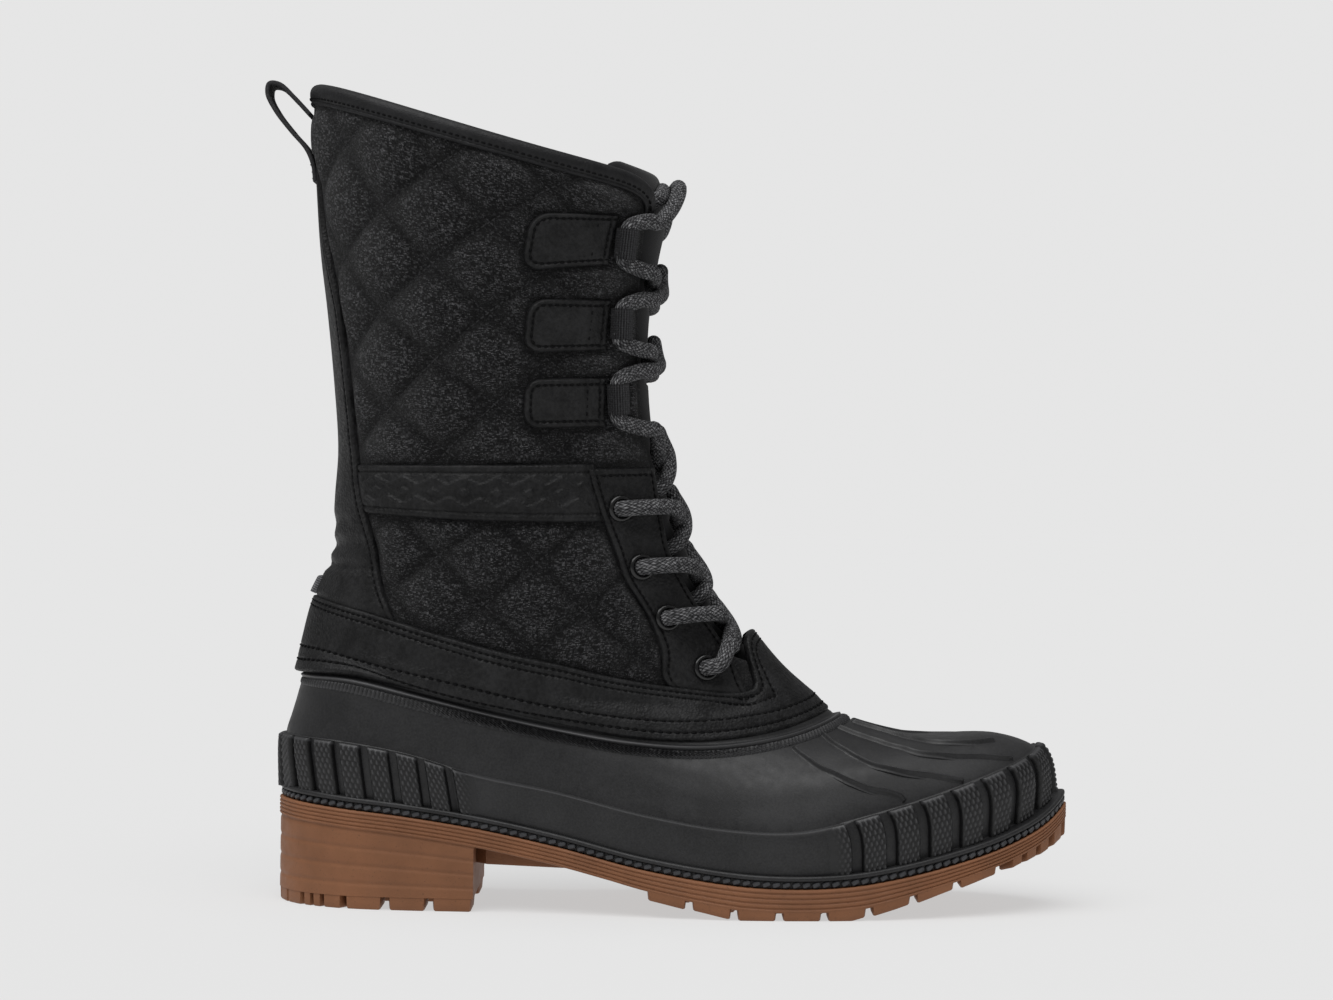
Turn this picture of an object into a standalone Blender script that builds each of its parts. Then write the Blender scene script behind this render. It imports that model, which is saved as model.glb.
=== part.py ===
"""Right winter boot: a moulded rubber foot shell on a lugged gum sole, with a quilted, laced shaft.

Every size is in millimetres and is scaled to metres when a mesh is made. The tables measure "along"
from the back of the heel to the toe, "height" from the floor, and widths from the boot's centre line
to its lateral (outer, -Y) and medial (inner, +Y) sides. The origin is on the floor, under the heel's
centre: +X points to the toe, +Y to the medial side and +Z up.

All soft and moulded pieces are cut from one skin, the outer surface of the last. The skin runs through
a family of closed loops, from the feather line on the sole up to the collar. A place on it is (turn,
level): turn goes 0 at the back of the heel, 1 at the front and on to 2 at the back again, first along
the lateral side, and level is the mean distance up from the feather line.
"""

import math
from collections import namedtuple

import bmesh
import bpy
import numpy as np

# Driving sizes
MM = 0.001
BOOT_LENGTH = 282.0
HEEL_REST_X = 36.0
GAP = 0.3
SHELL_WALL = 3.0
UPPER_WALL = 3.0
LEATHER = 1.8
LACE_RADIUS = 2.6

# The toe swings to the medial side, as on any right foot
TOE_SWING = 5.0
SWING_START = 120.0

# Sole: outline, top line and tread line
SoleRow = namedtuple("SoleRow", "along lateral medial top tread")
SOLE = [
    SoleRow(0, 0, 0, 36.8, 0),
    SoleRow(7, 18.5, 18.5, 36.2, 0),
    SoleRow(24, 31, 31, 34.7, 0),
    SoleRow(46, 35.5, 35, 32.6, 0),
    SoleRow(72, 37, 34.5, 28.8, 0),
    SoleRow(100, 40, 34, 23.3, 13),
    SoleRow(130, 46, 38.5, 16.4, 6.4),
    SoleRow(163, 50.8, 45.5, 11.6, 0),
    SoleRow(185, 51, 48.5, 10.7, 0),
    SoleRow(203, 49.2, 48.4, 11.6, 0),
    SoleRow(219, 46, 46.7, 14.0, 4.0),
    SoleRow(237, 40.2, 42.4, 17.9, 9.4),
    SoleRow(257, 30.5, 34, 23.6, 15.4),
    SoleRow(273, 17.5, 20.5, 30.5, 21.2),
    SoleRow(282, 0, 0, 37.5, 26.0),
]
PLATE_THICK = 6.4
PLATE_THICK_TOE = 8.6
PLATE_TOE_START = 225.0
RIB_COUNT = 3
RIB_PITCH = 1.75
RIB_DEPTH = 0.8
EDGE_ROUND = 0.5
RIM_WIDTH = 13.0
END_CROWDING = 0.45
SOLE_COLUMNS = 29

# Tread lugs
LUG_START = 132.5
LUG_PITCH = 15.5
LUG_LENGTH = 13.1
LUG_COUNT = 8
LUG_REACH = 15.0
LUG_INSET = 0.9
LUG_CHANNEL = 4.0
LUG_ROOT = 0.6
TOE_TEETH = 4
TOE_TOOTH_PITCH = 6.4
TOE_TOOTH_WIDTH = 3.6
TOE_TOOTH_REACH = 9.0
BRIDGE_FROM = 78.0
BRIDGE_TO = 113.0
BRIDGE_HALF_WIDTH = 22.0
BRIDGE_BOTTOM = 14.2

# Heel block
HEEL_BREAST = 71.5
HEEL_INSET = 0.4
HEEL_COLUMNS = 32
HEEL_STEP_COUNT = 4
HEEL_STEP_DEPTH = 0.6
HEEL_STEP_SHARE = 0.85
HEEL_LUG_DEPTH = 4.5
HEEL_LUGS = [(28.0, 39.5), (43.0, 54.8), (58.2, 70.6)]
HEEL_LUG_REACH = 19.0
HEEL_PAD = (20.0, 64.0)
HEEL_PAD_HALF_WIDTH = 9.0
HEEL_TEETH = 4
HEEL_TOOTH_PITCH = 7.4
HEEL_TOOTH_WIDTH = 4.2
HEEL_TOOTH_REACH = 14.0

# Loops of the rubber shell, above the feather line
Station = namedtuple("Station", "along height lateral medial")
BUMPER_LINE = [
    Station(2.2, 59.0, 0, 0),
    Station(9, 58.8, 18, 18),
    Station(25, 57.8, 29.5, 29.5),
    Station(47, 54.4, 34, 33.5),
    Station(72, 47.5, 35.5, 33),
    Station(100, 42.2, 38, 32),
    Station(130, 35.2, 43, 36),
    Station(160, 30.6, 47.5, 42),
    Station(185, 30.2, 48.2, 45.5),
    Station(210, 36, 44, 44),
    Station(234, 42.8, 36, 38),
    Station(255, 50, 25.5, 28.5),
    Station(266, 54.5, 14.5, 16),
    Station(270.5, 57.2, 0, 0),
]
SHOULDER_LINE = [
    Station(4.2, 66, 0, 0),
    Station(11, 65.8, 17.5, 17.5),
    Station(26, 64.6, 28.8, 28.8),
    Station(47, 61, 33.2, 32.8),
    Station(72, 55.5, 35, 33),
    Station(100, 49.5, 37.2, 32),
    Station(130, 43, 41.5, 36),
    Station(158, 39.5, 45, 41),
    Station(182, 41, 44.5, 43),
    Station(205, 46.5, 40, 40),
    Station(226, 52.5, 31.5, 33),
    Station(244, 58, 20.5, 22),
    Station(254, 61, 11, 11.5),
    Station(257, 61.8, 0, 0),
]
VAMP_LINE = [
    Station(6.2, 73, 0, 0),
    Station(12.5, 72.8, 17, 17),
    Station(27, 71.6, 28.2, 28.2),
    Station(48, 67.6, 32.7, 32.4),
    Station(75, 61.5, 34.5, 33),
    Station(102, 56.2, 36.6, 32.5),
    Station(130, 51.2, 39.5, 36),
    Station(155, 49, 41.2, 39.2),
    Station(176, 50.5, 39, 38.5),
    Station(195, 54, 33, 33),
    Station(211, 58, 24, 25),
    Station(221, 60.4, 13, 13.5),
    Station(226, 61.2, 0, 0),
]
BEAD_LINE = [
    Station(8, 80.6, 0, 0),
    Station(14, 80.4, 16.5, 16.5),
    Station(28, 79.4, 27.6, 27.6),
    Station(48, 75.2, 32.2, 32),
    Station(75, 69.2, 34, 33),
    Station(100, 64, 35.2, 33),
    Station(125, 60, 36.6, 35),
    Station(148, 58.6, 36, 35.5),
    Station(167, 60, 31.5, 32),
    Station(182, 62.8, 23, 24),
    Station(193, 66.4, 11.5, 12),
    Station(198, 68.6, 0, 0),
]
FEATHER_INSET_BACK = 2.2
FEATHER_INSET_SIDE = 4.2
FEATHER_INSET_TOE = 5.0
FEATHER_LIFT = 0.9

# Sections of the upper, from the instep to the collar. A positive lean is wider at the back.
Section = namedtuple("Section", "back_along back_height front_along front_height lateral medial lean dip")
UPPER_SECTIONS = [
    Section(9.6, 92, 182.5, 79.5, 35.5, 34.5, 0.12, 13),
    Section(12.8, 106, 167, 96.5, 35.5, 34.5, 0.10, 8),
    Section(20.5, 124, 153.5, 118, 36.5, 36, 0.06, 4),
    Section(20.5, 142, 143.5, 141, 38.5, 38, 0.04, 2),
    Section(21.5, 160, 137, 163, 40.5, 40.5, 0.02, 0),
    Section(19.8, 184, 134, 188, 44, 44, 0, 0),
    Section(17, 210, 134, 207, 46.5, 46.5, 0, 1),
    Section(13, 240, 137, 228, 48, 48, 0, 2),
    Section(9, 284.5, 142, 249, 49.5, 49.5, 0, 3),
]

# Shell relief: the foxing is a step in the wall, and the bumpers' blocks stand on it
FOXING_STEP = 1.2
BLOCK_STEP = 2.4
GROOVE_STEP = 0.9
TOE_GROOVE_PITCH = 12.0
TOE_GROOVE_WIDTH = 3.6
TOE_GROOVES = 8
HEEL_GROOVE_FIRST = 6.8
HEEL_GROOVE_PITCH = 10.2
HEEL_GROOVE_WIDTH = 2.6
HEEL_GROOVES = 8
SIDE_COLUMNS = 12
BLOCK_BOTTOM = 5.6
BLOCK_EDGE = 0.8
BEAD_STEP = 0.9
BEAD_HALF = 1.8
FLANGE_HEIGHT = 9.5

# Welt: a ring on the sole, round the foot of the shell
WELT_HEIGHT = 4.2
WELT_INSET = 0.6
WELT_LIFT = 0.5
WELT_CLEAR = 0.9

# Lacing slot of the upper: half its width over the skin at each level, from the throat to the collar
SlotRow = namedtuple("SlotRow", "level half_width")
SLOT = [
    SlotRow(88, 0),
    SlotRow(91, 12),
    SlotRow(96, 20.2),
    SlotRow(104, 21),
    SlotRow(111, 22),
    SlotRow(124, 24),
    SlotRow(133, 25),
    SlotRow(157, 20.5),
    SlotRow(184, 22),
    SlotRow(211, 23.8),
    SlotRow(240, 28),
    SlotRow(273, 31.8),
]
THROAT_LEVEL = SLOT[0].level
UPPER_ROWS_BELOW = 3
UPPER_COLUMNS = 31
UPPER_LEVELS = (96, 106, 116, 126, 138, 154, 176, 204, 238)
RIM_GAP = 1.5

# Tongue and insole
TONGUE_THICK = 3.0
TONGUE_CLEAR = 1.2
TONGUE_MARGIN = 11.0
TONGUE_RISE = 15.0
TONGUE_ROOT_DROP = 4.0
TONGUE_ROOT_HALF_WIDTH = 14.0
TONGUE_LEAN = 7.0
TONGUE_ROWS = 13
TONGUE_ROW_CROWDING = 1.5
TONGUE_COLUMNS = 7
TONGUE_LEAN_FROM = 20.0
SinkRow = namedtuple("SinkRow", "level depth")
TONGUE_SINK = [
    SinkRow(84, 3),
    SinkRow(98, 7.4),
    SinkRow(112, 8.4),
    SinkRow(123, 7.2),
    SinkRow(141, 4.4),
    SinkRow(163, 3.2),
    SinkRow(199, 3.8),
    SinkRow(229, 5.2),
    SinkRow(262, 4.8),
    SinkRow(286, 3),
]
INSOLE_THICK = 4.0
INSOLE_CLEAR = 3.2
INSOLE_LIFT = 0.8

# Overlays lie this far off the upper
OVERLAY_CLEAR = 0.6
SEAM_GAP = 1.0

# Leather band round the top of the shell: its upper edge, which rises to a point at the throat
BandRow = namedtuple("BandRow", "turn top_level")
BAND = [
    BandRow(0.0, 104.0),
    BandRow(0.03, 104.0),
    BandRow(0.06, 104.0),
    BandRow(0.09, 104.0),
    BandRow(0.13, 104.0),
    BandRow(0.19, 104.0),
    BandRow(0.26, 103.0),
    BandRow(0.35, 101.0),
    BandRow(0.45, 98.4),
    BandRow(0.56, 95.6),
    BandRow(0.66, 91.0),
    BandRow(0.76, 86.4),
    BandRow(0.82, 83.2),
    BandRow(0.855, 81.6),
    BandRow(0.89, 82.6),
    BandRow(0.91, 88.0),
    BandRow(0.925, 96.0),
    BandRow(0.945, 100.6),
    BandRow(0.97, 102.2),
    BandRow(1.0, 102.6),
]
BAND_ABOVE_BEAD = 1.8
BAND_ROWS = 3
BAND_FLARE = 1.4

# Eyestays: front and rear edges as distances from the boot's front
EyestayRow = namedtuple("EyestayRow", "level front rear")
EYESTAY = [
    EyestayRow(83, 27, 50),
    EyestayRow(90, 22.4, 52),
    EyestayRow(98, 21.2, 45.5),
    EyestayRow(108, 22.1, 43.2),
    EyestayRow(116, 23.2, 44),
    EyestayRow(124, 24.5, 46.5),
    EyestayRow(133, 25.5, 45.8),
    EyestayRow(146, 23.1, 47),
    EyestayRow(161, 21.2, 48.4),
]
EYESTAY_ROWS = 10
EYESTAY_COLUMNS = 5

# Side bands between backstay and eyestay
SIDE_BAND_LEVELS = (143.5, 162.5)
SIDE_BAND_COLUMNS = 9

# Backstay: half its width over the skin
BackstayRow = namedtuple("BackstayRow", "level half_width")
BACKSTAY = [
    BackstayRow(105.4, 44),
    BackstayRow(112, 37.5),
    BackstayRow(121, 32),
    BackstayRow(156, 23),
    BackstayRow(172, 20.4),
    BackstayRow(215, 20),
    BackstayRow(230, 16),
    BackstayRow(238, 9),
]
BACKSTAY_COLUMNS = 11

# Collar binding: its section as distances outside the skin and above the collar's edge
BindingPoint = namedtuple("BindingPoint", "out rise")
BINDING = [
    BindingPoint(0.8, 0.5),
    BindingPoint(1.3, 3.0),
    BindingPoint(0.4, 5.4),
    BindingPoint(-1.6, 6.2),
    BindingPoint(-3.6, 5.4),
    BindingPoint(-4.3, 3.0),
    BindingPoint(-3.8, 0.5),
]
BINDING_COLUMNS = 25

# Lace tabs and loops of the lateral side, top to bottom; the medial side mirrors them
TabRow = namedtuple("TabRow", "back_level front_level back front half_height")
TABS = [
    TabRow(241.6, 247.0, 75.0, 44.5, 11.0),
    TabRow(211.0, 212.2, 70.4, 40.9, 9.9),
    TabRow(183.2, 183.4, 69.2, 40.4, 8.5),
]
TAB_END = [(0.0, 0.45), (0.04, 0.68), (0.12, 0.9), (0.26, 1.0), (0.6, 1.0), (1.0, 1.0)]
LoopRow = namedtuple("LoopRow", "level middle")
LACE_LOOPS = [LoopRow(245.5, 37.0), LoopRow(213.2, 33.6), LoopRow(184.4, 33.2)]
LOOP_HALF_LENGTH = 6.2
LOOP_HALF_WIDTH = 5.4
LOOP_STRAP = 1.2
LOOP_CLEAR = 0.5
LOOP_SIDES = 8

# Eyelets, top to bottom, as levels and distances from the front
EyeletRow = namedtuple("EyeletRow", "level middle")
EYELETS = [EyeletRow(147.6, 36.2), EyeletRow(128.1, 37.0), EyeletRow(110.6, 33.5), EyeletRow(92.1, 32.2)]
EYELET_RADIUS = 4.7
EYELET_HOLE = 2.9
EYELET_THICK = 1.0
EYELET_LIFT = 0.9
EYELET_PASS = 0.5
EYELET_SIDES = 8
EYELET_BEVEL = 0.8

# Lace crossings, top to bottom: level of the crossing and how far its upper strand lies outside the skin
CrossingRow = namedtuple("CrossingRow", "level out")
CROSSINGS = [
    CrossingRow(266, -2.0),
    CrossingRow(229, -2.6),
    CrossingRow(199, -1.4),
    CrossingRow(163, -0.8),
    CrossingRow(141, -1.8),
    CrossingRow(124, -4.4),
    CrossingRow(112, -5.2),
]
BAR = CrossingRow(106.2, 1.0)
BAR_SHOULDER = (11.0, 101.5, 6.6)
CROSSING_SPLIT = 3.4
LACE_CLEAR = 0.35
LACE_SIDES = 5
LACE_STEPS = 7
BAR_STEPS = 13
FLAP_SIDE = 3.5
FLAP_PASS = 2.0
FLAP_LIFT = 0.6
UNDER_OUT = -1.2
UNDER_RISE = 7.0
TOP_END_LEVEL = 268.0
LOOP_LEAVE = 10.5
TOP_LOOP_LEAVE = 13.0

# Pull loop at the back of the collar: its path in the middle plane
PathPoint = namedtuple("PathPoint", "along height")
PULL_LOOP = [
    PathPoint(7.9, 279.4),
    PathPoint(2.2, 285.4),
    PathPoint(-3.0, 290.0),
    PathPoint(-6.6, 290.2),
    PathPoint(-7.2, 286.6),
    PathPoint(-4.2, 280.6),
    PathPoint(1.5, 273.4),
    PathPoint(6.9, 267.2),
    PathPoint(9.4, 261.4),
    PathPoint(10.2, 255.6),
]
PULL_LOOP_HALF_WIDTH = 8.0
PULL_LOOP_THICK = 1.6

# Heel tag above the band
HEEL_TAG_LEVELS = (106.0, 112.6)
HEEL_TAG_HALF_WIDTH = 5.0
HEEL_TAG_OUT = (2.8, 5.6)

# Fineness of the curves that the pieces are read from
HALF_SAMPLES = 241
SPAN_SAMPLES = 24
NORMAL_TURN = 0.004
NORMAL_LEVEL = 0.8


def clear_scene():
    """Remove what a new file starts with."""
    for old in list(bpy.data.objects):
        bpy.data.objects.remove(old, do_unlink=True)


def toe_swing(along):
    """How far the boot's centre line lies to the medial side."""
    part = np.clip((along - SWING_START) / (BOOT_LENGTH - SWING_START), 0.0, 1.0)
    return TOE_SWING * part * part * (3.0 - 2.0 * part)


def smooth_closed(points):
    """A closed centripetal Catmull-Rom curve through the points."""
    count = len(points)
    step = np.linalg.norm(np.roll(points, -1, axis=0) - points, axis=1) ** 0.5
    part = np.linspace(0.0, 1.0, SPAN_SAMPLES, endpoint=False)[:, None]
    ease = part * part * (3.0 - 2.0 * part)
    spans = []
    for i in range(count):
        before, start = points[i - 1], points[i]
        end, after = points[(i + 1) % count], points[(i + 2) % count]
        s0, s1, s2 = step[i - 1], step[i], step[(i + 1) % count]
        leave = (start - before) / s0 - (end - before) / (s0 + s1) + (end - start) / s1
        arrive = (end - start) / s1 - (after - start) / (s1 + s2) + (after - end) / s2
        bend = leave * part * (1.0 - part) ** 2 - arrive * part * part * (1.0 - part)
        spans.append(start * (1.0 - ease) + end * ease + s1 * bend)
    return np.concatenate(spans)


def even_spacing(points, count=HALF_SAMPLES):
    """The same curve as count points at equal distances."""
    run = np.concatenate([[0.0], np.cumsum(np.linalg.norm(np.diff(points, axis=0), axis=1))])
    stops = np.linspace(0.0, run[-1], count)
    return np.stack([np.interp(stops, run, points[:, k]) for k in range(3)], axis=1)


def station_loop(along, height, lateral, medial):
    """The lateral and medial halves, back to front, of a loop through stations."""
    centre = toe_swing(along)
    outer = np.stack([along, centre - lateral, height], axis=1)
    inner = np.stack([along, centre + medial, height], axis=1)
    curve = smooth_closed(np.concatenate([outer, inner[-2:0:-1]]))
    tip = (len(outer) - 1) * SPAN_SAMPLES
    back_to_tip = curve[:tip + 1]
    tip_to_back = np.concatenate([curve[tip:], curve[:1]])
    return np.stack([even_spacing(back_to_tip), even_spacing(tip_to_back[::-1])])


def section_loop(row):
    """The halves of an egg-shaped loop round the leg."""
    angle = np.linspace(0.0, math.pi, 2 * HALF_SAMPLES)
    part = (1.0 - np.cos(angle)) / 2.0
    along = row.back_along + (row.front_along - row.back_along) * part
    height = row.back_height + (row.front_height - row.back_height) * part
    height = height - row.dip * np.sin(angle) ** 2
    width = np.sin(angle) * (1.0 + row.lean * np.cos(angle))
    outer = np.stack([along, -row.lateral * width, height], axis=1)
    inner = np.stack([along, row.medial * width, height], axis=1)
    return np.stack([even_spacing(outer), even_spacing(inner)])


def columns_of(rows):
    """A table's columns as arrays."""
    return [np.array(column, dtype=float) for column in zip(*rows)]


def sole_loop(inset_back=0.0, inset_side=0.0, inset_toe=0.0):
    """The sole's top outline, drawn in by the insets."""
    along, lateral, medial, top, tread = columns_of(SOLE)
    shrink = (BOOT_LENGTH - inset_back - inset_toe) / BOOT_LENGTH
    lateral = np.where(lateral > 0.0, lateral - inset_side, 0.0)
    medial = np.where(medial > 0.0, medial - inset_side, 0.0)
    return station_loop(inset_back + along * shrink, top, lateral, medial)


def make_loops():
    """Every loop of the skin, from the feather line to the collar."""
    feather = sole_loop(FEATHER_INSET_BACK, FEATHER_INSET_SIDE, FEATHER_INSET_TOE)
    feather[..., 2] = sole_loop()[..., 2] + FEATHER_LIFT
    loops = [feather]
    for rows in (BUMPER_LINE, SHOULDER_LINE, VAMP_LINE, BEAD_LINE):
        loops.append(station_loop(*columns_of(rows)))
    for row in UPPER_SECTIONS:
        loops.append(section_loop(row))
    return np.stack(loops)


LOOPS = make_loops()
LEVELS = np.concatenate([[0.0], np.cumsum(np.linalg.norm(np.diff(LOOPS, axis=0), axis=3).mean(axis=(1, 2)))])
BUMPER_LEVEL, SHOULDER_LEVEL, VAMP_LEVEL, BEAD_LEVEL = LEVELS[1:5]
COLLAR_LEVEL = LEVELS[-1]
RIM_LEVEL = BEAD_LEVEL + FLANGE_HEIGHT


def half_place(turn):
    """Which half of a loop a turn lies on, the sample before it and the part of the way to the next."""
    turn = np.mod(turn, 2.0)
    side = (turn > 1.0).astype(int)
    place = np.where(turn > 1.0, 2.0 - turn, turn) * (HALF_SAMPLES - 1)
    first = np.clip(place.astype(int), 0, HALF_SAMPLES - 2)
    return side, first, (place - first)[..., None]


def loop_point(halves, turn):
    """Points at turns round a loop that is given as two halves."""
    side, first, part = half_place(turn)
    return halves[side, first] * (1.0 - part) + halves[side, first + 1] * part


def pick_loop(index, turn):
    """Points at turns, each on its own loop of the skin."""
    side, first, part = half_place(turn)
    return LOOPS[index, side, first] * (1.0 - part) + LOOPS[index, side, first + 1] * part


def rim_height(turn):
    """The height of the sole's flat rim."""
    return loop_point(sole_loop(), turn)[..., 2]


def rate(low, mid, high, knots, index):
    """The slope of a curve at the middle one of three loops, or at an end loop."""
    last = len(LEVELS) - 1
    below = np.clip(index - 1, 0, last)
    above = np.clip(index + 1, 0, last)
    fall = (knots[index] - knots[below])[..., None]
    rise = (knots[above] - knots[index])[..., None]
    slope_below = (mid - low) / np.where(fall > 0.0, fall, 1.0)
    slope_above = (high - mid) / np.where(rise > 0.0, rise, 1.0)
    both = (slope_below * rise + slope_above * fall) / (rise + fall)
    return np.where(fall == 0.0, slope_above, np.where(rise == 0.0, slope_below, both))


def skin(turn, level):
    """Points of the skin: a cubic from loop to loop, and straight on above the collar."""
    turn, level = np.broadcast_arrays(np.asarray(turn, dtype=float), np.asarray(level, dtype=float))
    inside = np.clip(level, 0.0, COLLAR_LEVEL)
    last = len(LEVELS) - 1
    index = np.clip(np.searchsorted(LEVELS, inside, side="right") - 1, 0, last - 1)
    around = []
    for step in (-1, 0, 1, 2):
        chosen = np.clip(index + step, 0, last)
        around.append(pick_loop(chosen, turn))
    leave = rate(around[0], around[1], around[2], LEVELS, index)
    arrive = rate(around[1], around[2], around[3], LEVELS, index + 1)
    span = (LEVELS[index + 1] - LEVELS[index])[..., None]
    part = (inside - LEVELS[index])[..., None] / span
    ease = part * part * (3.0 - 2.0 * part)
    bend = leave * part * (1.0 - part) ** 2 - arrive * part * part * (1.0 - part)
    points = around[1] * (1.0 - ease) + around[2] * ease + span * bend
    beyond = (level - inside)[..., None]
    return points + beyond * arrive


def skin_normal(turn, level):
    """Outward unit normals of the skin."""
    turn = np.asarray(turn, dtype=float)
    level = np.asarray(level, dtype=float)
    across = skin(turn + NORMAL_TURN, level) - skin(turn - NORMAL_TURN, level)
    upward = skin(turn, level + NORMAL_LEVEL) - skin(turn, np.maximum(level - NORMAL_LEVEL, 0.0))
    normal = np.cross(across, upward)
    return normal / np.linalg.norm(normal, axis=-1, keepdims=True)


def skin_out(turn, level, out):
    """Points at a distance outside the skin, or inside it when negative."""
    return skin(turn, level) + skin_normal(turn, level) * np.asarray(out, dtype=float)[..., None]


def side_girths(side):
    """The skin's length from back to front at a run of levels: side 0 is lateral, 1 medial."""
    turns = np.linspace(0.0, 1.0, HALF_SAMPLES)
    turns = 2.0 - turns if side else turns
    points = skin(turns[None, :], GIRTH_LEVELS[:, None])
    return np.linalg.norm(np.diff(points, axis=1), axis=2).sum(axis=1)


GIRTH_LEVELS = np.linspace(0.0, COLLAR_LEVEL, HALF_SAMPLES)
GIRTHS = (side_girths(0), side_girths(1))


def half_girth(level, side):
    """The length of one side of the skin at levels."""
    return np.interp(level, GIRTH_LEVELS, GIRTHS[side])


def slot_half_width(level):
    """Half the lacing slot's width over the skin."""
    return table_value(SLOT, level, 1)


def turn_from_front(distance, level):
    """Turns at distances over the skin from the front: negative is lateral, positive medial."""
    distance = np.asarray(distance, dtype=float)
    girth = np.where(distance < 0.0, half_girth(level, 0), half_girth(level, 1))
    return 1.0 + distance / girth


def turn_from_back(distance, level):
    """Turns at distances over the skin from the back: positive is lateral, negative medial."""
    distance = np.asarray(distance, dtype=float)
    girth = np.where(distance > 0.0, half_girth(level, 0), half_girth(level, 1))
    return distance / girth


def table_value(rows, place, column):
    """A column of a table at places of its first column."""
    values = columns_of(rows)
    return np.interp(place, values[0], values[column])


def band_top(turn):
    """The level of the leather band's upper edge."""
    turn = np.mod(turn, 2.0)
    return table_value(BAND, np.where(turn > 1.0, 2.0 - turn, turn), 1)


def material(name, colour, roughness, metallic=0.0):
    """A plain Principled material."""
    made = bpy.data.materials.new(name)
    made.use_nodes = True
    shader = made.node_tree.nodes["Principled BSDF"]
    shader.inputs["Base Color"].default_value = (*colour, 1.0)
    shader.inputs["Roughness"].default_value = roughness
    shader.inputs["Metallic"].default_value = metallic
    return made


def to_world(points):
    """Metres in the boot's own frame, from millimetres along the sole."""
    moved = np.asarray(points, dtype=float).reshape(-1, 3) - np.array([HEEL_REST_X, 0.0, 0.0])
    return moved * MM


def add_object(name, points, faces, finish, smooth_angle=35.0):
    """One closed, outward-facing mesh object."""
    mesh = bpy.data.meshes.new(name)
    mesh.from_pydata(to_world(points).tolist(), [], faces)
    shape = bmesh.new()
    shape.from_mesh(mesh)
    bmesh.ops.remove_doubles(shape, verts=shape.verts, dist=1e-7)
    bmesh.ops.recalc_face_normals(shape, faces=shape.faces)
    shape.to_mesh(mesh)
    shape.free()
    mesh.shade_smooth()
    mesh.set_sharp_from_angle(angle=math.radians(smooth_angle))
    mesh.materials.append(finish)
    made = bpy.data.objects.new(name, mesh)
    bpy.context.collection.objects.link(made)
    return made


def grid_faces(rows, columns, first=0, closed=False):
    """Quads of a grid of points, row by row."""
    faces = []
    reach = columns if closed else columns - 1
    for row in range(rows - 1):
        for column in range(reach):
            beside = (column + 1) % columns
            low, high = first + row * columns, first + (row + 1) * columns
            faces.append((low + column, low + beside, high + beside, high + column))
    return faces


def wall(name, outer, inner, finish, closed=False, open_from=0):
    """A solid wall between two grids: a ring when closed, or a sheet whose ends are capped from a row up."""
    rows, columns = outer.shape[:2]
    back = rows * columns
    faces = grid_faces(rows, columns, 0, closed)
    faces += grid_faces(rows, columns, back, closed)
    reach = columns if closed else columns - 1
    for row in (0, rows - 1):
        for column in range(reach):
            here = row * columns + column
            beside = row * columns + (column + 1) % columns
            faces.append((here, beside, back + beside, back + here))
    if not closed:
        for row in range(open_from, rows - 1):
            for column in (0, columns - 1):
                here = row * columns + column
                above = here + columns
                faces.append((here, above, back + above, back + here))
    points = np.concatenate([outer.reshape(-1, 3), inner.reshape(-1, 3)])
    return add_object(name, points, faces, finish)


def ladder_solid(name, rings, finish):
    """A solid of stacked rings, each two halves back to front, closed by rungs at top and bottom."""
    halves = [np.concatenate([ring[0], ring[1][-2:0:-1]]) for ring in rings]
    columns = len(halves[0])
    faces = grid_faces(len(halves), columns, 0, closed=True)
    tip = len(rings[0][0]) - 1
    for first in (0, (len(halves) - 1) * columns):
        for rung in range(tip):
            left = [first + rung, first + rung + 1]
            right = [first + (columns - rung - 1) % columns, first + (columns - rung) % columns]
            faces.append(tuple(dict.fromkeys(left + right)))
    return add_object(name, np.concatenate(halves), faces, finish)


def sole_values(along):
    """Lateral and medial half-widths, top and tread heights of the sole at places along it."""
    x, lateral, medial, top, tread = columns_of(SOLE)
    return [np.interp(along, x, column) for column in (lateral, medial, top, tread)]


def plate_thickness(along):
    """The sole plate is thicker towards the toe."""
    part = np.clip((along - PLATE_TOE_START) / (BOOT_LENGTH - PLATE_TOE_START), 0.0, 1.0)
    return PLATE_THICK + (PLATE_THICK_TOE - PLATE_THICK) * part


def crowded(part):
    """Parts from 0 to 1, moved closer together at both ends."""
    return part - END_CROWDING * np.sin(2.0 * math.pi * part) / (2.0 * math.pi)


def fewer_points(halves, count):
    """A loop's halves with fewer points, closer together at the back and the front."""
    turns = crowded(np.linspace(0.0, 1.0, count + 1))
    return np.stack([loop_point(halves, turns), loop_point(halves, 2.0 - turns)])


def drawn_in(halves, inset):
    """A loop moved inwards, in plan, across its own direction."""
    ring = np.concatenate([halves[0], halves[1][-2:0:-1]])
    run = np.roll(ring, -1, axis=0) - np.roll(ring, 1, axis=0)
    inward = np.stack([-run[:, 1], run[:, 0], np.zeros(len(ring))], axis=1)
    inward /= np.linalg.norm(inward, axis=1, keepdims=True)
    moved = ring + inward * inset
    count = len(halves[0])
    return np.stack([moved[:count], np.concatenate([moved[count - 1:], moved[:1]])[::-1]])


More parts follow.
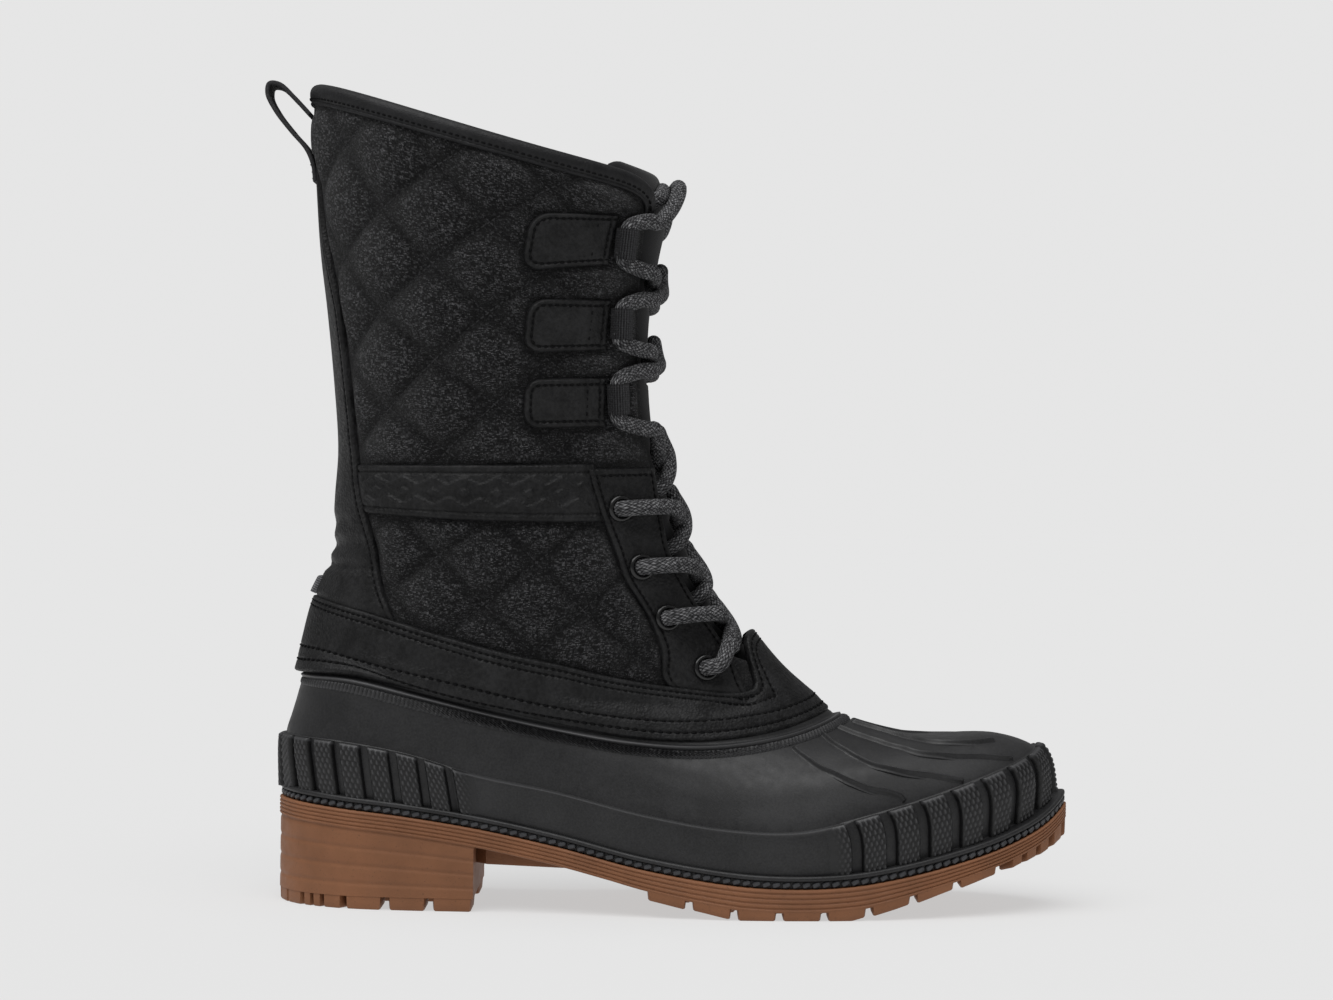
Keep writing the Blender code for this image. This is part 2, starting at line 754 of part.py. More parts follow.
def sole_plate_rings():
    """The plate from top to bottom: its flat rim, a rounded edge, then ribs with grooves between them."""
    outline = fewer_points(sole_loop(), SOLE_COLUMNS)
    profile = [(0.0, RIM_WIDTH), (0.0, EDGE_ROUND), (EDGE_ROUND, 0.0)]
    for rib in range(RIB_COUNT):
        middle = EDGE_ROUND + (rib + 0.75) * RIB_PITCH
        profile += [(middle, RIB_DEPTH), (middle + RIB_PITCH / 2.0, 0.0)]
    profile.append((PLATE_THICK, EDGE_ROUND))
    rings = []
    for depth, inset in profile:
        ring = drawn_in(outline, inset)
        thickness = plate_thickness(outline[..., 0])
        ring[..., 2] = outline[..., 2] - depth * thickness / PLATE_THICK
        rings.append(ring)
    return rings


def prism(shape, corners, top, bottom):
    """Add a closed prism to a bmesh: plan corners with their own top and bottom heights."""
    upper = [shape.verts.new(to_world((x, y, z))[0]) for (x, y), z in zip(corners, top)]
    lower = [shape.verts.new(to_world((x, y, z))[0]) for (x, y), z in zip(corners, bottom)]
    shape.faces.new(upper)
    shape.faces.new(lower[::-1])
    count = len(corners)
    for i in range(count):
        j = (i + 1) % count
        shape.faces.new((upper[i], lower[i], lower[j], upper[j]))


def plate_bottom(along):
    """The height of the plate's underside."""
    return sole_values(along)[2] - plate_thickness(along)


def forefoot_lug_heights(along):
    """Top and bottom heights of the forefoot's lugs."""
    return plate_bottom(along) + LUG_ROOT, sole_values(along)[3]


def heel_lug_heights(along):
    """Top and bottom heights of the heel's lugs."""
    return np.full(len(along), HEEL_LUG_DEPTH + LUG_ROOT), np.zeros(len(along))


def edge_lug(shape, start, end, side, reach):
    """A tread block along the sole's edge."""
    xs = np.array([start, end])
    lateral, medial, top, tread = sole_values(xs)
    half = (lateral if side < 0 else medial) - LUG_INSET
    outer = [(x, toe_swing(x) + side * h) for x, h in zip(xs, half)]
    inner = [(x, toe_swing(x) + side * (h - reach)) for x, h in zip(xs, half)][::-1]
    corners = outer + inner
    prism(shape, corners, *forefoot_lug_heights(np.array([x for x, y in corners])))


def centre_lug(shape, start, end):
    """A pointed tread block on the centre line, between the edge blocks."""
    middle = (start + end) / 2.0
    lateral, medial = sole_values(middle)[:2]
    left = toe_swing(middle) - lateral + LUG_REACH + LUG_CHANNEL
    right = toe_swing(middle) + medial - LUG_REACH - LUG_CHANNEL
    point = LUG_PITCH / 3.0
    corners = [(start, left), (start + point, (left + right) / 2.0), (start, right)]
    corners += [(end, right), (end + point, (left + right) / 2.0), (end, left)]
    prism(shape, corners, *forefoot_lug_heights(np.array([x for x, y in corners])))


def tooth(shape, outline, place, width, reach, heights):
    """A small tread tooth, square to the outline at a point of it."""
    ring = np.concatenate([outline[0], outline[1][-2:0:-1]])
    run = np.concatenate([[0.0], np.cumsum(np.linalg.norm(np.diff(ring[:, :2], axis=0), axis=1))])
    centre = np.array([np.interp(place, run, ring[:, k]) for k in (0, 1)])
    ahead = np.array([np.interp(place + 1.0, run, ring[:, k]) for k in (0, 1)])
    along = (ahead - centre) / np.linalg.norm(ahead - centre)
    inward = np.array([-along[1], along[0]])
    near = centre + inward * LUG_INSET
    far = near + inward * reach
    corners = [near - along * width / 2, near + along * width / 2]
    corners += [far + along * width / 3, far - along * width / 3]
    xs = np.array([x for x, y in corners])
    prism(shape, corners, *heights(xs))


def half_lengths(outline):
    """The plan length of a loop's lateral half, from the back to the tip."""
    return np.linalg.norm(np.diff(outline[0][:, :2], axis=0), axis=1).sum()


def joined(base, shape, name):
    """The base object with the prisms of a bmesh fused on."""
    mesh = bpy.data.meshes.new(name)
    bmesh.ops.recalc_face_normals(shape, faces=shape.faces)
    shape.to_mesh(mesh)
    shape.free()
    tool = bpy.data.objects.new(name, mesh)
    bpy.context.collection.objects.link(tool)
    tool.hide_render = True
    tool.display_type = "WIRE"
    union = base.modifiers.new("join " + name, "BOOLEAN")
    union.operation = "UNION"
    union.solver = "EXACT"
    union.use_self = True
    union.object = tool
    return base


def make_outsole(rubber):
    """The gum sole: a ribbed plate with the arch bridge and the forefoot tread."""
    plate = ladder_solid("outsole", sole_plate_rings(), rubber)
    shape = bmesh.new()
    for number in range(LUG_COUNT):
        start = LUG_START + number * LUG_PITCH
        for side in (-1, 1):
            edge_lug(shape, start, start + LUG_LENGTH, side, LUG_REACH)
    for number in range(LUG_COUNT - 1):
        start = LUG_START + number * LUG_PITCH + LUG_PITCH / 3.0
        centre_lug(shape, start, start + LUG_LENGTH - LUG_PITCH / 4.0)
    outline = sole_loop()
    tip = half_lengths(outline)
    for number in range(2 * TOE_TEETH - 1):
        place = tip + (number - TOE_TEETH + 1) * TOE_TOOTH_PITCH
        tooth(shape, outline, place, TOE_TOOTH_WIDTH, TOE_TOOTH_REACH, forefoot_lug_heights)
    xs = np.array([BRIDGE_FROM, BRIDGE_TO, BRIDGE_TO, BRIDGE_FROM])
    ys = BRIDGE_HALF_WIDTH * np.array([-1, -1, 1, 1])
    prism(shape, list(zip(xs, ys)), plate_bottom(xs) + LUG_ROOT, np.full(4, BRIDGE_BOTTOM))
    return joined(plate, shape, "forefoot tread")


def make_heel_block(rubber):
    """The stepped heel under the plate, with a square breast and its own tread."""
    outline = fewer_points(drawn_in(sole_loop(), HEEL_INSET), HEEL_COLUMNS)
    keep = int(np.argmax(outline[0][:, 0] > HEEL_BREAST))
    side = np.concatenate([outline[1][1:keep][::-1], outline[0][:keep]])
    ends = []
    for half in (outline[1], outline[0]):
        y = np.interp(HEEL_BREAST, half[:, 0], half[:, 1])
        ends.append(np.array([[HEEL_BREAST, y, 0.0]]))
    ring = np.concatenate([ends[0], side, ends[1]])
    profile = []
    for step in range(HEEL_STEP_COUNT):
        profile.append((step / HEEL_STEP_COUNT, 0.0))
        profile.append(((step + HEEL_STEP_SHARE) / HEEL_STEP_COUNT, HEEL_STEP_DEPTH))
    profile.append((1.0, 0.0))
    centre = np.array([HEEL_BREAST, 0.0, 0.0])
    rings = []
    for part, inset in profile:
        draw = (ring - centre) * (1.0 - inset / HEEL_REST_X) + centre
        high = plate_bottom(ring[:, 0]) - GAP
        draw[:, 2] = high + (HEEL_LUG_DEPTH - high) * part
        rings.append(draw)
    columns = len(ring)
    faces = grid_faces(len(rings), columns, 0, closed=True)
    half = columns // 2
    for first in (0, (len(rings) - 1) * columns):
        for rung in range(half):
            corners = [rung, rung + 1, columns - rung - 2, columns - rung - 1]
            faces.append(tuple(first + corner for corner in dict.fromkeys(corners)))
    faces = [face for face in faces if len(face) > 2]
    block = add_object("heel_block", np.concatenate(rings), faces, rubber)
    shape = bmesh.new()
    for start, end in HEEL_LUGS:
        for side in (-1, 1):
            xs = np.linspace(start, end, 3)
            lateral, medial, top, tread = sole_values(xs)
            reach = (lateral if side < 0 else medial) - LUG_INSET
            corners = [(x, side * h) for x, h in zip(xs, reach)]
            corners += [(x, side * (h - HEEL_LUG_REACH)) for x, h in zip(xs, reach)][::-1]
            prism(shape, corners, *heel_lug_heights(corners))
    back, front = HEEL_PAD
    half = HEEL_PAD_HALF_WIDTH
    pad = [(back, -half / 2.0), (front, -half), (front, half), (back, half / 2.0)]
    prism(shape, pad, *heel_lug_heights(pad))
    ring_length = half_lengths(outline) + half_lengths(outline[::-1])
    for number in range(2 * HEEL_TEETH - 1):
        place = (number - HEEL_TEETH + 1) * HEEL_TOOTH_PITCH % ring_length
        tooth(shape, outline, place, HEEL_TOOTH_WIDTH, HEEL_TOOTH_REACH, heel_lug_heights)
    return joined(block, shape, "heel tread")


def shell_turns():
    """The shell's columns: three for each groove of the bumpers, and a few along the sides."""
    turns = []
    kinds = []
    for side in (0, 1):
        girth = half_girth(BUMPER_LEVEL, side)
        half = []
        for number in range(HEEL_GROOVES):
            middle = (HEEL_GROOVE_FIRST + number * HEEL_GROOVE_PITCH) / girth
            width = HEEL_GROOVE_WIDTH / 2.0 / girth
            half += [(middle - width, BLOCK_STEP), (middle, GROOVE_STEP), (middle + width, BLOCK_STEP)]
        half[-1] = (half[-1][0], FOXING_STEP)
        toe = []
        for number in range(TOE_GROOVES - 1, 0, -1):
            middle = 1.0 - number * TOE_GROOVE_PITCH / girth
            width = TOE_GROOVE_WIDTH / 2.0 / girth
            toe += [(middle - width, BLOCK_STEP), (middle, GROOVE_STEP), (middle + width, BLOCK_STEP)]
        toe[0] = (toe[0][0], FOXING_STEP)
        between = np.linspace(half[-1][0], toe[0][0], SIDE_COLUMNS + 2)[1:-1]
        half += [(place, FOXING_STEP) for place in between] + toe
        centre = TOE_GROOVE_WIDTH / 2.0 / girth
        half.append((1.0 - centre, BLOCK_STEP))
        if side:
            half = [(2.0 - place, step) for place, step in half[::-1]]
        else:
            half.append((1.0, GROOVE_STEP))
        turns += [place for place, step in half]
        kinds += [step for place, step in half]
    return np.array(turns), np.array(kinds)


def shell_rows():
    """The shell's outer rows, low to high: level, step off the skin, and whether the blocks show there."""
    return [
        (0.0, FOXING_STEP, False),
        (BLOCK_BOTTOM - BLOCK_EDGE, FOXING_STEP, False),
        (BLOCK_BOTTOM, 0.0, True),
        (BUMPER_LEVEL - BLOCK_EDGE, 0.0, True),
        (BUMPER_LEVEL + BLOCK_EDGE, 0.0, False),
        ((BUMPER_LEVEL + SHOULDER_LEVEL) / 2.0, 0.0, False),
        (SHOULDER_LEVEL, 0.0, False),
        ((SHOULDER_LEVEL + VAMP_LEVEL) / 2.0, 0.0, False),
        (VAMP_LEVEL, 0.0, False),
        (BEAD_LEVEL - 2.0 * BEAD_HALF, 0.0, False),
        (BEAD_LEVEL - BEAD_HALF, BEAD_STEP, False),
        (BEAD_LEVEL, 0.0, False),
        (RIM_LEVEL, 0.0, False),
    ]


def fan_faces(fine, coarse, low, high):
    """Faces between a row of columns and one with a third as many."""
    faces = []
    for column in range(coarse):
        edge = [low + (3 * column + step) % fine for step in range(4)]
        faces.append(tuple(edge + [high + (column + 1) % coarse, high + column]))
    return faces


def make_rubber_shell(rubber):
    """The moulded foot: foxing and bumpers below, a bead at the top, and a flange behind the leather."""
    turns, steps = shell_turns()
    few = turns[::3]
    rows = shell_rows()
    fine_count = max(index for index, row in enumerate(rows) if row[2]) + 1
    foot = [skin_out(turns, level, steps if block else np.full(len(turns), out))
            for level, out, block in rows[:fine_count]]
    vamp = [skin_out(few, level, np.full(len(few), out)) for level, out, block in rows[fine_count:]]
    inner_levels = (RIM_LEVEL, BEAD_LEVEL, VAMP_LEVEL, SHOULDER_LEVEL, BUMPER_LEVEL, 0.0)
    inside = [skin_out(few, level, np.full(len(few), -SHELL_WALL)) for level in inner_levels]
    foot[0][:, 2] = rim_height(turns) + FEATHER_LIFT
    inside[-1][:, 2] = rim_height(few) + FEATHER_LIFT
    fine, coarse = len(turns), len(few)
    start = fine_count * fine
    above = len(vamp) + len(inside)
    faces = grid_faces(fine_count, fine, 0, closed=True)
    faces += fan_faces(fine, coarse, start - fine, start)
    faces += grid_faces(above, coarse, start, closed=True)
    faces += fan_faces(fine, coarse, 0, start + (above - 1) * coarse)
    return add_object("rubber_shell", np.concatenate(foot + vamp + inside), faces, rubber)


def make_welt(rubber):
    """The ring that binds shell and sole, nearly flush with the sole's edge."""
    columns = 2 * SOLE_COLUMNS
    turns = crowded(np.arange(columns) / SOLE_COLUMNS)
    edge = loop_point(drawn_in(sole_loop(), WELT_INSET), turns)
    clear = np.full(columns, FOXING_STEP + WELT_CLEAR)
    low = skin_out(turns, 0.0, clear)
    high = skin_out(turns, WELT_HEIGHT, clear)
    rise = np.array([0.0, 0.0, 1.0])
    outer = np.stack([edge + rise * WELT_LIFT, edge + rise * WELT_HEIGHT])
    inner = np.stack([low, high])
    inner[0][:, 2] = edge[:, 2] + WELT_LIFT
    inner[1][:, 2] = edge[:, 2] + WELT_HEIGHT
    return wall("welt", outer, inner, rubber, closed=True)


def upper_levels():
    """The upper's rows: closed up to the throat, then open along the lacing slot."""
    below = np.linspace(RIM_LEVEL + RIM_GAP, THROAT_LEVEL, UPPER_ROWS_BELOW)
    return np.concatenate([below, [SLOT[1].level], UPPER_LEVELS, [COLLAR_LEVEL]])


def slot_turns(level, columns):
    """Turns from the slot's medial edge round the back to its lateral edge, closer at front and back."""
    half = slot_half_width(level)
    lateral = turn_from_front(-half, level)
    medial = turn_from_front(half, level) - 2.0
    eased = crowded(np.linspace(-1.0, 1.0, columns))
    return medial + (lateral - medial) * (eased + 1.0) / 2.0


def make_upper(fabric):
    """The hollow quilted upper, open at the collar, at the lacing slot and underneath."""
    levels = upper_levels()
    turns = np.stack([slot_turns(level, UPPER_COLUMNS + 1) for level in levels])
    grid = np.broadcast_to(levels[:, None], turns.shape)
    outer = skin_out(turns, grid, np.zeros(turns.shape))
    inner = skin_out(turns, grid, np.full(turns.shape, -UPPER_WALL))
    return wall("upper", outer, inner, fabric, open_from=UPPER_ROWS_BELOW - 1)


def tongue_half_width(level):
    """Half the tongue's width over the skin."""
    return np.maximum(slot_half_width(level), TONGUE_ROOT_HALF_WIDTH) + TONGUE_MARGIN


def tongue_face(distance, level):
    """How far the tongue's face lies outside the skin: it sinks in mid-width above the throat."""
    lean = np.clip((level - COLLAR_LEVEL + TONGUE_LEAN_FROM) / (TONGUE_RISE + TONGUE_LEAN_FROM), 0.0, 1.0)
    sink = table_value(TONGUE_SINK, level, 1)
    hollow = 1.0 - (distance / tongue_half_width(level)) ** 2
    return -(UPPER_WALL + TONGUE_CLEAR) - TONGUE_LEAN * lean ** 2 - sink * hollow


def make_tongue(cloth):
    """The padded tongue behind the slot, leaning back at its top."""
    root = THROAT_LEVEL - TONGUE_ROOT_DROP
    up = np.linspace(0.0, 1.0, TONGUE_ROWS)[:, None] ** TONGUE_ROW_CROWDING
    levels = root + (COLLAR_LEVEL + TONGUE_RISE - root) * up
    across = np.linspace(-1.0, 1.0, TONGUE_COLUMNS)[None, :]
    distance = tongue_half_width(levels) * across
    turns = turn_from_front(distance, np.minimum(levels, COLLAR_LEVEL))
    levels = np.broadcast_to(levels, turns.shape)
    face = tongue_face(distance, levels)
    outer = skin_out(turns, levels, face)
    inner = skin_out(turns, levels, face - TONGUE_THICK)
    return wall("tongue", outer, inner, cloth)


def make_insole(felt):
    """The insole on the sole's top, inside the shell."""
    count = SOLE_COLUMNS // 2
    foot = np.linspace(0.0, 1.0, count + 1)
    rings = []
    for rise in (INSOLE_LIFT, INSOLE_THICK / 2.0, INSOLE_THICK):
        level = np.full(count + 1, rise)
        out = np.full(count + 1, -(SHELL_WALL + INSOLE_CLEAR))
        ring = np.stack([skin_out(foot, level, out), skin_out(2.0 - foot, level, out)])
        ring[..., 2] = rim_height(np.stack([foot, 2.0 - foot])) + FEATHER_LIFT + rise
        rings.append(ring)
    return ladder_solid("insole", rings[::-1], felt)


def overlay(name, turns, levels, finish, thick=LEATHER, lift=0.0, closed=False):
    """A flat piece that lies on the upper, between two surfaces of the upper's own skin."""
    low = np.full(turns.shape, OVERLAY_CLEAR) + lift
    outer = skin_out(turns, levels, low + thick)
    inner = skin_out(turns, levels, low)
    return wall(name, outer, inner, finish, closed=closed)


def make_leather_band(leather):
    """The leather band that covers the joint of shell and upper, flared at its lower edge."""
    turns = columns_of(BAND)[0]
    turns = np.concatenate([turns, 2.0 - turns[-2:0:-1]])
    low = BEAD_LEVEL + BAND_ABOVE_BEAD
    part = np.linspace(0.0, 1.0, BAND_ROWS)[:, None]
    levels = low + (band_top(turns) - low)[None, :] * part
    turns = np.broadcast_to(turns, levels.shape)
    flare = BAND_FLARE * (1.0 - part) ** 3 * np.abs(np.cos(math.pi * turns / 2.0)) ** 2
    return overlay("leather_band", turns, levels, leather, lift=flare, closed=True)


def eyestay_places():
    """Levels and distances from the front over one eyestay, up from the leather band's edge."""
    across = np.linspace(0.0, 1.0, EYESTAY_COLUMNS)[None, :]
    bottom = np.full(across.shape, EYESTAY[0].level)
    for attempt in range(6):
        front, rear = (table_value(EYESTAY, bottom, column) for column in (1, 2))
        bottom = band_top(turn_from_front(-(front + (rear - front) * across), bottom)) + SEAM_GAP
    up = np.linspace(0.0, 1.0, EYESTAY_ROWS)[:, None]
    levels = bottom + (EYESTAY[-1].level - bottom) * up
    front, rear = (table_value(EYESTAY, levels, column) for column in (1, 2))
    return levels, front + (rear - front) * across


def make_eyestay(name, side, leather):
    """A leather facing beside the lacing slot."""
    levels, distance = eyestay_places()
    return overlay(name, turn_from_front(side * distance, levels), levels, leather)


def make_side_band(name, side, leather):
    """The leather band at the ankle, from the backstay to the eyestay."""
    low, high = SIDE_BAND_LEVELS
    levels = np.linspace(low, high, 3)[:, None]
    start = turn_from_back(table_value(BACKSTAY, levels, 1) + SEAM_GAP, levels)
    end = turn_from_front(-table_value(EYESTAY, levels, 2) - SEAM_GAP, levels)
    turns = start + (end - start) * np.linspace(0.0, 1.0, SIDE_BAND_COLUMNS)[None, :]
    turns = 2.0 - turns if side > 0 else turns
    return overlay(name, turns, np.broadcast_to(levels, turns.shape), leather)


def make_backstay(leather):
    """The leather strip up the back, rounded off at its top."""
    levels, half = columns_of(BACKSTAY)
    across = np.linspace(-1.0, 1.0, BACKSTAY_COLUMNS)[None, :]
    distance = half[:, None] * across
    turns = turn_from_back(distance, levels[:, None])
    return overlay("backstay", turns, np.broadcast_to(levels[:, None], turns.shape), leather)


def make_binding(leather):
    """The rolled binding on the collar's edge, from flap to flap."""
    turns = slot_turns(COLLAR_LEVEL, BINDING_COLUMNS)
    edge = skin(turns, COLLAR_LEVEL)
    normal = skin_normal(turns, COLLAR_LEVEL)
    upward = skin(turns, COLLAR_LEVEL + 1.0) - edge
    upward /= np.linalg.norm(upward, axis=1, keepdims=True)
    rings = np.stack([edge + normal * point.out + upward * point.rise for point in BINDING], axis=1)
    return tube_object("collar_binding", rings, leather)


def tube_faces(columns, sides):
    """Faces of a capped tube of rings."""
    faces = grid_faces(columns, sides, 0, closed=True)
    faces.append(tuple(range(sides))[::-1])
    faces.append(tuple((columns - 1) * sides + side for side in range(sides)))
    return faces


def tube_object(name, rings, finish):
    """A capped tube through closed sections."""
    columns, sides = rings.shape[:2]
    return add_object(name, rings.reshape(-1, 3), tube_faces(columns, sides), finish)


def make_lace_tab(name, row, side, leather):
    """A leather tab with a round back end."""
    places = np.array([place for place, share in TAB_END])
    shares = np.array([share for place, share in TAB_END])
    middle = row.back_level + (row.front_level - row.back_level) * places
    distance = row.back + (row.front - row.back) * places
    levels = middle[None, :] + np.array([-1.0, 0.0, 1.0])[:, None] * (row.half_height * shares)[None, :]
    turns = turn_from_front(side * np.broadcast_to(distance, levels.shape), levels)
    return overlay(name, turns, levels, leather)


def local_frame(distance, level):
    """The skin's point, its forward and upward directions and its normal at a place near the front."""
    turn = turn_from_front(distance, level)
    point = skin(turn, level)
    normal = skin_normal(turn, level)
    upward = skin(turn, level + 1.0) - skin(turn, level - 1.0)
    upward /= np.linalg.norm(upward)
    forward = np.cross(upward, normal)
    return point, forward / np.linalg.norm(forward), upward, normal


def stadium(half_length, half_height):
    """A flat ring shape as pairs of forward and outward distances."""
    angle = 2.0 * math.pi * np.arange(LOOP_SIDES) / LOOP_SIDES
    straight = half_length - half_height
    return np.stack([straight * np.sign(np.cos(angle)) + half_height * np.cos(angle),
                     half_height * np.sin(angle)], axis=1)


def ring_object(name, rings, finish):
    """A ring whose section is closed: the last ring of points joins the first."""
    sides = len(rings[0])
    points = np.concatenate(rings + rings[:1])
    return add_object(name, points, grid_faces(len(rings) + 1, sides, 0, closed=True), finish)


def make_lace_loop(name, row, side, webbing):
    """A webbing loop that the lace runs through, along the shaft."""
    point, forward, upward, normal = local_frame(side * row.middle, row.level)
    height = LACE_RADIUS + LACE_CLEAR + LOOP_STRAP
    outer = stadium(LOOP_HALF_LENGTH, height)
    inner = stadium(LOOP_HALF_LENGTH - LOOP_STRAP, height - LOOP_STRAP)
    rings = []
    for shape, end in ((outer, -1), (outer, 1), (inner, 1), (inner, -1)):
        centre = point + normal * (height + LOOP_CLEAR) + upward * end * LOOP_HALF_WIDTH
        rings.append(centre + shape[:, :1] * forward + shape[:, 1:] * normal)
    return ring_object(name, rings, webbing)


def make_eyelet(name, row, side, metal):
    """A flat metal ring on the eyestay."""
    point, forward, upward, normal = local_frame(side * row.middle, row.level)
    base = point + normal * (OVERLAY_CLEAR + LEATHER + EYELET_LIFT)
    angle = 2.0 * math.pi * np.arange(EYELET_SIDES) / EYELET_SIDES
    around = np.cos(angle)[:, None] * forward + np.sin(angle)[:, None] * upward
    rings = []
    section = [(EYELET_RADIUS, 0.0), (EYELET_RADIUS - EYELET_BEVEL, EYELET_THICK)]
    section += [(EYELET_HOLE, EYELET_THICK), (EYELET_HOLE, 0.0)]
    for radius, lift in section:
        rings.append(base + around * radius + normal * lift)
    return ring_object(name, rings, metal)


def smooth_open(points, steps):
    """A smooth open curve through a few points, at equal distances."""
    points = np.asarray(points, dtype=float)
    ends = [2.0 * points[0] - points[1], 2.0 * points[-1] - points[-2]]
    padded = np.concatenate([ends[:1], points, ends[1:]])
    curve = []
    part = np.linspace(0.0, 1.0, SPAN_SAMPLES, endpoint=False)[:, None]
    for before, start, end, after in zip(padded, padded[1:], padded[2:], padded[3:]):
        ease = part * part * (3.0 - 2.0 * part)
        bend = (end - before) * part * (1.0 - part) ** 2 - (after - start) * part * part * (1.0 - part)
        curve.append(start * (1.0 - ease) + end * ease + bend / 2.0)
    curve.append(points[-1:])
    return even_spacing(np.concatenate(curve), steps)


def strand_rings(places, steps=LACE_STEPS):
    """Sections of a lace strand through places (distance from the front, level, distance outside)."""
    distance, level, out = np.array(places, dtype=float).T
    under = np.minimum(level, COLLAR_LEVEL)
    path = smooth_open(skin_out(turn_from_front(distance, under), level, out), steps)
    run = np.gradient(path, axis=0)
    run /= np.linalg.norm(run, axis=1, keepdims=True)
    rise = np.cross(run, np.array([0.0, 1.0, 0.0]))
    rise /= np.linalg.norm(rise, axis=1, keepdims=True)
    beside = np.cross(run, rise)
    angle = 2.0 * math.pi * np.arange(LACE_SIDES) / LACE_SIDES
    turn = np.cos(angle)[None, :, None] * rise[:, None] + np.sin(angle)[None, :, None] * beside[:, None]
    return path[:, None] + LACE_RADIUS * turn


def eyelet_start(row):
    """Where a strand leaves an eyelet and passes the flap's edge."""
    over = OVERLAY_CLEAR + LEATHER + FLAP_LIFT + LACE_RADIUS
    top = over + EYELET_LIFT + EYELET_THICK
    edge = float(table_value(EYESTAY, row.level, 1))
    places = [(row.middle, row.level, top), (edge + FLAP_PASS, row.level, top - EYELET_PASS)]
    return places + [(edge - FLAP_PASS, row.level, over)]


def loop_end(row, leave):
    """Where a strand lies between a webbing loop and the flap's edge, below or above the loop."""
    out = LOOP_CLEAR + LOOP_STRAP + LACE_CLEAR + LACE_RADIUS
    level = row.level + leave
    edge = float(slot_half_width(level))
    places = [(row.middle, level, out), (edge + FLAP_PASS, level, out - LOOP_CLEAR)]
    return places + [(edge - FLAP_PASS, level, out - LOOP_STRAP)]


def under_end(level):
    """Where a strand goes in under the opposite flap."""
    return [(float(slot_half_width(level)) - FLAP_SIDE, level, UNDER_OUT)]


def strand_places(side, start, middle, out, end):
    """A strand's places from one side over the middle to the other: side -1 starts on the lateral one."""
    places = [(side * distance, height, lift) for distance, height, lift in start]
    places.append((0.0, middle.level, out))
    return places + [(-side * distance, height, lift) for distance, height, lift in end]


def make_crossing(name, start, middle, end, lace):
    """Two strands that cross over the tongue, joined where they touch."""
    low = strand_rings(strand_places(-1.0, start, middle, middle.out - CROSSING_SPLIT, end))
    high = strand_rings(strand_places(1.0, start, middle, middle.out, end))
    base = tube_object(name, low, lace)
    over = bmesh.new()
    corners = [over.verts.new(point) for point in to_world(high)]
    for face in tube_faces(*high.shape[:2]):
        over.faces.new([corners[i] for i in face])
    return joined(base, over, name + " upper strand")


def make_laces(lace):
    """The criss-cross lacing, from the collar down to the bar over the throat."""
    top, middle, low = LACE_LOOPS
    ends = [(loop_end(top, TOP_LOOP_LEAVE), under_end(TOP_END_LEVEL))]
    ends.append((loop_end(top, -LOOP_LEAVE), loop_end(middle, LOOP_LEAVE)[::-1]))
    ends.append((loop_end(middle, -LOOP_LEAVE), loop_end(low, LOOP_LEAVE)[::-1]))
    ends.append((loop_end(low, -LOOP_LEAVE), under_end(EYELETS[0].level + UNDER_RISE)))
    for above, below in zip(EYELETS, EYELETS[1:]):
        ends.append((eyelet_start(above), under_end(below.level + UNDER_RISE)))
    for number, (row, (start, end)) in enumerate(zip(CROSSINGS, ends), 1):
        make_crossing(f"lace_crossing_{number}", start, row, end, lace)
    start = eyelet_start(EYELETS[-1]) + [BAR_SHOULDER]
    places = strand_places(-1.0, start, BAR, BAR.out, start[::-1])
    tube_object("lace_bar", strand_rings(places, BAR_STEPS), lace)


def make_pull_loop(webbing):
    """The webbing loop at the back of the collar, sewn on at both its ends."""
    path = smooth_open([(row.along, 0.0, row.height) for row in PULL_LOOP], 2 * len(PULL_LOOP))
    run = np.gradient(path, axis=0)
    run /= np.linalg.norm(run, axis=1, keepdims=True)
    across = np.array([0.0, PULL_LOOP_HALF_WIDTH, 0.0])
    rise = np.cross(run, np.array([0.0, 1.0, 0.0])) * PULL_LOOP_THICK / 2.0
    corners = [path - across - rise, path + across - rise, path + across + rise, path - across + rise]
    rings = np.stack(corners, axis=1)
    return tube_object("pull_loop", rings, webbing)


def make_heel_tag(webbing):
    """The small folded tag over the leather band at the back."""
    low, high = HEEL_TAG_LEVELS
    levels = np.linspace(low, high, 3)[:, None]
    turns = turn_from_back(np.linspace(-1.0, 1.0, 3)[None, :] * HEEL_TAG_HALF_WIDTH, levels)
    levels = np.broadcast_to(levels, turns.shape)
    inner, outer = (skin_out(turns, levels, np.full(turns.shape, out)) for out in HEEL_TAG_OUT)
    return wall("heel_tag", outer, inner, webbing)


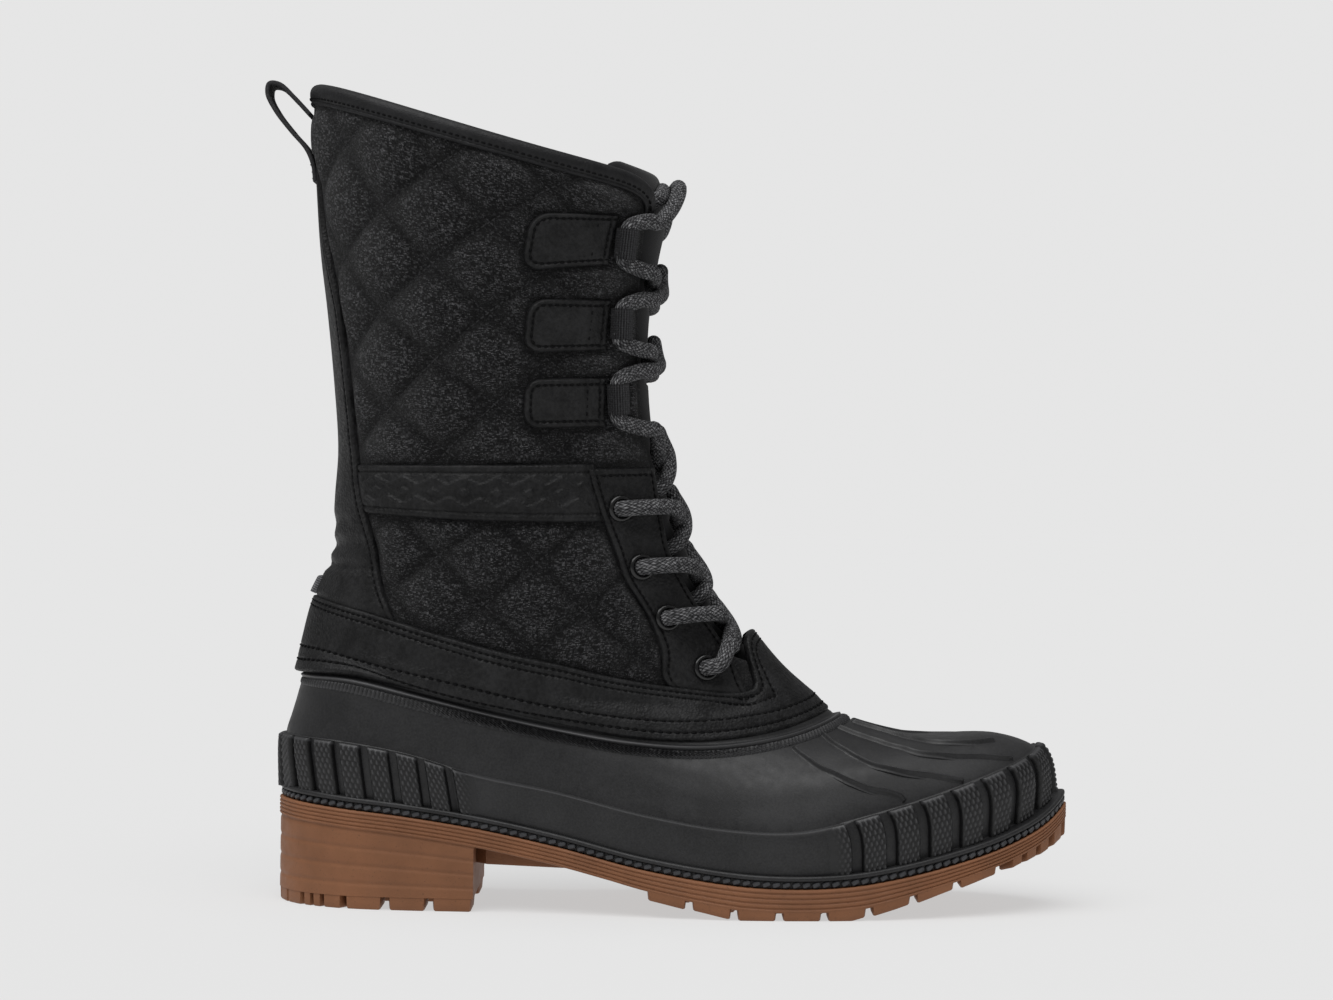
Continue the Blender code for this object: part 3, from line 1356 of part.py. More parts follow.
def main():
    """Build every piece."""
    clear_scene()
    gum = material("gum rubber", (0.36, 0.22, 0.13), 0.6)
    black_rubber = material("black rubber", (0.03, 0.03, 0.032), 0.5)
    quilted = material("quilted fabric", (0.06, 0.06, 0.065), 0.9)
    leather = material("black leather", (0.025, 0.025, 0.026), 0.5)
    cloth = material("tongue cloth", (0.03, 0.03, 0.032), 0.8)
    felt = material("felt", (0.12, 0.12, 0.12), 0.95)
    webbing = material("webbing", (0.03, 0.03, 0.03), 0.85)
    metal = material("black metal", (0.02, 0.02, 0.02), 0.3, metallic=1.0)
    lace = material("lace", (0.12, 0.12, 0.125), 0.9)
    make_outsole(gum)
    make_heel_block(gum)
    make_welt(black_rubber)
    make_rubber_shell(black_rubber)
    make_upper(quilted)
    make_tongue(cloth)
    make_insole(felt)
    make_leather_band(leather)
    make_backstay(leather)
    make_binding(leather)
    sides = (("lateral", -1), ("medial", 1))
    for label, side in sides:
        make_eyestay(f"eyestay_{label}", side, leather)
        make_side_band(f"side_band_{label}", side, leather)
        for number, row in enumerate(TABS, 1):
            make_lace_tab(f"lace_tab_{label}_{number}", row, side, leather)
        for number, row in enumerate(LACE_LOOPS, 1):
            make_lace_loop(f"lace_loop_{label}_{number}", row, side, webbing)
        for number, row in enumerate(EYELETS, 1):
            make_eyelet(f"eyelet_{label}_{number}", row, side, metal)
    make_laces(lace)
    make_pull_loop(webbing)
    make_heel_tag(webbing)


main()
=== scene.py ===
"""Dress of a right winter boot: a moulded rubber foot, a lugged gum sole and a quilted, laced shaft.

Sizes are in millimetres and become metres when a mesh is made. All pieces are cut from one skin, the
outer surface of the last. A place on it is (turn, level): turn goes 0 at the back of the heel, 1 at the
front and on to 2 at the back again, first along the lateral side, and level is the mean distance up from
the feather line.
"""

from __future__ import annotations

import itertools
import logging
import math
from dataclasses import dataclass
from enum import Enum

import bpy
import numpy as np
from mathutils import Matrix

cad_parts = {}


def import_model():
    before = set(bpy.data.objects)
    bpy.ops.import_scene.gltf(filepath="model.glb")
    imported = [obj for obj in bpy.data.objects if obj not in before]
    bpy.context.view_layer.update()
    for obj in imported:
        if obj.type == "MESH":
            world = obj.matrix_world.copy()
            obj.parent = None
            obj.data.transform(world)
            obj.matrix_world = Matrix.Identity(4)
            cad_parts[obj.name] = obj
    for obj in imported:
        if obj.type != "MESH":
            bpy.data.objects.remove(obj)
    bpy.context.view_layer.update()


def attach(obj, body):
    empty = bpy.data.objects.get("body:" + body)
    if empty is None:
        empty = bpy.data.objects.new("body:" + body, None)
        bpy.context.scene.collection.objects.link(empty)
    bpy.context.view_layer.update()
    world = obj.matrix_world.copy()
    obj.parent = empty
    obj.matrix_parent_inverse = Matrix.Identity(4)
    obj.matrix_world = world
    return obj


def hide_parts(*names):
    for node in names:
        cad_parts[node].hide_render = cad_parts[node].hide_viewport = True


LOG = logging.getLogger("winter_boot")
Array = np.ndarray
Values = Array | float
Table = tuple[tuple[float, ...], ...]
Triple = tuple[float, float, float]
Colour = Triple
Material, Piece, Socket = bpy.types.Material, bpy.types.Object, bpy.types.NodeSocket
MM = 0.001
UP = np.array([0.0, 0.0, 1.0])
HEEL_REST_X = 36.0
SPAN_SAMPLES = 24
HALF_SAMPLES = 241
# Rows of a sheet's outer face to one of its inner face
INNER_STEP = 6
# Steps round and up the skin over which its directions are read, and a longer one for how far it is drawn out
TURN_STEP, LEVEL_STEP, STRETCH_STEP = 0.004, 0.8, 2.0


class Side(Enum):
    """The boot's two sides: lateral is the outer one, at -Y."""

    LATERAL = -1
    MEDIAL = 1

    @property
    def label(self) -> str:
        """The side's name as the nodes carry it."""
        return self.name.lower()


def smooth_step(low: Values, high: Values, value: Array) -> Array:
    """A cubic ease of a value from 0 at low to 1 at high."""
    part = np.clip((value - low) / (high - low), 0.0, 1.0)
    return part * part * (3.0 - 2.0 * part)


def hump(value: Array, middle: Values, width: Values) -> Array:
    """A bell curve, 1 at the middle and e to the -1 one width away."""
    return np.exp(-((value - middle) / width) ** 2)


def read_table(rows: Table, place: Values, column: int) -> Array:
    """A column of a table, read in a straight line between places of its first column."""
    values = np.array(rows, dtype=float)
    return np.interp(place, values[:, 0], values[:, column])


def unit(vectors: Array) -> Array:
    """Vectors of length 1."""
    return vectors / np.maximum(np.linalg.norm(vectors, axis=-1, keepdims=True), 1e-9)


def run_length(points: Array) -> Array:
    """Distances along a curve from its first point to each of its points."""
    return np.concatenate([[0.0], np.cumsum(np.linalg.norm(np.diff(points, axis=0), axis=1))])


def read_along(values: Array, run: Array, stops: Array) -> Array:
    """Rows of values, known at distances along a curve, read at stops along it."""
    return np.stack([np.interp(stops, run, values[:, k]) for k in range(values.shape[1])], axis=1)


def even_spacing(points: Array, count: int) -> Array:
    """The same open curve as count points at equal distances."""
    run = run_length(points)
    return read_along(points, run, np.linspace(0.0, run[-1], count))


def cubic(part: Array, ends: tuple[Array, Array], slopes: tuple[Array, Array], span: Array) -> Array:
    """A cubic between two ends: an ease from one to the other, bent by the slopes at both.

    Args:
        part: Places on the way, from 0 to 1.
        ends: Values at both ends.
        slopes: Slopes there.
        span: The way's length.

    Returns:
        Values at the places.
    """
    ease = part * part * (3.0 - 2.0 * part)
    bend = slopes[0] * part * (1.0 - part) ** 2 - slopes[1] * part * part * (1.0 - part)
    return ends[0] * (1.0 - ease) + ends[1] * ease + span * bend


def centripetal(stops: list[Array], steps: list[Array], samples: int) -> Array:
    """Spans of a centripetal Catmull-Rom curve, one after the other.

    Args:
        stops: The points before each span, at its start, at its end and after it.
        steps: Square roots of the three distances between those.
        samples: Points in each span.

    Returns:
        The points, without the end of the last span.
    """
    before, start, end, after = (points[:, None, :] for points in stops)
    s0, s1, s2 = (step[:, None, None] for step in steps)
    part = np.linspace(0.0, 1.0, samples, endpoint=False)[None, :, None]
    leave = (start - before) / s0 - (end - before) / (s0 + s1) + (end - start) / s1
    arrive = (end - start) / s1 - (after - start) / (s1 + s2) + (after - end) / s2
    return cubic(part, (start, end), (leave, arrive), s1).reshape(-1, start.shape[-1])


def through(points: Array, count: int, samples: int = SPAN_SAMPLES) -> Array:
    """A centripetal curve through open points, at equal distances.

    Args:
        points: The points to pass.
        count: How many points to return.
        samples: Steps in each span before the even spacing.

    Returns:
        The curve's points.
    """
    points = np.asarray(points, dtype=float)
    padded = np.concatenate([[2.0 * points[0] - points[1]], points, [2.0 * points[-1] - points[-2]]])
    step = np.maximum(np.linalg.norm(np.diff(padded, axis=0), axis=1), 1e-6) ** 0.5
    stops = [padded[k:len(padded) - 3 + k] for k in range(4)]
    curve = centripetal(stops, [step[:-2], step[1:-1], step[2:]], samples)
    return even_spacing(np.concatenate([curve, points[-1:]]), count)


def angles(count: int) -> Array:
    """Angles at equal steps round a circle."""
    return 2.0 * math.pi * np.arange(count) / count


def ring_turns(count: int, drawn: float = 0.3) -> Array:
    """Turns all the way round, drawn closer together at the front and the back by a sine."""
    part = np.arange(count) / count * 2.0
    return part - drawn * np.sin(2.0 * math.pi * part) / (2.0 * math.pi)


def fold(turn: Array) -> tuple[Array, Array]:
    """Turns folded onto the way from back to front, and whether each was on the medial side."""
    turn = np.mod(turn, 2.0)
    return np.where(turn > 1.0, 2.0 - turn, turn), turn > 1.0


def ring_run(edge: Array) -> Array:
    """The step along a closed line at each of its points."""
    return np.roll(edge, -1, axis=0) - np.roll(edge, 1, axis=0)


def sideways(run: Array) -> Array:
    """Unit directions in plan to the outside of a line round the boot, square to its steps."""
    return unit(np.stack([run[:, 1], -run[:, 0], np.zeros(len(run))], axis=1))


def line_distance(across: Array, up: Array, line: Table) -> Array:
    """The distance of places from a polyline in the flat (across, up) plane.

    Args:
        across: First coordinate of the places.
        up: Second coordinate of the places.
        line: The polyline's points.

    Returns:
        Distances in the same shape as across.
    """
    points = np.array(line, dtype=float)
    best = np.full(across.shape, np.inf)
    for (x0, y0), (x1, y1) in zip(points, points[1:]):
        dx, dy = x1 - x0, y1 - y0
        part = np.clip(((across - x0) * dx + (up - y0) * dy) / (dx * dx + dy * dy), 0.0, 1.0)
        best = np.minimum(best, np.hypot(across - x0 - part * dx, up - y0 - part * dy))
    return best


def inset_steps(low: Array, high: Array, offsets: tuple[float, ...], middle: int,
                spread: Values = 1.0) -> Array:
    """Rows between two edges: close to each edge at fixed offsets, and evenly spread between those.

    Args:
        low: The lower edge, one value a column.
        high: The upper edge.
        offsets: Distances from either edge, rising from 0.
        middle: Rows between the last offsets.
        spread: How far the offsets from the lower edge are drawn out.

    Returns:
        An array with the rows first.
    """
    near = np.array(offsets, dtype=float)[:, None]
    scale = np.minimum((high - low) / (1.3 * near[-1] * (1.0 + spread)), 1.0)[None, :]
    first, last = low[None, :] + near * scale * spread, high[None, :] - near[::-1] * scale
    part = np.linspace(0.0, 1.0, middle + 2)[1:-1, None]
    between = first[-1:] * (1.0 - part) + last[:1] * part
    return np.concatenate([first, between, last])


def inset_line(low: float, high: float, offsets: tuple[float, ...], middle: int) -> Array:
    """Places on one line between two ends, close together near both as in inset_steps."""
    return inset_steps(np.full(1, low), np.full(1, high), offsets, middle)[:, 0]


def rounded(distance: Array, radius: float, least: float = 0.22) -> Array:
    """A quarter-round edge: least at the edge itself, 1 from the radius on."""
    part = 1.0 - np.clip(distance / radius, 0.0, 1.0)
    return least + (1.0 - least) * np.sqrt(1.0 - part * part)


@dataclass
class Last:
    """The last's outer skin: a cubic surface through closed loops, from the feather line to the collar."""

    length: float = 282.0
    swing: float = 5.0
    swing_start: float = 120.0
    feather_lift: float = 0.9
    feather_insets: Triple = (2.2, 4.2, 5.0)
    flange: float = 9.5
    # Along, lateral and medial half-widths, top line and tread line of the sole
    sole: Table = (
        (0, 0, 0, 36.8, 0), (7, 18.5, 18.5, 36.2, 0), (24, 31, 31, 34.7, 0), (46, 35.5, 35, 32.6, 0),
        (72, 37, 34.5, 28.8, 0), (100, 40, 34, 23.3, 13), (130, 46, 38.5, 16.4, 6.4),
        (163, 50.8, 45.5, 11.6, 0), (185, 51, 48.5, 10.7, 0), (203, 49.2, 48.4, 11.6, 0),
        (219, 46, 46.7, 14.0, 4.0), (237, 40.2, 42.4, 17.9, 9.4), (257, 30.5, 34, 23.6, 15.4),
        (273, 17.5, 20.5, 30.5, 21.2), (282, 0, 0, 37.5, 26.0))
    # Along, height, lateral and medial half-widths of the shell's loops
    bumper_line: Table = (
        (2.2, 59.0, 0, 0), (9, 58.8, 18, 18), (25, 57.8, 29.5, 29.5), (47, 54.4, 34, 33.5),
        (72, 47.5, 35.5, 33), (100, 42.2, 38, 32), (130, 35.2, 43, 36), (160, 30.6, 47.5, 42),
        (185, 30.2, 48.2, 45.5), (210, 36, 44, 44), (234, 42.8, 36, 38), (255, 50, 25.5, 28.5),
        (266, 54.5, 14.5, 16), (270.5, 57.2, 0, 0))
    shoulder_line: Table = (
        (4.2, 66, 0, 0), (11, 65.8, 17.5, 17.5), (26, 64.6, 28.8, 28.8), (47, 61, 33.2, 32.8),
        (72, 55.5, 35, 33), (100, 49.5, 37.2, 32), (130, 43, 41.5, 36), (158, 39.5, 45, 41),
        (182, 41, 44.5, 43), (205, 46.5, 40, 40), (226, 52.5, 31.5, 33), (244, 58, 20.5, 22),
        (254, 61, 11, 11.5), (257, 61.8, 0, 0))
    vamp_line: Table = (
        (6.2, 73, 0, 0), (12.5, 72.8, 17, 17), (27, 71.6, 28.2, 28.2), (48, 67.6, 32.7, 32.4),
        (75, 61.5, 34.5, 33), (102, 56.2, 36.6, 32.5), (130, 51.2, 39.5, 36), (155, 49, 41.2, 39.2),
        (176, 50.5, 39, 38.5), (195, 54, 33, 33), (211, 58, 24, 25), (221, 60.4, 13, 13.5),
        (226, 61.2, 0, 0))
    bead_line: Table = (
        (8, 80.6, 0, 0), (14, 80.4, 16.5, 16.5), (28, 79.4, 27.6, 27.6), (48, 75.2, 32.2, 32),
        (75, 69.2, 34, 33), (100, 64, 35.2, 33), (125, 60, 36.6, 35), (148, 58.6, 36, 35.5),
        (167, 60, 31.5, 32), (182, 62.8, 23, 24), (193, 66.4, 11.5, 12), (198, 68.6, 0, 0))
    # Back and front ends, half-widths, lean and dip of the shaft's egg-shaped sections
    sections: Table = (
        (9.6, 92, 182.5, 79.5, 35.5, 34.5, 0.12, 13), (12.8, 106, 167, 96.5, 35.5, 34.5, 0.10, 8),
        (20.5, 124, 153.5, 118, 36.5, 36, 0.06, 4), (20.5, 142, 143.5, 141, 38.5, 38, 0.04, 2),
        (21.5, 160, 137, 163, 40.5, 40.5, 0.02, 0), (19.8, 184, 134, 188, 44, 44, 0, 0),
        (17, 210, 134, 207, 46.5, 46.5, 0, 1), (13, 240, 137, 228, 48, 48, 0, 2),
        (9, 284.5, 142, 249, 49.5, 49.5, 0, 3))
    # Level and half-width of the lacing slot
    slot: Table = (
        (88, 0), (91, 12), (96, 20.2), (104, 21), (111, 22), (124, 24), (133, 25), (157, 20.5),
        (184, 22), (211, 23.8), (240, 28), (273, 31.8))
    # Turn and top level of the leather band
    band: Table = (
        (0.0, 104.0), (0.19, 104.0), (0.26, 103.0), (0.35, 101.0), (0.45, 98.4), (0.56, 95.6), (0.66, 91.0),
        (0.76, 86.4), (0.82, 83.2), (0.855, 81.6), (0.89, 82.6), (0.91, 88.0), (0.925, 96.0), (0.945, 100.6),
        (0.97, 102.2), (1.0, 102.6))
    # Level, front and rear edges of the eyestays
    eyestay: Table = (
        (83, 27, 50), (90, 22.4, 52), (98, 21.2, 45.5), (108, 22.1, 43.2), (116, 23.2, 44),
        (124, 24.5, 46.5), (133, 25.5, 45.8), (146, 23.1, 47), (161, 21.2, 48.4))
    # Level and half-width of the backstay
    backstay: Table = (
        (101.0, 46.5), (105.4, 44), (112, 37.5), (121, 32), (156, 23), (172, 20.4), (215, 20), (230, 16),
        (240, 11.5), (257, 8.5))
    side_band: tuple[float, float] = (143.5, 162.5)
    # Back and front levels, back and front distances and half-height of the lace tabs
    tabs: Table = (
        (241.6, 247.0, 75.0, 44.5, 11.0), (211.0, 212.2, 70.4, 40.9, 9.9), (183.2, 183.4, 69.2, 40.4, 8.5))
    # Level and distance from the front of loops and eyelets
    loops_at: Table = ((245.5, 40.4), (213.2, 37.0), (184.4, 36.6))
    eyelets_at: Table = ((147.6, 40.0), (128.1, 39.0), (110.6, 37.3), (92.1, 34.0))
    overlay_clear: float = 0.6
    leather: float = 1.8
    upper_wall: float = 3.0

    def __post_init__(self) -> None:
        """Work out the loops, their levels and the skin's girths."""
        back, side, toe = self.feather_insets
        feather = self.sole_loop(back, side, toe)
        feather[..., 2] = self.sole_loop()[..., 2] + self.feather_lift
        lines = (self.bumper_line, self.shoulder_line, self.vamp_line, self.bead_line)
        stacked = [feather] + [self.station_loop(*np.array(rows, dtype=float).T) for rows in lines]
        self.loops = np.stack(stacked + [self.section_loop(*row) for row in self.sections])
        climb = np.linalg.norm(np.diff(self.loops, axis=0), axis=3).mean(axis=(1, 2))
        self.levels = np.concatenate([[0.0], np.cumsum(climb)])
        self.bumper, self.shoulder, self.vamp, self.bead = (float(v) for v in self.levels[1:5])
        self.collar = float(self.levels[-1])
        self.rim = self.bead + self.flange
        self.rim_loop = self.sole_loop()
        self.girth_levels = np.linspace(0.0, self.collar, HALF_SAMPLES)
        half = np.linspace(0.0, 1.0, HALF_SAMPLES)
        self.girths = []
        for turns in (half, 2.0 - half):
            points = self.skin(turns[None, :], self.girth_levels[:, None])
            self.girths.append(np.linalg.norm(np.diff(points, axis=1), axis=2).sum(axis=1))

    def stretch(self, turn: Array, level: float) -> Array:
        """Levels to a millimetre across a line of one level: more along the sides, where the loops draw together."""
        run = unit(self.skin(turn + TURN_STEP, level) - self.skin(turn - TURN_STEP, level))
        climb = self.skin(turn, level + STRETCH_STEP) - self.skin(turn, level - STRETCH_STEP)
        return 2.0 * STRETCH_STEP / np.linalg.norm(np.cross(run, climb), axis=-1)

    def centre(self, along: Array) -> Array:
        """How far the boot's centre line lies to the medial side: an ease towards the toe."""
        return self.swing * smooth_step(self.swing_start, self.length, np.asarray(along, dtype=float))

    def station_loop(self, along: Array, height: Array, lateral: Array, medial: Array) -> Array:
        """The lateral and medial halves, back to front, of a closed centripetal curve through stations.

        Args:
            along: Places from the back of the heel.
            height: Heights there.
            lateral: Half-widths to the lateral side.
            medial: Half-widths to the medial side.

        Returns:
            Two rows of points.
        """
        outer = np.stack([along, self.centre(along) - lateral, height], axis=1)
        inner = np.stack([along, self.centre(along) + medial, height], axis=1)
        points = np.concatenate([outer, inner[-2:0:-1]])
        step = np.linalg.norm(np.roll(points, -1, axis=0) - points, axis=1) ** 0.5
        stops = [np.roll(points, shift, axis=0) for shift in (1, 0, -1, -2)]
        curve = centripetal(stops, [np.roll(step, shift) for shift in (1, 0, -1)], SPAN_SAMPLES)
        tip = (len(outer) - 1) * SPAN_SAMPLES
        far = np.concatenate([curve[tip:], curve[:1]])[::-1]
        return np.stack([even_spacing(curve[:tip + 1], HALF_SAMPLES), even_spacing(far, HALF_SAMPLES)])

    def section_loop(self, *row: float) -> Array:
        """The halves of an egg-shaped loop round the leg: half-width is sin(a) (1 + lean cos(a))."""
        back, back_height, front, front_height, lateral, medial, lean, dip = row
        angle = np.linspace(0.0, math.pi, 2 * HALF_SAMPLES)
        part = (1.0 - np.cos(angle)) / 2.0
        along = back + (front - back) * part
        height = back_height + (front_height - back_height) * part - dip * np.sin(angle) ** 2
        width = np.sin(angle) * (1.0 + lean * np.cos(angle))
        halves = [np.stack([along, side * width, height], axis=1) for side in (-lateral, medial)]
        return np.stack([even_spacing(half, HALF_SAMPLES) for half in halves])

    def sole_loop(self, back: float = 0.0, side: float = 0.0, toe: float = 0.0) -> Array:
        """The sole's top outline, drawn in by insets at the back, the sides and the toe."""
        along, lateral, medial, top = np.array(self.sole, dtype=float).T[:4]
        shrink = (self.length - back - toe) / self.length
        lateral = np.where(lateral > 0.0, lateral - side, 0.0)
        medial = np.where(medial > 0.0, medial - side, 0.0)
        return self.station_loop(back + along * shrink, top, lateral, medial)

    def on_loop(self, halves: Array, turn: Array, index: Array | None = None) -> Array:
        """Points at turns round a loop of two halves, or round each one's own loop of a stack."""
        half, medial = fold(turn)
        place = half * (HALF_SAMPLES - 1)
        first = np.clip(place.astype(int), 0, HALF_SAMPLES - 2)
        part = (place - first)[..., None]
        row = (medial.astype(int),) if index is None else (index, medial.astype(int))
        return halves[(*row, first)] * (1.0 - part) + halves[(*row, first + 1)] * part

    def slope(self, low: Array, mid: Array, high: Array, index: Array) -> Array:
        """The slope of the cubic at the middle one of three loops, or at an end loop."""
        last = len(self.levels) - 1
        fall = (self.levels[index] - self.levels[np.clip(index - 1, 0, last)])[..., None]
        rise = (self.levels[np.clip(index + 1, 0, last)] - self.levels[index])[..., None]
        below = (mid - low) / np.where(fall > 0.0, fall, 1.0)
        above = (high - mid) / np.where(rise > 0.0, rise, 1.0)
        both = (below * rise + above * fall) / (rise + fall)
        return np.where(fall == 0.0, above, np.where(rise == 0.0, below, both))

    def skin(self, turn: Values, level: Values) -> Array:
        """Points of the skin: a cubic from loop to loop, and straight on above the collar."""
        turn, level = np.broadcast_arrays(np.asarray(turn, dtype=float), np.asarray(level, dtype=float))
        inside = np.clip(level, 0.0, self.collar)
        last = len(self.levels) - 1
        index = np.clip(np.searchsorted(self.levels, inside, side="right") - 1, 0, last - 1)
        around = [self.on_loop(self.loops, turn, np.clip(index + step, 0, last)) for step in (-1, 0, 1, 2)]
        leave = self.slope(around[0], around[1], around[2], index)
        arrive = self.slope(around[1], around[2], around[3], index + 1)
        span = (self.levels[index + 1] - self.levels[index])[..., None]
        part = (inside - self.levels[index])[..., None] / span
        return cubic(part, around[1:3], (leave, arrive), span) + (level - inside)[..., None] * arrive

    def normal(self, turn: Values, level: Values) -> Array:
        """Outward unit normals: the cross product of the skin's steps round and up."""
        turn, level = np.asarray(turn, dtype=float), np.asarray(level, dtype=float)
        across = self.skin(turn + TURN_STEP, level) - self.skin(turn - TURN_STEP, level)
        upward = self.skin(turn, level + LEVEL_STEP) - self.skin(turn, np.maximum(level - LEVEL_STEP, 0.0))
        return unit(np.cross(across, upward))

    def out(self, turn: Values, level: Values, away: Values) -> Array:
        """Points at a distance outside the skin, or inside it when negative."""
        turn, level, away = np.broadcast_arrays(*(np.asarray(v, dtype=float) for v in (turn, level, away)))
        return self.skin(turn, level) + self.normal(turn, level) * away[..., None]

    def girth(self, level: Values, side: Array | int) -> Array:
        """The length of one side of the skin at levels: side 0 is lateral, 1 medial."""
        lateral, medial = (np.interp(level, self.girth_levels, girth) for girth in self.girths)
        return np.where(np.asarray(side) > 0, medial, lateral)

    def from_front(self, distance: Values, level: Values) -> Array:
        """Turns at distances over the skin from the front: negative is lateral, positive medial."""
        distance = np.asarray(distance, dtype=float)
        return 1.0 + distance / self.girth(level, distance >= 0.0)

    def from_back(self, distance: Values, level: Values) -> Array:
        """Turns at distances over the skin from the back: positive is lateral, negative medial."""
        distance = np.asarray(distance, dtype=float)
        return distance / self.girth(level, distance <= 0.0)

    def distances(self, turn: Array, level: Values) -> tuple[Array, Array]:
        """Distances over the skin from the back and from the front, both without a sign."""
        half, medial = fold(turn)
        girth = self.girth(level, medial)
        return half * girth, (1.0 - half) * girth

    def slot_half(self, level: Values) -> Array:
        """Half the lacing slot's width."""
        return read_table(self.slot, level, 1)

    def band_top(self, turn: Array) -> Array:
        """The level of the leather band's upper edge."""
        return read_table(self.band, fold(turn)[0], 1)

    def slot_turns(self, level: Array, across: Array, least: float) -> Array:
        """Turns from the slot's medial edge (-1) round the back (0) to its lateral edge (1).

        Args:
            level: Levels of the rows.
            across: Places from -1 to 1.
            least: The smallest half-width of the slot.

        Returns:
            One row of turns a level.
        """
        half = np.maximum(self.slot_half(level), least)
        lateral = self.from_front(-half, level)[:, None]
        medial = (self.from_front(half, level) - 2.0)[:, None]
        part = (across[None, :] + 1.0) / 2.0
        part = part - 0.3 * np.sin(4.0 * math.pi * part) / (4.0 * math.pi)
        return medial + (lateral - medial) * part

    def frame_at(self, distance: float, level: float) -> tuple[Array, Array, Array, Array]:
        """The skin's point, forward and upward directions and normal at a place near the front."""
        turn = self.from_front(distance, level)
        point, normal = self.skin(turn, level), self.normal(turn, level)
        upward = unit(self.skin(turn, level + 1.0) - self.skin(turn, level - 1.0))
        return point, unit(np.cross(upward, normal)), upward, normal


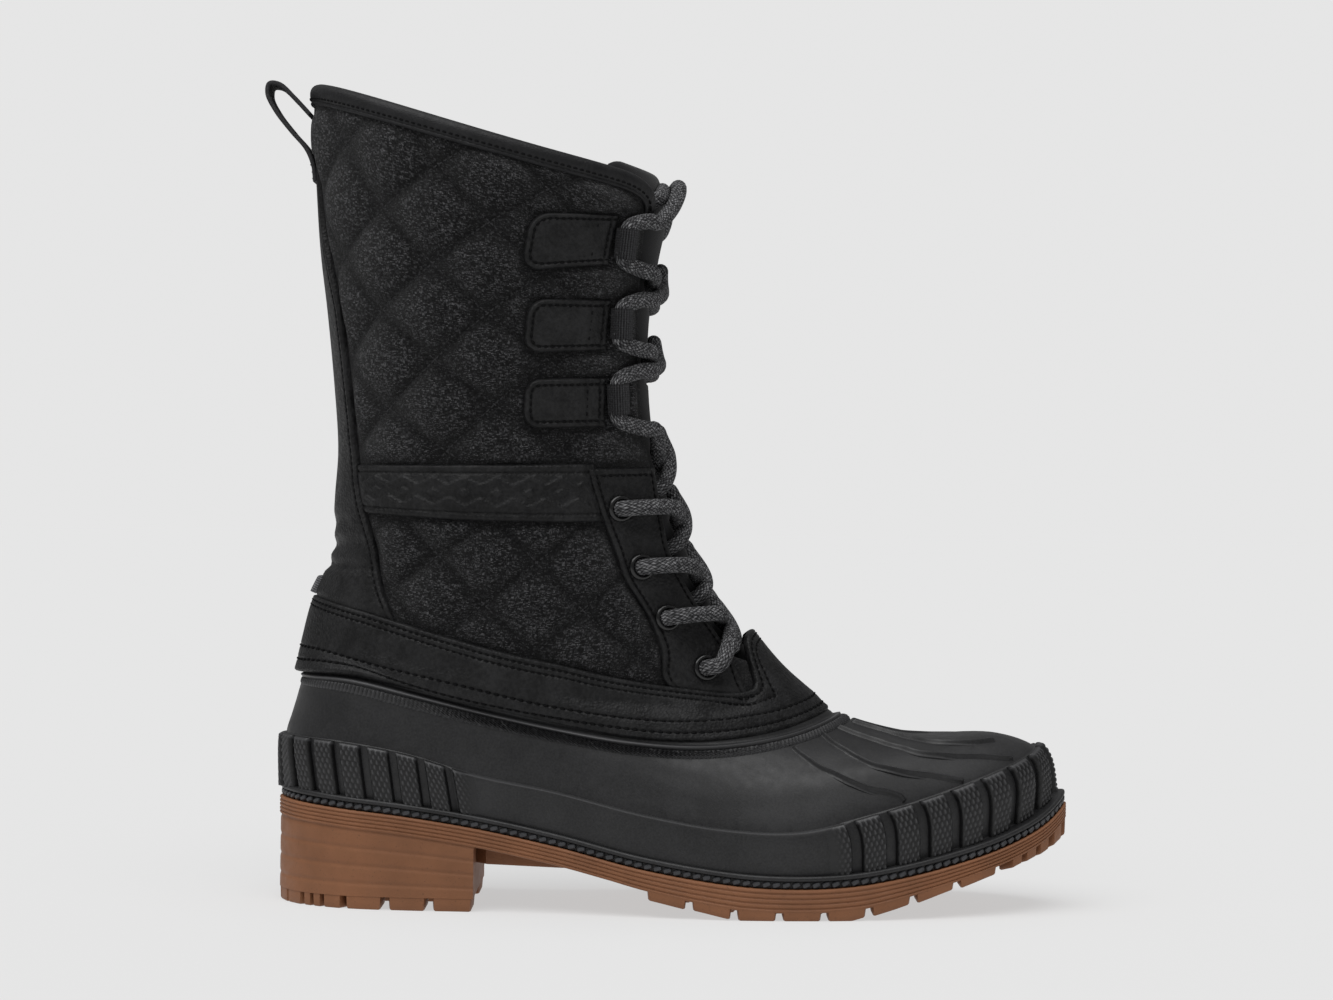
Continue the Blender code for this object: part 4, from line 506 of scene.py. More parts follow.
class Surface:
    """One mesh collected from grids of points, with its texture places in metres."""

    def __init__(self) -> None:
        """Start with no points and no faces."""
        self.points: list[Array] = []
        self.faces: list[tuple[Array, Array]] = []
        self.marks: list[Array] = []
        self.count = 0

    def add_points(self, points: Array, marks: Array | None) -> int:
        """Add points and their marks, and return the first one's number."""
        first, flat = self.count, np.asarray(points, dtype=float).reshape(-1, 3)
        self.points.append(flat)
        self.marks.append(np.zeros(len(flat)) if marks is None else np.asarray(marks, dtype=float).ravel())
        self.count += len(flat)
        return first

    def add_grid(self, points: Array, places: Array, wrap_rows: bool = False, wrap_columns: bool = False,
                 marks: Array | None = None) -> int:
        """Add a grid of quads.

        Args:
            points: Rows by columns by 3.
            places: Texture places, one row or column more where the grid wraps.
            wrap_rows: Whether the last row joins the first.
            wrap_columns: Whether the last column joins the first.
            marks: A value for each point.

        Returns:
            The number of the grid's first point.
        """
        rows, columns = points.shape[:2]
        first = self.add_points(points, marks)
        r = np.arange(rows if wrap_rows else rows - 1)[:, None]
        c = np.arange(columns if wrap_columns else columns - 1)[None, :]
        r1, c1 = (r + 1) % rows, (c + 1) % columns
        corner = [r * columns + c, r * columns + c1, r1 * columns + c1, r1 * columns + c]
        shape = np.broadcast_shapes(r.shape, c.shape)
        quads = np.stack([np.broadcast_to(v, shape) for v in corner], axis=-1).reshape(-1, 4) + first
        r, c = np.broadcast_arrays(r, c)
        spots = np.stack([places[r, c], places[r, c + 1], places[r + 1, c + 1], places[r + 1, c]], axis=2)
        self.faces.append((quads, spots.reshape(-1, 4, 2)))
        return first

    def add_faces(self, corners: Array) -> None:
        """Add faces between points that are there already, with texture places at the origin."""
        self.faces.append((corners, np.zeros((*corners.shape, 2))))

    def add_slab(self, outer: Array, inner: Array, places: Array, ring: bool = False,
                 marks: Array | None = None) -> None:
        """Add a closed sheet: up the outer grid and down every few rows of the inner one, with capped ends.

        Args:
            outer: The outer grid, rows by columns by 3.
            inner: The inner grid.
            places: Texture places of the outer grid, one column more in a ring.
            ring: Whether the last column joins the first.
            marks: A value for each point of the outer grid.
        """
        rows, columns = outer.shape[:2]
        kept = np.append(np.arange(0, rows - 1, INNER_STEP), rows - 1)
        stack = np.concatenate([outer, inner[kept][::-1]])
        spots = np.concatenate([places, places[kept][::-1], places[:1]])
        values = None if marks is None else np.concatenate([marks, np.zeros((len(kept), columns))])
        first = self.add_grid(stack, spots, wrap_rows=True, wrap_columns=ring, marks=values)
        if ring:
            return
        spans = np.arange(len(kept) - 1)
        for some, step in ((spans[:-1], INNER_STEP), (spans[-1:], rows - 1 - kept[-2])):
            outside = kept[some][:, None] + np.arange(step + 1)
            behind = rows + len(kept) - 1 - some
            cap = np.concatenate([outside, np.stack([behind - 1, behind], axis=1)], axis=1) * columns + first
            self.add_faces(cap)
            self.add_faces(cap[:, ::-1] + columns - 1)

    def add_tube(self, rings: Array, places: Array) -> None:
        """Add a tube of closed rings with a flat cap at each end.

        Args:
            rings: Stations by sides by 3.
            places: Texture places, one column more than sides.
        """
        stations, sides = rings.shape[:2]
        first = self.add_grid(rings, places, wrap_columns=True)
        ring = np.arange(sides)[None, :] + first
        self.add_faces(ring[:, ::-1])
        self.add_faces(ring + (stations - 1) * sides)

    def build(self, name: str, finish: Material, sharp: float = 42.0,
              mark: str | None = None) -> Piece:
        """Make the object, with its faces turned outwards by the sign of its volume.

        Args:
            name: The object's name.
            finish: Its material.
            sharp: Edges steeper than this angle are shaded sharp.
            mark: The name of the attribute that carries the marks.

        Returns:
            The new object, at the origin.
        """
        points = (np.concatenate(self.points) - np.array([HEEL_REST_X, 0.0, 0.0])) * MM
        volume = 0.0
        for corners, _ in self.faces:
            a = points[corners[:, 0]]
            for k in range(1, corners.shape[1] - 1):
                volume += np.einsum("ij,ij->", a, np.cross(points[corners[:, k]], points[corners[:, k + 1]]))
        turned = slice(None, None, -1) if volume < 0.0 else slice(None)
        loops = np.concatenate([corners[:, turned].ravel() for corners, _ in self.faces])
        spots = np.concatenate([places[:, turned].reshape(-1, 2) for _, places in self.faces])
        sizes = np.concatenate([np.full(len(corners), corners.shape[1]) for corners, _ in self.faces])
        mesh = bpy.data.meshes.new(name)
        mesh.vertices.add(len(points))
        mesh.vertices.foreach_set("co", points.astype(np.float32).ravel())
        mesh.loops.add(len(loops))
        mesh.loops.foreach_set("vertex_index", loops.astype(np.int32))
        mesh.polygons.add(len(sizes))
        starts = np.concatenate([[0], np.cumsum(sizes)[:-1]])
        mesh.polygons.foreach_set("loop_start", starts.astype(np.int32))
        layer = mesh.uv_layers.new(name="Surface")
        layer.uv.foreach_set("vector", spots.astype(np.float32).ravel())
        if mark:
            values = mesh.attributes.new(mark, "FLOAT", "POINT")
            values.data.foreach_set("value", np.concatenate(self.marks).astype(np.float32))
        mesh.update(calc_edges=True)
        mesh.validate()
        mesh.shade_smooth()
        mesh.set_sharp_from_angle(angle=math.radians(sharp))
        mesh.materials.append(finish)
        made = bpy.data.objects.new(name, mesh)
        bpy.context.collection.objects.link(made)
        return made


def flat_places(across: Array, up: Array) -> Array:
    """Texture places in metres from two coordinates in millimetres."""
    return np.stack(np.broadcast_arrays(across, up), axis=-1) * MM


def hand_over(piece: Piece, slot: str, *nodes: str) -> Piece:
    """Let a piece ride on the boot and hide the CAD nodes that it stands for.

    Args:
        piece: The finished piece.
        slot: Not used.
        nodes: Names of CAD nodes.

    Returns:
        The same piece.
    """
    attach(piece, "root")
    if nodes:
        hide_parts(*nodes)
    LOG.info("%s: %d faces", piece.name, len(piece.data.polygons))
    return piece


def capsules(surface: Surface, at: Array, along: Array, up: Array, length: float, radius: float, dip: float) -> None:
    """Add six-sided capsules, each along its own direction, with ends that may dip.

    Args:
        surface: The mesh that collects them.
        at: Their middles.
        along: Unit directions of their lengths.
        up: Unit directions away from what carries them.
        length: Their length.
        radius: Their radius.
        dip: How far their ends sink.
    """
    count = len(at)
    beside = unit(np.cross(along, up))
    place = np.array([-0.5, -0.42, -0.2, 0.2, 0.42, 0.5]) * length
    swell = np.array([0.35, 0.8, 1.0, 1.0, 0.8, 0.35]) * radius
    sink = np.array([-1.0, -0.5, 0.1, 0.1, -0.5, -1.0]) * dip
    angle = angles(6)
    side, lift = swell[:, None] * np.cos(angle), swell[:, None] * np.sin(angle) + sink[:, None]
    points = at[:, None, None] + along[:, None, None] * place[None, :, None, None]
    points = points + beside[:, None, None] * side[None, ..., None] + up[:, None, None] * lift[None, ..., None]
    first = surface.add_points(points, None)
    r, c = np.meshgrid(np.arange(5), np.arange(6), indexing="ij")
    quad = np.stack([r * 6 + c, r * 6 + (c + 1) % 6, (r + 1) * 6 + (c + 1) % 6, (r + 1) * 6 + c], axis=-1)
    starts = (np.arange(count) * 36 + first)[:, None, None]
    spots = np.stack([place[r], angle[c] * radius], axis=-1)[..., None, :] * MM
    spots = np.broadcast_to(spots.reshape(1, -1, 1, 2), (count, 30, 4, 2)).reshape(-1, 4, 2)
    surface.faces.append(((quad.reshape(1, -1, 4) + starts).reshape(-1, 4), spots))
    ends = np.arange(6)[None, :] + starts[:, 0]
    surface.add_faces(ends[:, ::-1])
    surface.add_faces(ends + 30)


class Recipe:
    """A node material being put together round one Principled shader."""

    def __init__(self, name: str, roughness: float, specular: float) -> None:
        """Start a material with its roughness and the strength of its reflection."""
        self.made = bpy.data.materials.new(name)
        self.made.use_nodes = True
        self.tree = self.made.node_tree
        self.shader = self.tree.nodes["Principled BSDF"]
        self.set("Roughness", roughness)
        self.set("Specular IOR Level", specular)

    def set(self, socket: str, value: float | Socket | tuple) -> None:
        """Give one of the shader's sockets a value or a link."""
        self.feed(self.shader.inputs[socket], value)

    def feed(self, socket: Socket, value: float | Socket | tuple) -> None:
        """Link a socket to another one, or set its own value."""
        if isinstance(value, Socket):
            self.tree.links.new(value, socket)
        else:
            socket.default_value = value

    def add(self, kind: str, values: dict | None = None, **settings: str) -> bpy.types.Node:
        """Add a node with its settings and input values."""
        node = self.tree.nodes.new(kind)
        for name, value in settings.items():
            setattr(node, name, value)
        for key, value in (values or {}).items():
            self.feed(node.inputs[key], value)
        return node

    def place(self, kind: str = "Object") -> Socket:
        """The coordinates of the piece: Object, or its own UV map."""
        return self.add("ShaderNodeTexCoord").outputs[kind]

    def mark(self, name: str) -> Socket:
        """The value of a point attribute."""
        return self.add("ShaderNodeAttribute", attribute_name=name).outputs["Fac"]

    def maths(self, operation: str, first: float | Socket, second: float | Socket = 0.0) -> Socket:
        """One step of arithmetic."""
        return self.add("ShaderNodeMath", {0: first, 1: second}, operation=operation).outputs[0]

    def blend(self, first: Socket, share: float, second: Socket, rest: float) -> Socket:
        """A share of one value added to a share of another."""
        return self.maths("ADD", self.maths("MULTIPLY", first, share), self.maths("MULTIPLY", second, rest))

    def wave(self, value: Socket, rate: float) -> Socket:
        """The sine of a value times a rate."""
        return self.maths("SINE", self.maths("MULTIPLY", value, rate))

    def vectors(self, operation: str, first: Socket, second: Socket | tuple = (0.0, 0.0, 0.0)) -> Socket:
        """One step of arithmetic on vectors."""
        return self.add("ShaderNodeVectorMath", {0: first, 1: second}, operation=operation).outputs[0]

    def parts(self, vector: Socket) -> tuple[Socket, Socket]:
        """The first two numbers of a vector."""
        split = self.add("ShaderNodeSeparateXYZ", {0: vector})
        return split.outputs[0], split.outputs[1]

    def spread(self, value: Socket, low: float, high: float, to_low: float, to_high: float) -> Socket:
        """A value moved from one range to another, and held there."""
        values = {"Value": value, "From Min": low, "From Max": high, "To Min": to_low, "To Max": to_high}
        return self.add("ShaderNodeMapRange", values).outputs[0]

    def noise(self, place: Socket, scale: float, detail: float, rough: float = 0.5) -> Socket:
        """Soft noise from 0 to 1."""
        values = {"Vector": place, "Scale": scale, "Detail": detail, "Roughness": rough}
        return self.add("ShaderNodeTexNoise", values).outputs[0]

    def cells(self, place: Socket, scale: float) -> Socket:
        """Distance from the nearest of scattered points."""
        return self.add("ShaderNodeTexVoronoi", {"Vector": place, "Scale": scale}).outputs["Distance"]

    def grains(self, place: Socket) -> Socket:
        """A random value for each whole-numbered cell of a place."""
        whole = self.vectors("FLOOR", place)
        return self.add("ShaderNodeTexWhiteNoise", {"Vector": whole}).outputs["Value"]

    def mix(self, factor: Socket, first: Colour | Socket, second: Colour | Socket) -> Socket:
        """A blend of two colours."""
        node = self.add("ShaderNodeMix", {0: factor}, data_type="RGBA")
        for socket, value in ((node.inputs[6], first), (node.inputs[7], second)):
            self.feed(socket, (*value, 1.0) if isinstance(value, tuple) else value)
        return node.outputs[2]

    def relief(self, height: Socket, depth: float, under: Socket | None = None) -> Socket:
        """A bump of the given depth in millimetres, on top of another one."""
        node = self.add("ShaderNodeBump", {"Height": height, "Strength": 1.0, "Distance": depth * MM})
        if under is not None:
            self.feed(node.inputs["Normal"], under)
        return node.outputs[0]


@dataclass(frozen=True)
class MouldedRubber:
    """Black moulded rubber: fine grain, soft clouds of tone, a low sheen, and a paler colour on crests where the raised
    mark is set, a painted highlight.
    """

    name: str = "black_rubber"
    colour: Colour = (0.0072, 0.0072, 0.0078)
    wear_and_highlight: Colour = (0.0195, 0.0195, 0.0206)
    painted_highlight: Colour = (0.075, 0.075, 0.078)
    roughness: tuple[float, float] = (0.4, 0.54)
    specular: float = 0.42

    def make(self) -> Material:
        """The material."""
        mix = Recipe(self.name, 0.5, self.specular)
        place = mix.place()
        cloud = mix.noise(place, 45.0, 4.0)
        fine = mix.noise(place, 2600.0, 2.0)
        tone = mix.blend(cloud, 0.55, mix.noise(place, 1300.0, 3.0), 0.45)
        toned = mix.mix(mix.spread(tone, 0.4, 0.62, 0.0, 1.0), self.colour, self.wear_and_highlight)
        # Painted highlight: the raised mark pales the colour on crests, lips, dots and edges that catch the light.
        mix.set("Base Color", mix.mix(mix.mark("raised"), toned, self.painted_highlight))
        mix.set("Roughness", mix.spread(mix.noise(place, 320.0, 4.0), 0.3, 0.7, *self.roughness))
        mix.set("Normal", mix.relief(fine, 0.03))
        return mix.made


@dataclass(frozen=True)
class GumRubber:
    """Gum-brown rubber: slight clouds of tone, pepper specks and a dull skin."""

    name: str = "gum_rubber"
    colour: Colour = (0.25, 0.107, 0.05)
    deep: Colour = (0.19, 0.081, 0.0375)
    roughness: tuple[float, float] = (0.5, 0.66)
    specular: float = 0.3

    def make(self) -> Material:
        """The material."""
        mix = Recipe(self.name, 0.55, self.specular)
        place = mix.place()
        cloud = mix.spread(mix.noise(place, 38.0, 5.0, 0.6), 0.35, 0.68, 0.0, 1.0)
        speck = mix.spread(mix.noise(place, 1500.0, 2.0), 0.64, 0.74, 0.0, 0.55)
        toned = mix.mix(cloud, self.colour, self.deep)
        mix.set("Base Color", mix.mix(speck, toned, (0.085, 0.042, 0.025)))
        mix.set("Roughness", mix.spread(mix.noise(place, 260.0, 3.0), 0.3, 0.7, *self.roughness))
        mix.set("Normal", mix.relief(mix.noise(place, 1900.0, 3.0), 0.045))
        return mix.made


@dataclass(frozen=True)
class FleckedCloth:
    """Salt-and-pepper woollen cloth: random short dashes of yarn on the piece's own UV map, with painted shade in the
    quilting seams.
    """

    name: str = "quilted_fabric"
    dark: Colour = (0.0026, 0.0026, 0.0029)
    light: Colour = (0.128, 0.128, 0.134)
    thread: float = 0.36
    roughness: float = 0.92
    relief: float = 0.2
    sheen: float = 0.1

    def make(self) -> Material:
        """The material: single cells, long dashes and short uprights of yarn, added and squared."""
        mix = Recipe(self.name, self.roughness, 0.1)
        mix.set("Sheen Weight", self.sheen)
        mix.set("Sheen Roughness", 0.5)
        rate = 1000.0 / self.thread
        place = mix.vectors("MULTIPLY", mix.place("UV"), (rate, rate, 0.0))
        single = mix.grains(place)
        dash = mix.grains(mix.vectors("ADD", mix.vectors("MULTIPLY", place, (0.4, 1.0, 0.0)), (71.0, 13.0, 0.0)))
        upright = mix.grains(mix.vectors("ADD", mix.vectors("MULTIPLY", place, (1.0, 0.42, 0.0)), (17.0, 37.0, 0.0)))
        tone = mix.blend(single, 0.36, dash, 0.48)
        tone = mix.maths("ADD", tone, mix.maths("MULTIPLY", upright, 0.16))
        share = mix.spread(tone, 0.3, 0.92, 0.0, 1.0)
        share = mix.maths("POWER", share, 2.3)
        # Painted shade: the mark darkens the yarn in the quilting valleys and beside the overlays' edges.
        deep = mix.maths("MULTIPLY", share, mix.spread(mix.mark("seam_shade"), 0.0, 1.0, 1.0, 0.34))
        mix.set("Base Color", mix.mix(deep, self.dark, self.light))
        fu, fv = mix.parts(mix.vectors("FRACTION", place))
        lump = mix.maths("MULTIPLY", mix.wave(fu, math.pi), mix.wave(fv, math.pi))
        mix.set("Normal", mix.relief(mix.maths("ADD", lump, mix.maths("MULTIPLY", tone, 1.2)), self.relief))
        return mix.made


@dataclass(frozen=True)
class Leather:
    """Black leather: pebbled grain, pores, soft tone, a low gloss, and painted shade in the furrows along its seams."""

    name: str = "black_leather"
    colour: Colour = (0.004, 0.004, 0.0043)
    rubbed: Colour = (0.0168, 0.0168, 0.0174)
    painted_furrow_shade: Colour = (0.003, 0.003, 0.0032)
    grain: float = 0.95
    depth: float = 0.2
    roughness: tuple[float, float] = (0.42, 0.6)
    specular: float = 0.22

    def make(self) -> Material:
        """The material."""
        mix = Recipe(self.name, 0.5, self.specular)
        place = mix.place()
        pebble = mix.cells(place, 1000.0 / self.grain)
        fine = mix.noise(place, 3200.0 / self.grain, 2.0)
        cloud = mix.blend(mix.noise(place, 110.0, 4.0), 0.5, mix.noise(place, 700.0, 4.0, 0.6), 0.5)
        toned = mix.mix(mix.spread(cloud, 0.4, 0.61, 0.0, 1.0), self.colour, self.rubbed)
        # Painted shade: the seam mark darkens the leather in the stitch furrows.
        mix.set("Base Color", mix.mix(mix.mark("seam"), toned, self.painted_furrow_shade))
        mix.set("Roughness", mix.spread(mix.noise(place, 420.0, 3.0), 0.3, 0.7, *self.roughness))
        mix.set("Normal", mix.relief(pebble, self.depth, mix.relief(fine, self.depth * 0.45)))
        return mix.made


@dataclass(frozen=True)
class NappedCloth:
    """Felt, fleece or smooth padded cloth: tangled fibre noise at its own scale."""

    name: str
    colour: Colour
    light: Colour
    fibre: float = 0.5
    depth: float = 0.2
    roughness: float = 0.95

    def make(self) -> Material:
        """The material."""
        mix = Recipe(self.name, self.roughness, 0.1)
        mix.set("Sheen Weight", 0.15)
        place = mix.place()
        fibre = mix.noise(place, 1000.0 / self.fibre, 4.0, 0.65)
        broad = mix.noise(place, 90.0, 3.0)
        tone = mix.blend(fibre, 0.6, broad, 0.4)
        mix.set("Base Color", mix.mix(mix.spread(tone, 0.35, 0.66, 0.0, 1.0), self.colour, self.light))
        mix.set("Normal", mix.relief(fibre, self.depth))
        return mix.made


@dataclass(frozen=True)
class Webbing:
    """Ribbed woven strap: ribs across the first UV direction, fine picks along the second, with painted light and shade
    on them.
    """

    name: str = "webbing"
    colour: Colour = (0.006, 0.006, 0.0066)
    light: Colour = (0.066, 0.066, 0.069)
    rib: float = 1.2
    pick: float = 0.5

    def make(self) -> Material:
        """The material."""
        mix = Recipe(self.name, 0.82, 0.18)
        u, v = mix.parts(mix.place("UV"))
        ribs, picks = mix.wave(u, 2000.0 * math.pi / self.rib), mix.wave(v, 2000.0 * math.pi / self.pick)
        height = mix.maths("ADD", ribs, mix.maths("MULTIPLY", picks, 0.35))
        speck = mix.noise(mix.place(), 1800.0, 2.0)
        # Painted light: the colour is paler on the ribs' and picks' crests and darker in their troughs; the specks are
        # random tone.
        tone = mix.maths("ADD", mix.spread(height, -1.2, 1.3, 0.0, 0.6), mix.spread(speck, 0.45, 0.75, 0.0, 0.4))
        mix.set("Base Color", mix.mix(tone, self.colour, self.light))
        mix.set("Normal", mix.relief(height, 0.12))
        return mix.made


@dataclass(frozen=True)
class Enamel:
    """Black enamelled metal with a clear coat and a faint orange-peel."""

    name: str = "black_metal"
    colour: Colour = (0.0022, 0.0022, 0.0024)

    def make(self) -> Material:
        """The material."""
        mix = Recipe(self.name, 0.3, 0.4)
        mix.set("Coat Weight", 0.25)
        mix.set("Coat Roughness", 0.1)
        place = mix.place()
        mix.set("Base Color", mix.mix(mix.noise(place, 500.0, 3.0), self.colour, (0.0045, 0.0045, 0.0048)))
        mix.set("Roughness", mix.spread(mix.noise(place, 300.0, 3.0), 0.3, 0.7, 0.2, 0.32))
        mix.set("Normal", mix.relief(mix.noise(place, 900.0, 2.0), 0.02))
        return mix.made


@dataclass(frozen=True)
class BraidedCord:
    """A round braid: two crossing sets of yarns on the cord's UV map, over and under by turns, in mixed greys, with
    painted shade where they dip.
    """

    name: str = "lace_cord"
    dark: Colour = (0.013, 0.013, 0.0142)
    light: Colour = (0.27, 0.27, 0.278)
    yarn: float = 1.314

    def make(self) -> Material:
        """The material: the UV map is turned by 45 degrees, and each cell shows the yarn that lies on top."""
        mix = Recipe(self.name, 0.85, 0.14)
        rate = 1000.0 / self.yarn
        u, v = mix.parts(mix.vectors("MULTIPLY", mix.place("UV"), (0.62, 1.0, 0.0)))
        first = mix.maths("MULTIPLY", mix.maths("ADD", u, v), rate)
        second = mix.maths("MULTIPLY", mix.maths("SUBTRACT", u, v), rate)
        cell = mix.add("ShaderNodeCombineXYZ", {0: first, 1: second}).outputs[0]
        a, b = mix.parts(mix.vectors("FLOOR", cell))
        over = mix.maths("FLOORED_MODULO", mix.maths("ADD", a, b), 2.0)
        fa, fb = mix.parts(mix.vectors("FRACTION", cell))
        along, across = mix.wave(fa, math.pi), mix.wave(fb, math.pi)
        lump = mix.add("ShaderNodeMix", {0: over, 2: along, 3: across}, data_type="FLOAT").outputs[0]
        strand = mix.grains(mix.vectors("MULTIPLY", cell, (1.0, 3.0, 0.0)))
        other = mix.grains(mix.vectors("ADD", mix.vectors("MULTIPLY", cell, (3.0, 1.0, 0.0)), (53.0, 7.0, 0.0)))
        fibre = mix.add("ShaderNodeMix", {0: over, 2: strand, 3: other}, data_type="FLOAT").outputs[0]
        # Painted shade: each yarn's grey darkens towards its edges, where it dips under the crossing yarn; the greys
        # per strand are random.
        tone = mix.maths("MULTIPLY", mix.spread(fibre, 0.0, 1.0, 0.3, 1.0), mix.spread(lump, 0.1, 0.9, 0.2, 1.0))
        mix.set("Base Color", mix.mix(mix.maths("MULTIPLY", tone, tone), self.dark, self.light))
        mix.set("Normal", mix.relief(mix.maths("ADD", lump, mix.maths("MULTIPLY", fibre, 0.4)), 0.34))
        return mix.made


@dataclass(frozen=True)
class SewingThread:
    """Twisted sewing thread, paler on the twist's ridges and darker between them: painted light and shade."""

    name: str = "thread"
    colour: Colour = (0.0024, 0.0024, 0.0026)
    light: Colour = (0.008, 0.008, 0.0084)

    def make(self) -> Material:
        """The material."""
        mix = Recipe(self.name, 0.8, 0.08)
        u, v = mix.parts(mix.place("UV"))
        twist = mix.wave(mix.maths("ADD", u, v), 2000.0 * math.pi / 0.5)
        # Painted light and shade: the colour follows the twist's relief.
        mix.set("Base Color", mix.mix(mix.spread(twist, -1.0, 1.0, 0.0, 1.0), self.colour, self.light))
        mix.set("Normal", mix.relief(twist, 0.05))
        return mix.made


class Finishes:
    """Every material of the boot, made once."""

    def __init__(self) -> None:
        """Make the materials."""
        self.rubber = MouldedRubber().make()
        self.bead = MouldedRubber("bead_rubber", (0.03, 0.031, 0.034), (0.046, 0.047, 0.051)).make()
        # Dotted rubber: a darker base is painted shade between the dots and ribs, and its paler crest colour is their
        # painted highlight.
        self.dotted = MouldedRubber("dotted_rubber", (0.0034, 0.0034, 0.0037), (0.006, 0.006, 0.0064),
                                    (0.056, 0.056, 0.059)).make()
        self.gum = GumRubber().make()
        self.quilted = FleckedCloth().make()
        self.leather = Leather().make()
        self.binding = Leather("binding_leather", (0.0085, 0.0085, 0.0092), (0.016, 0.016, 0.017),
                               grain=0.6, depth=0.08).make()
        self.tongue = NappedCloth("tongue_fabric", (0.0075, 0.0075, 0.0082), (0.014, 0.014, 0.015), 0.35, 0.08).make()
        self.felt = NappedCloth("felt", (0.03, 0.03, 0.031), (0.075, 0.075, 0.077), 0.6, 0.3).make()
        self.webbing = Webbing().make()
        self.ribbon = Webbing("grey_ribbon", (0.05, 0.05, 0.054), (0.26, 0.26, 0.27), 0.9).make()
        self.metal = Enamel().make()
        self.lace = BraidedCord().make()
        self.thread = SewingThread().make()
        self.quilting = SewingThread("quilting_thread", (0.012, 0.012, 0.0125), (0.05, 0.05, 0.052)).make()


@dataclass
class Stitching:
    """Rows of sewn stitches: small capsules along lines on a piece."""

    finish: Material
    length: float = 1.75
    pitch: float = 2.35
    radius: float = 0.36

    def lay(self, surface: Surface, path: Array, normals: Array, size: float = 1.0) -> None:
        """Lay one row of stitches, each a six-sided capsule that dips at both its ends.

        Args:
            surface: The mesh that collects the stitches.
            path: Points of the line.
            normals: The carrying piece's normals there.
            size: Size of these stitches against the usual ones.
        """
        run = run_length(path)
        count = max(int(run[-1] / (self.pitch * size)), 1)
        stops = (np.arange(count) + 0.5) * run[-1] / count
        at, ahead, behind = (read_along(path, run, stops + step) for step in (0.0, 0.4, -0.4))
        up = unit(read_along(normals, run, stops))
        radius = self.radius * size ** 0.7
        capsules(surface, at, unit(ahead - behind), up, self.length * size, radius, radius)


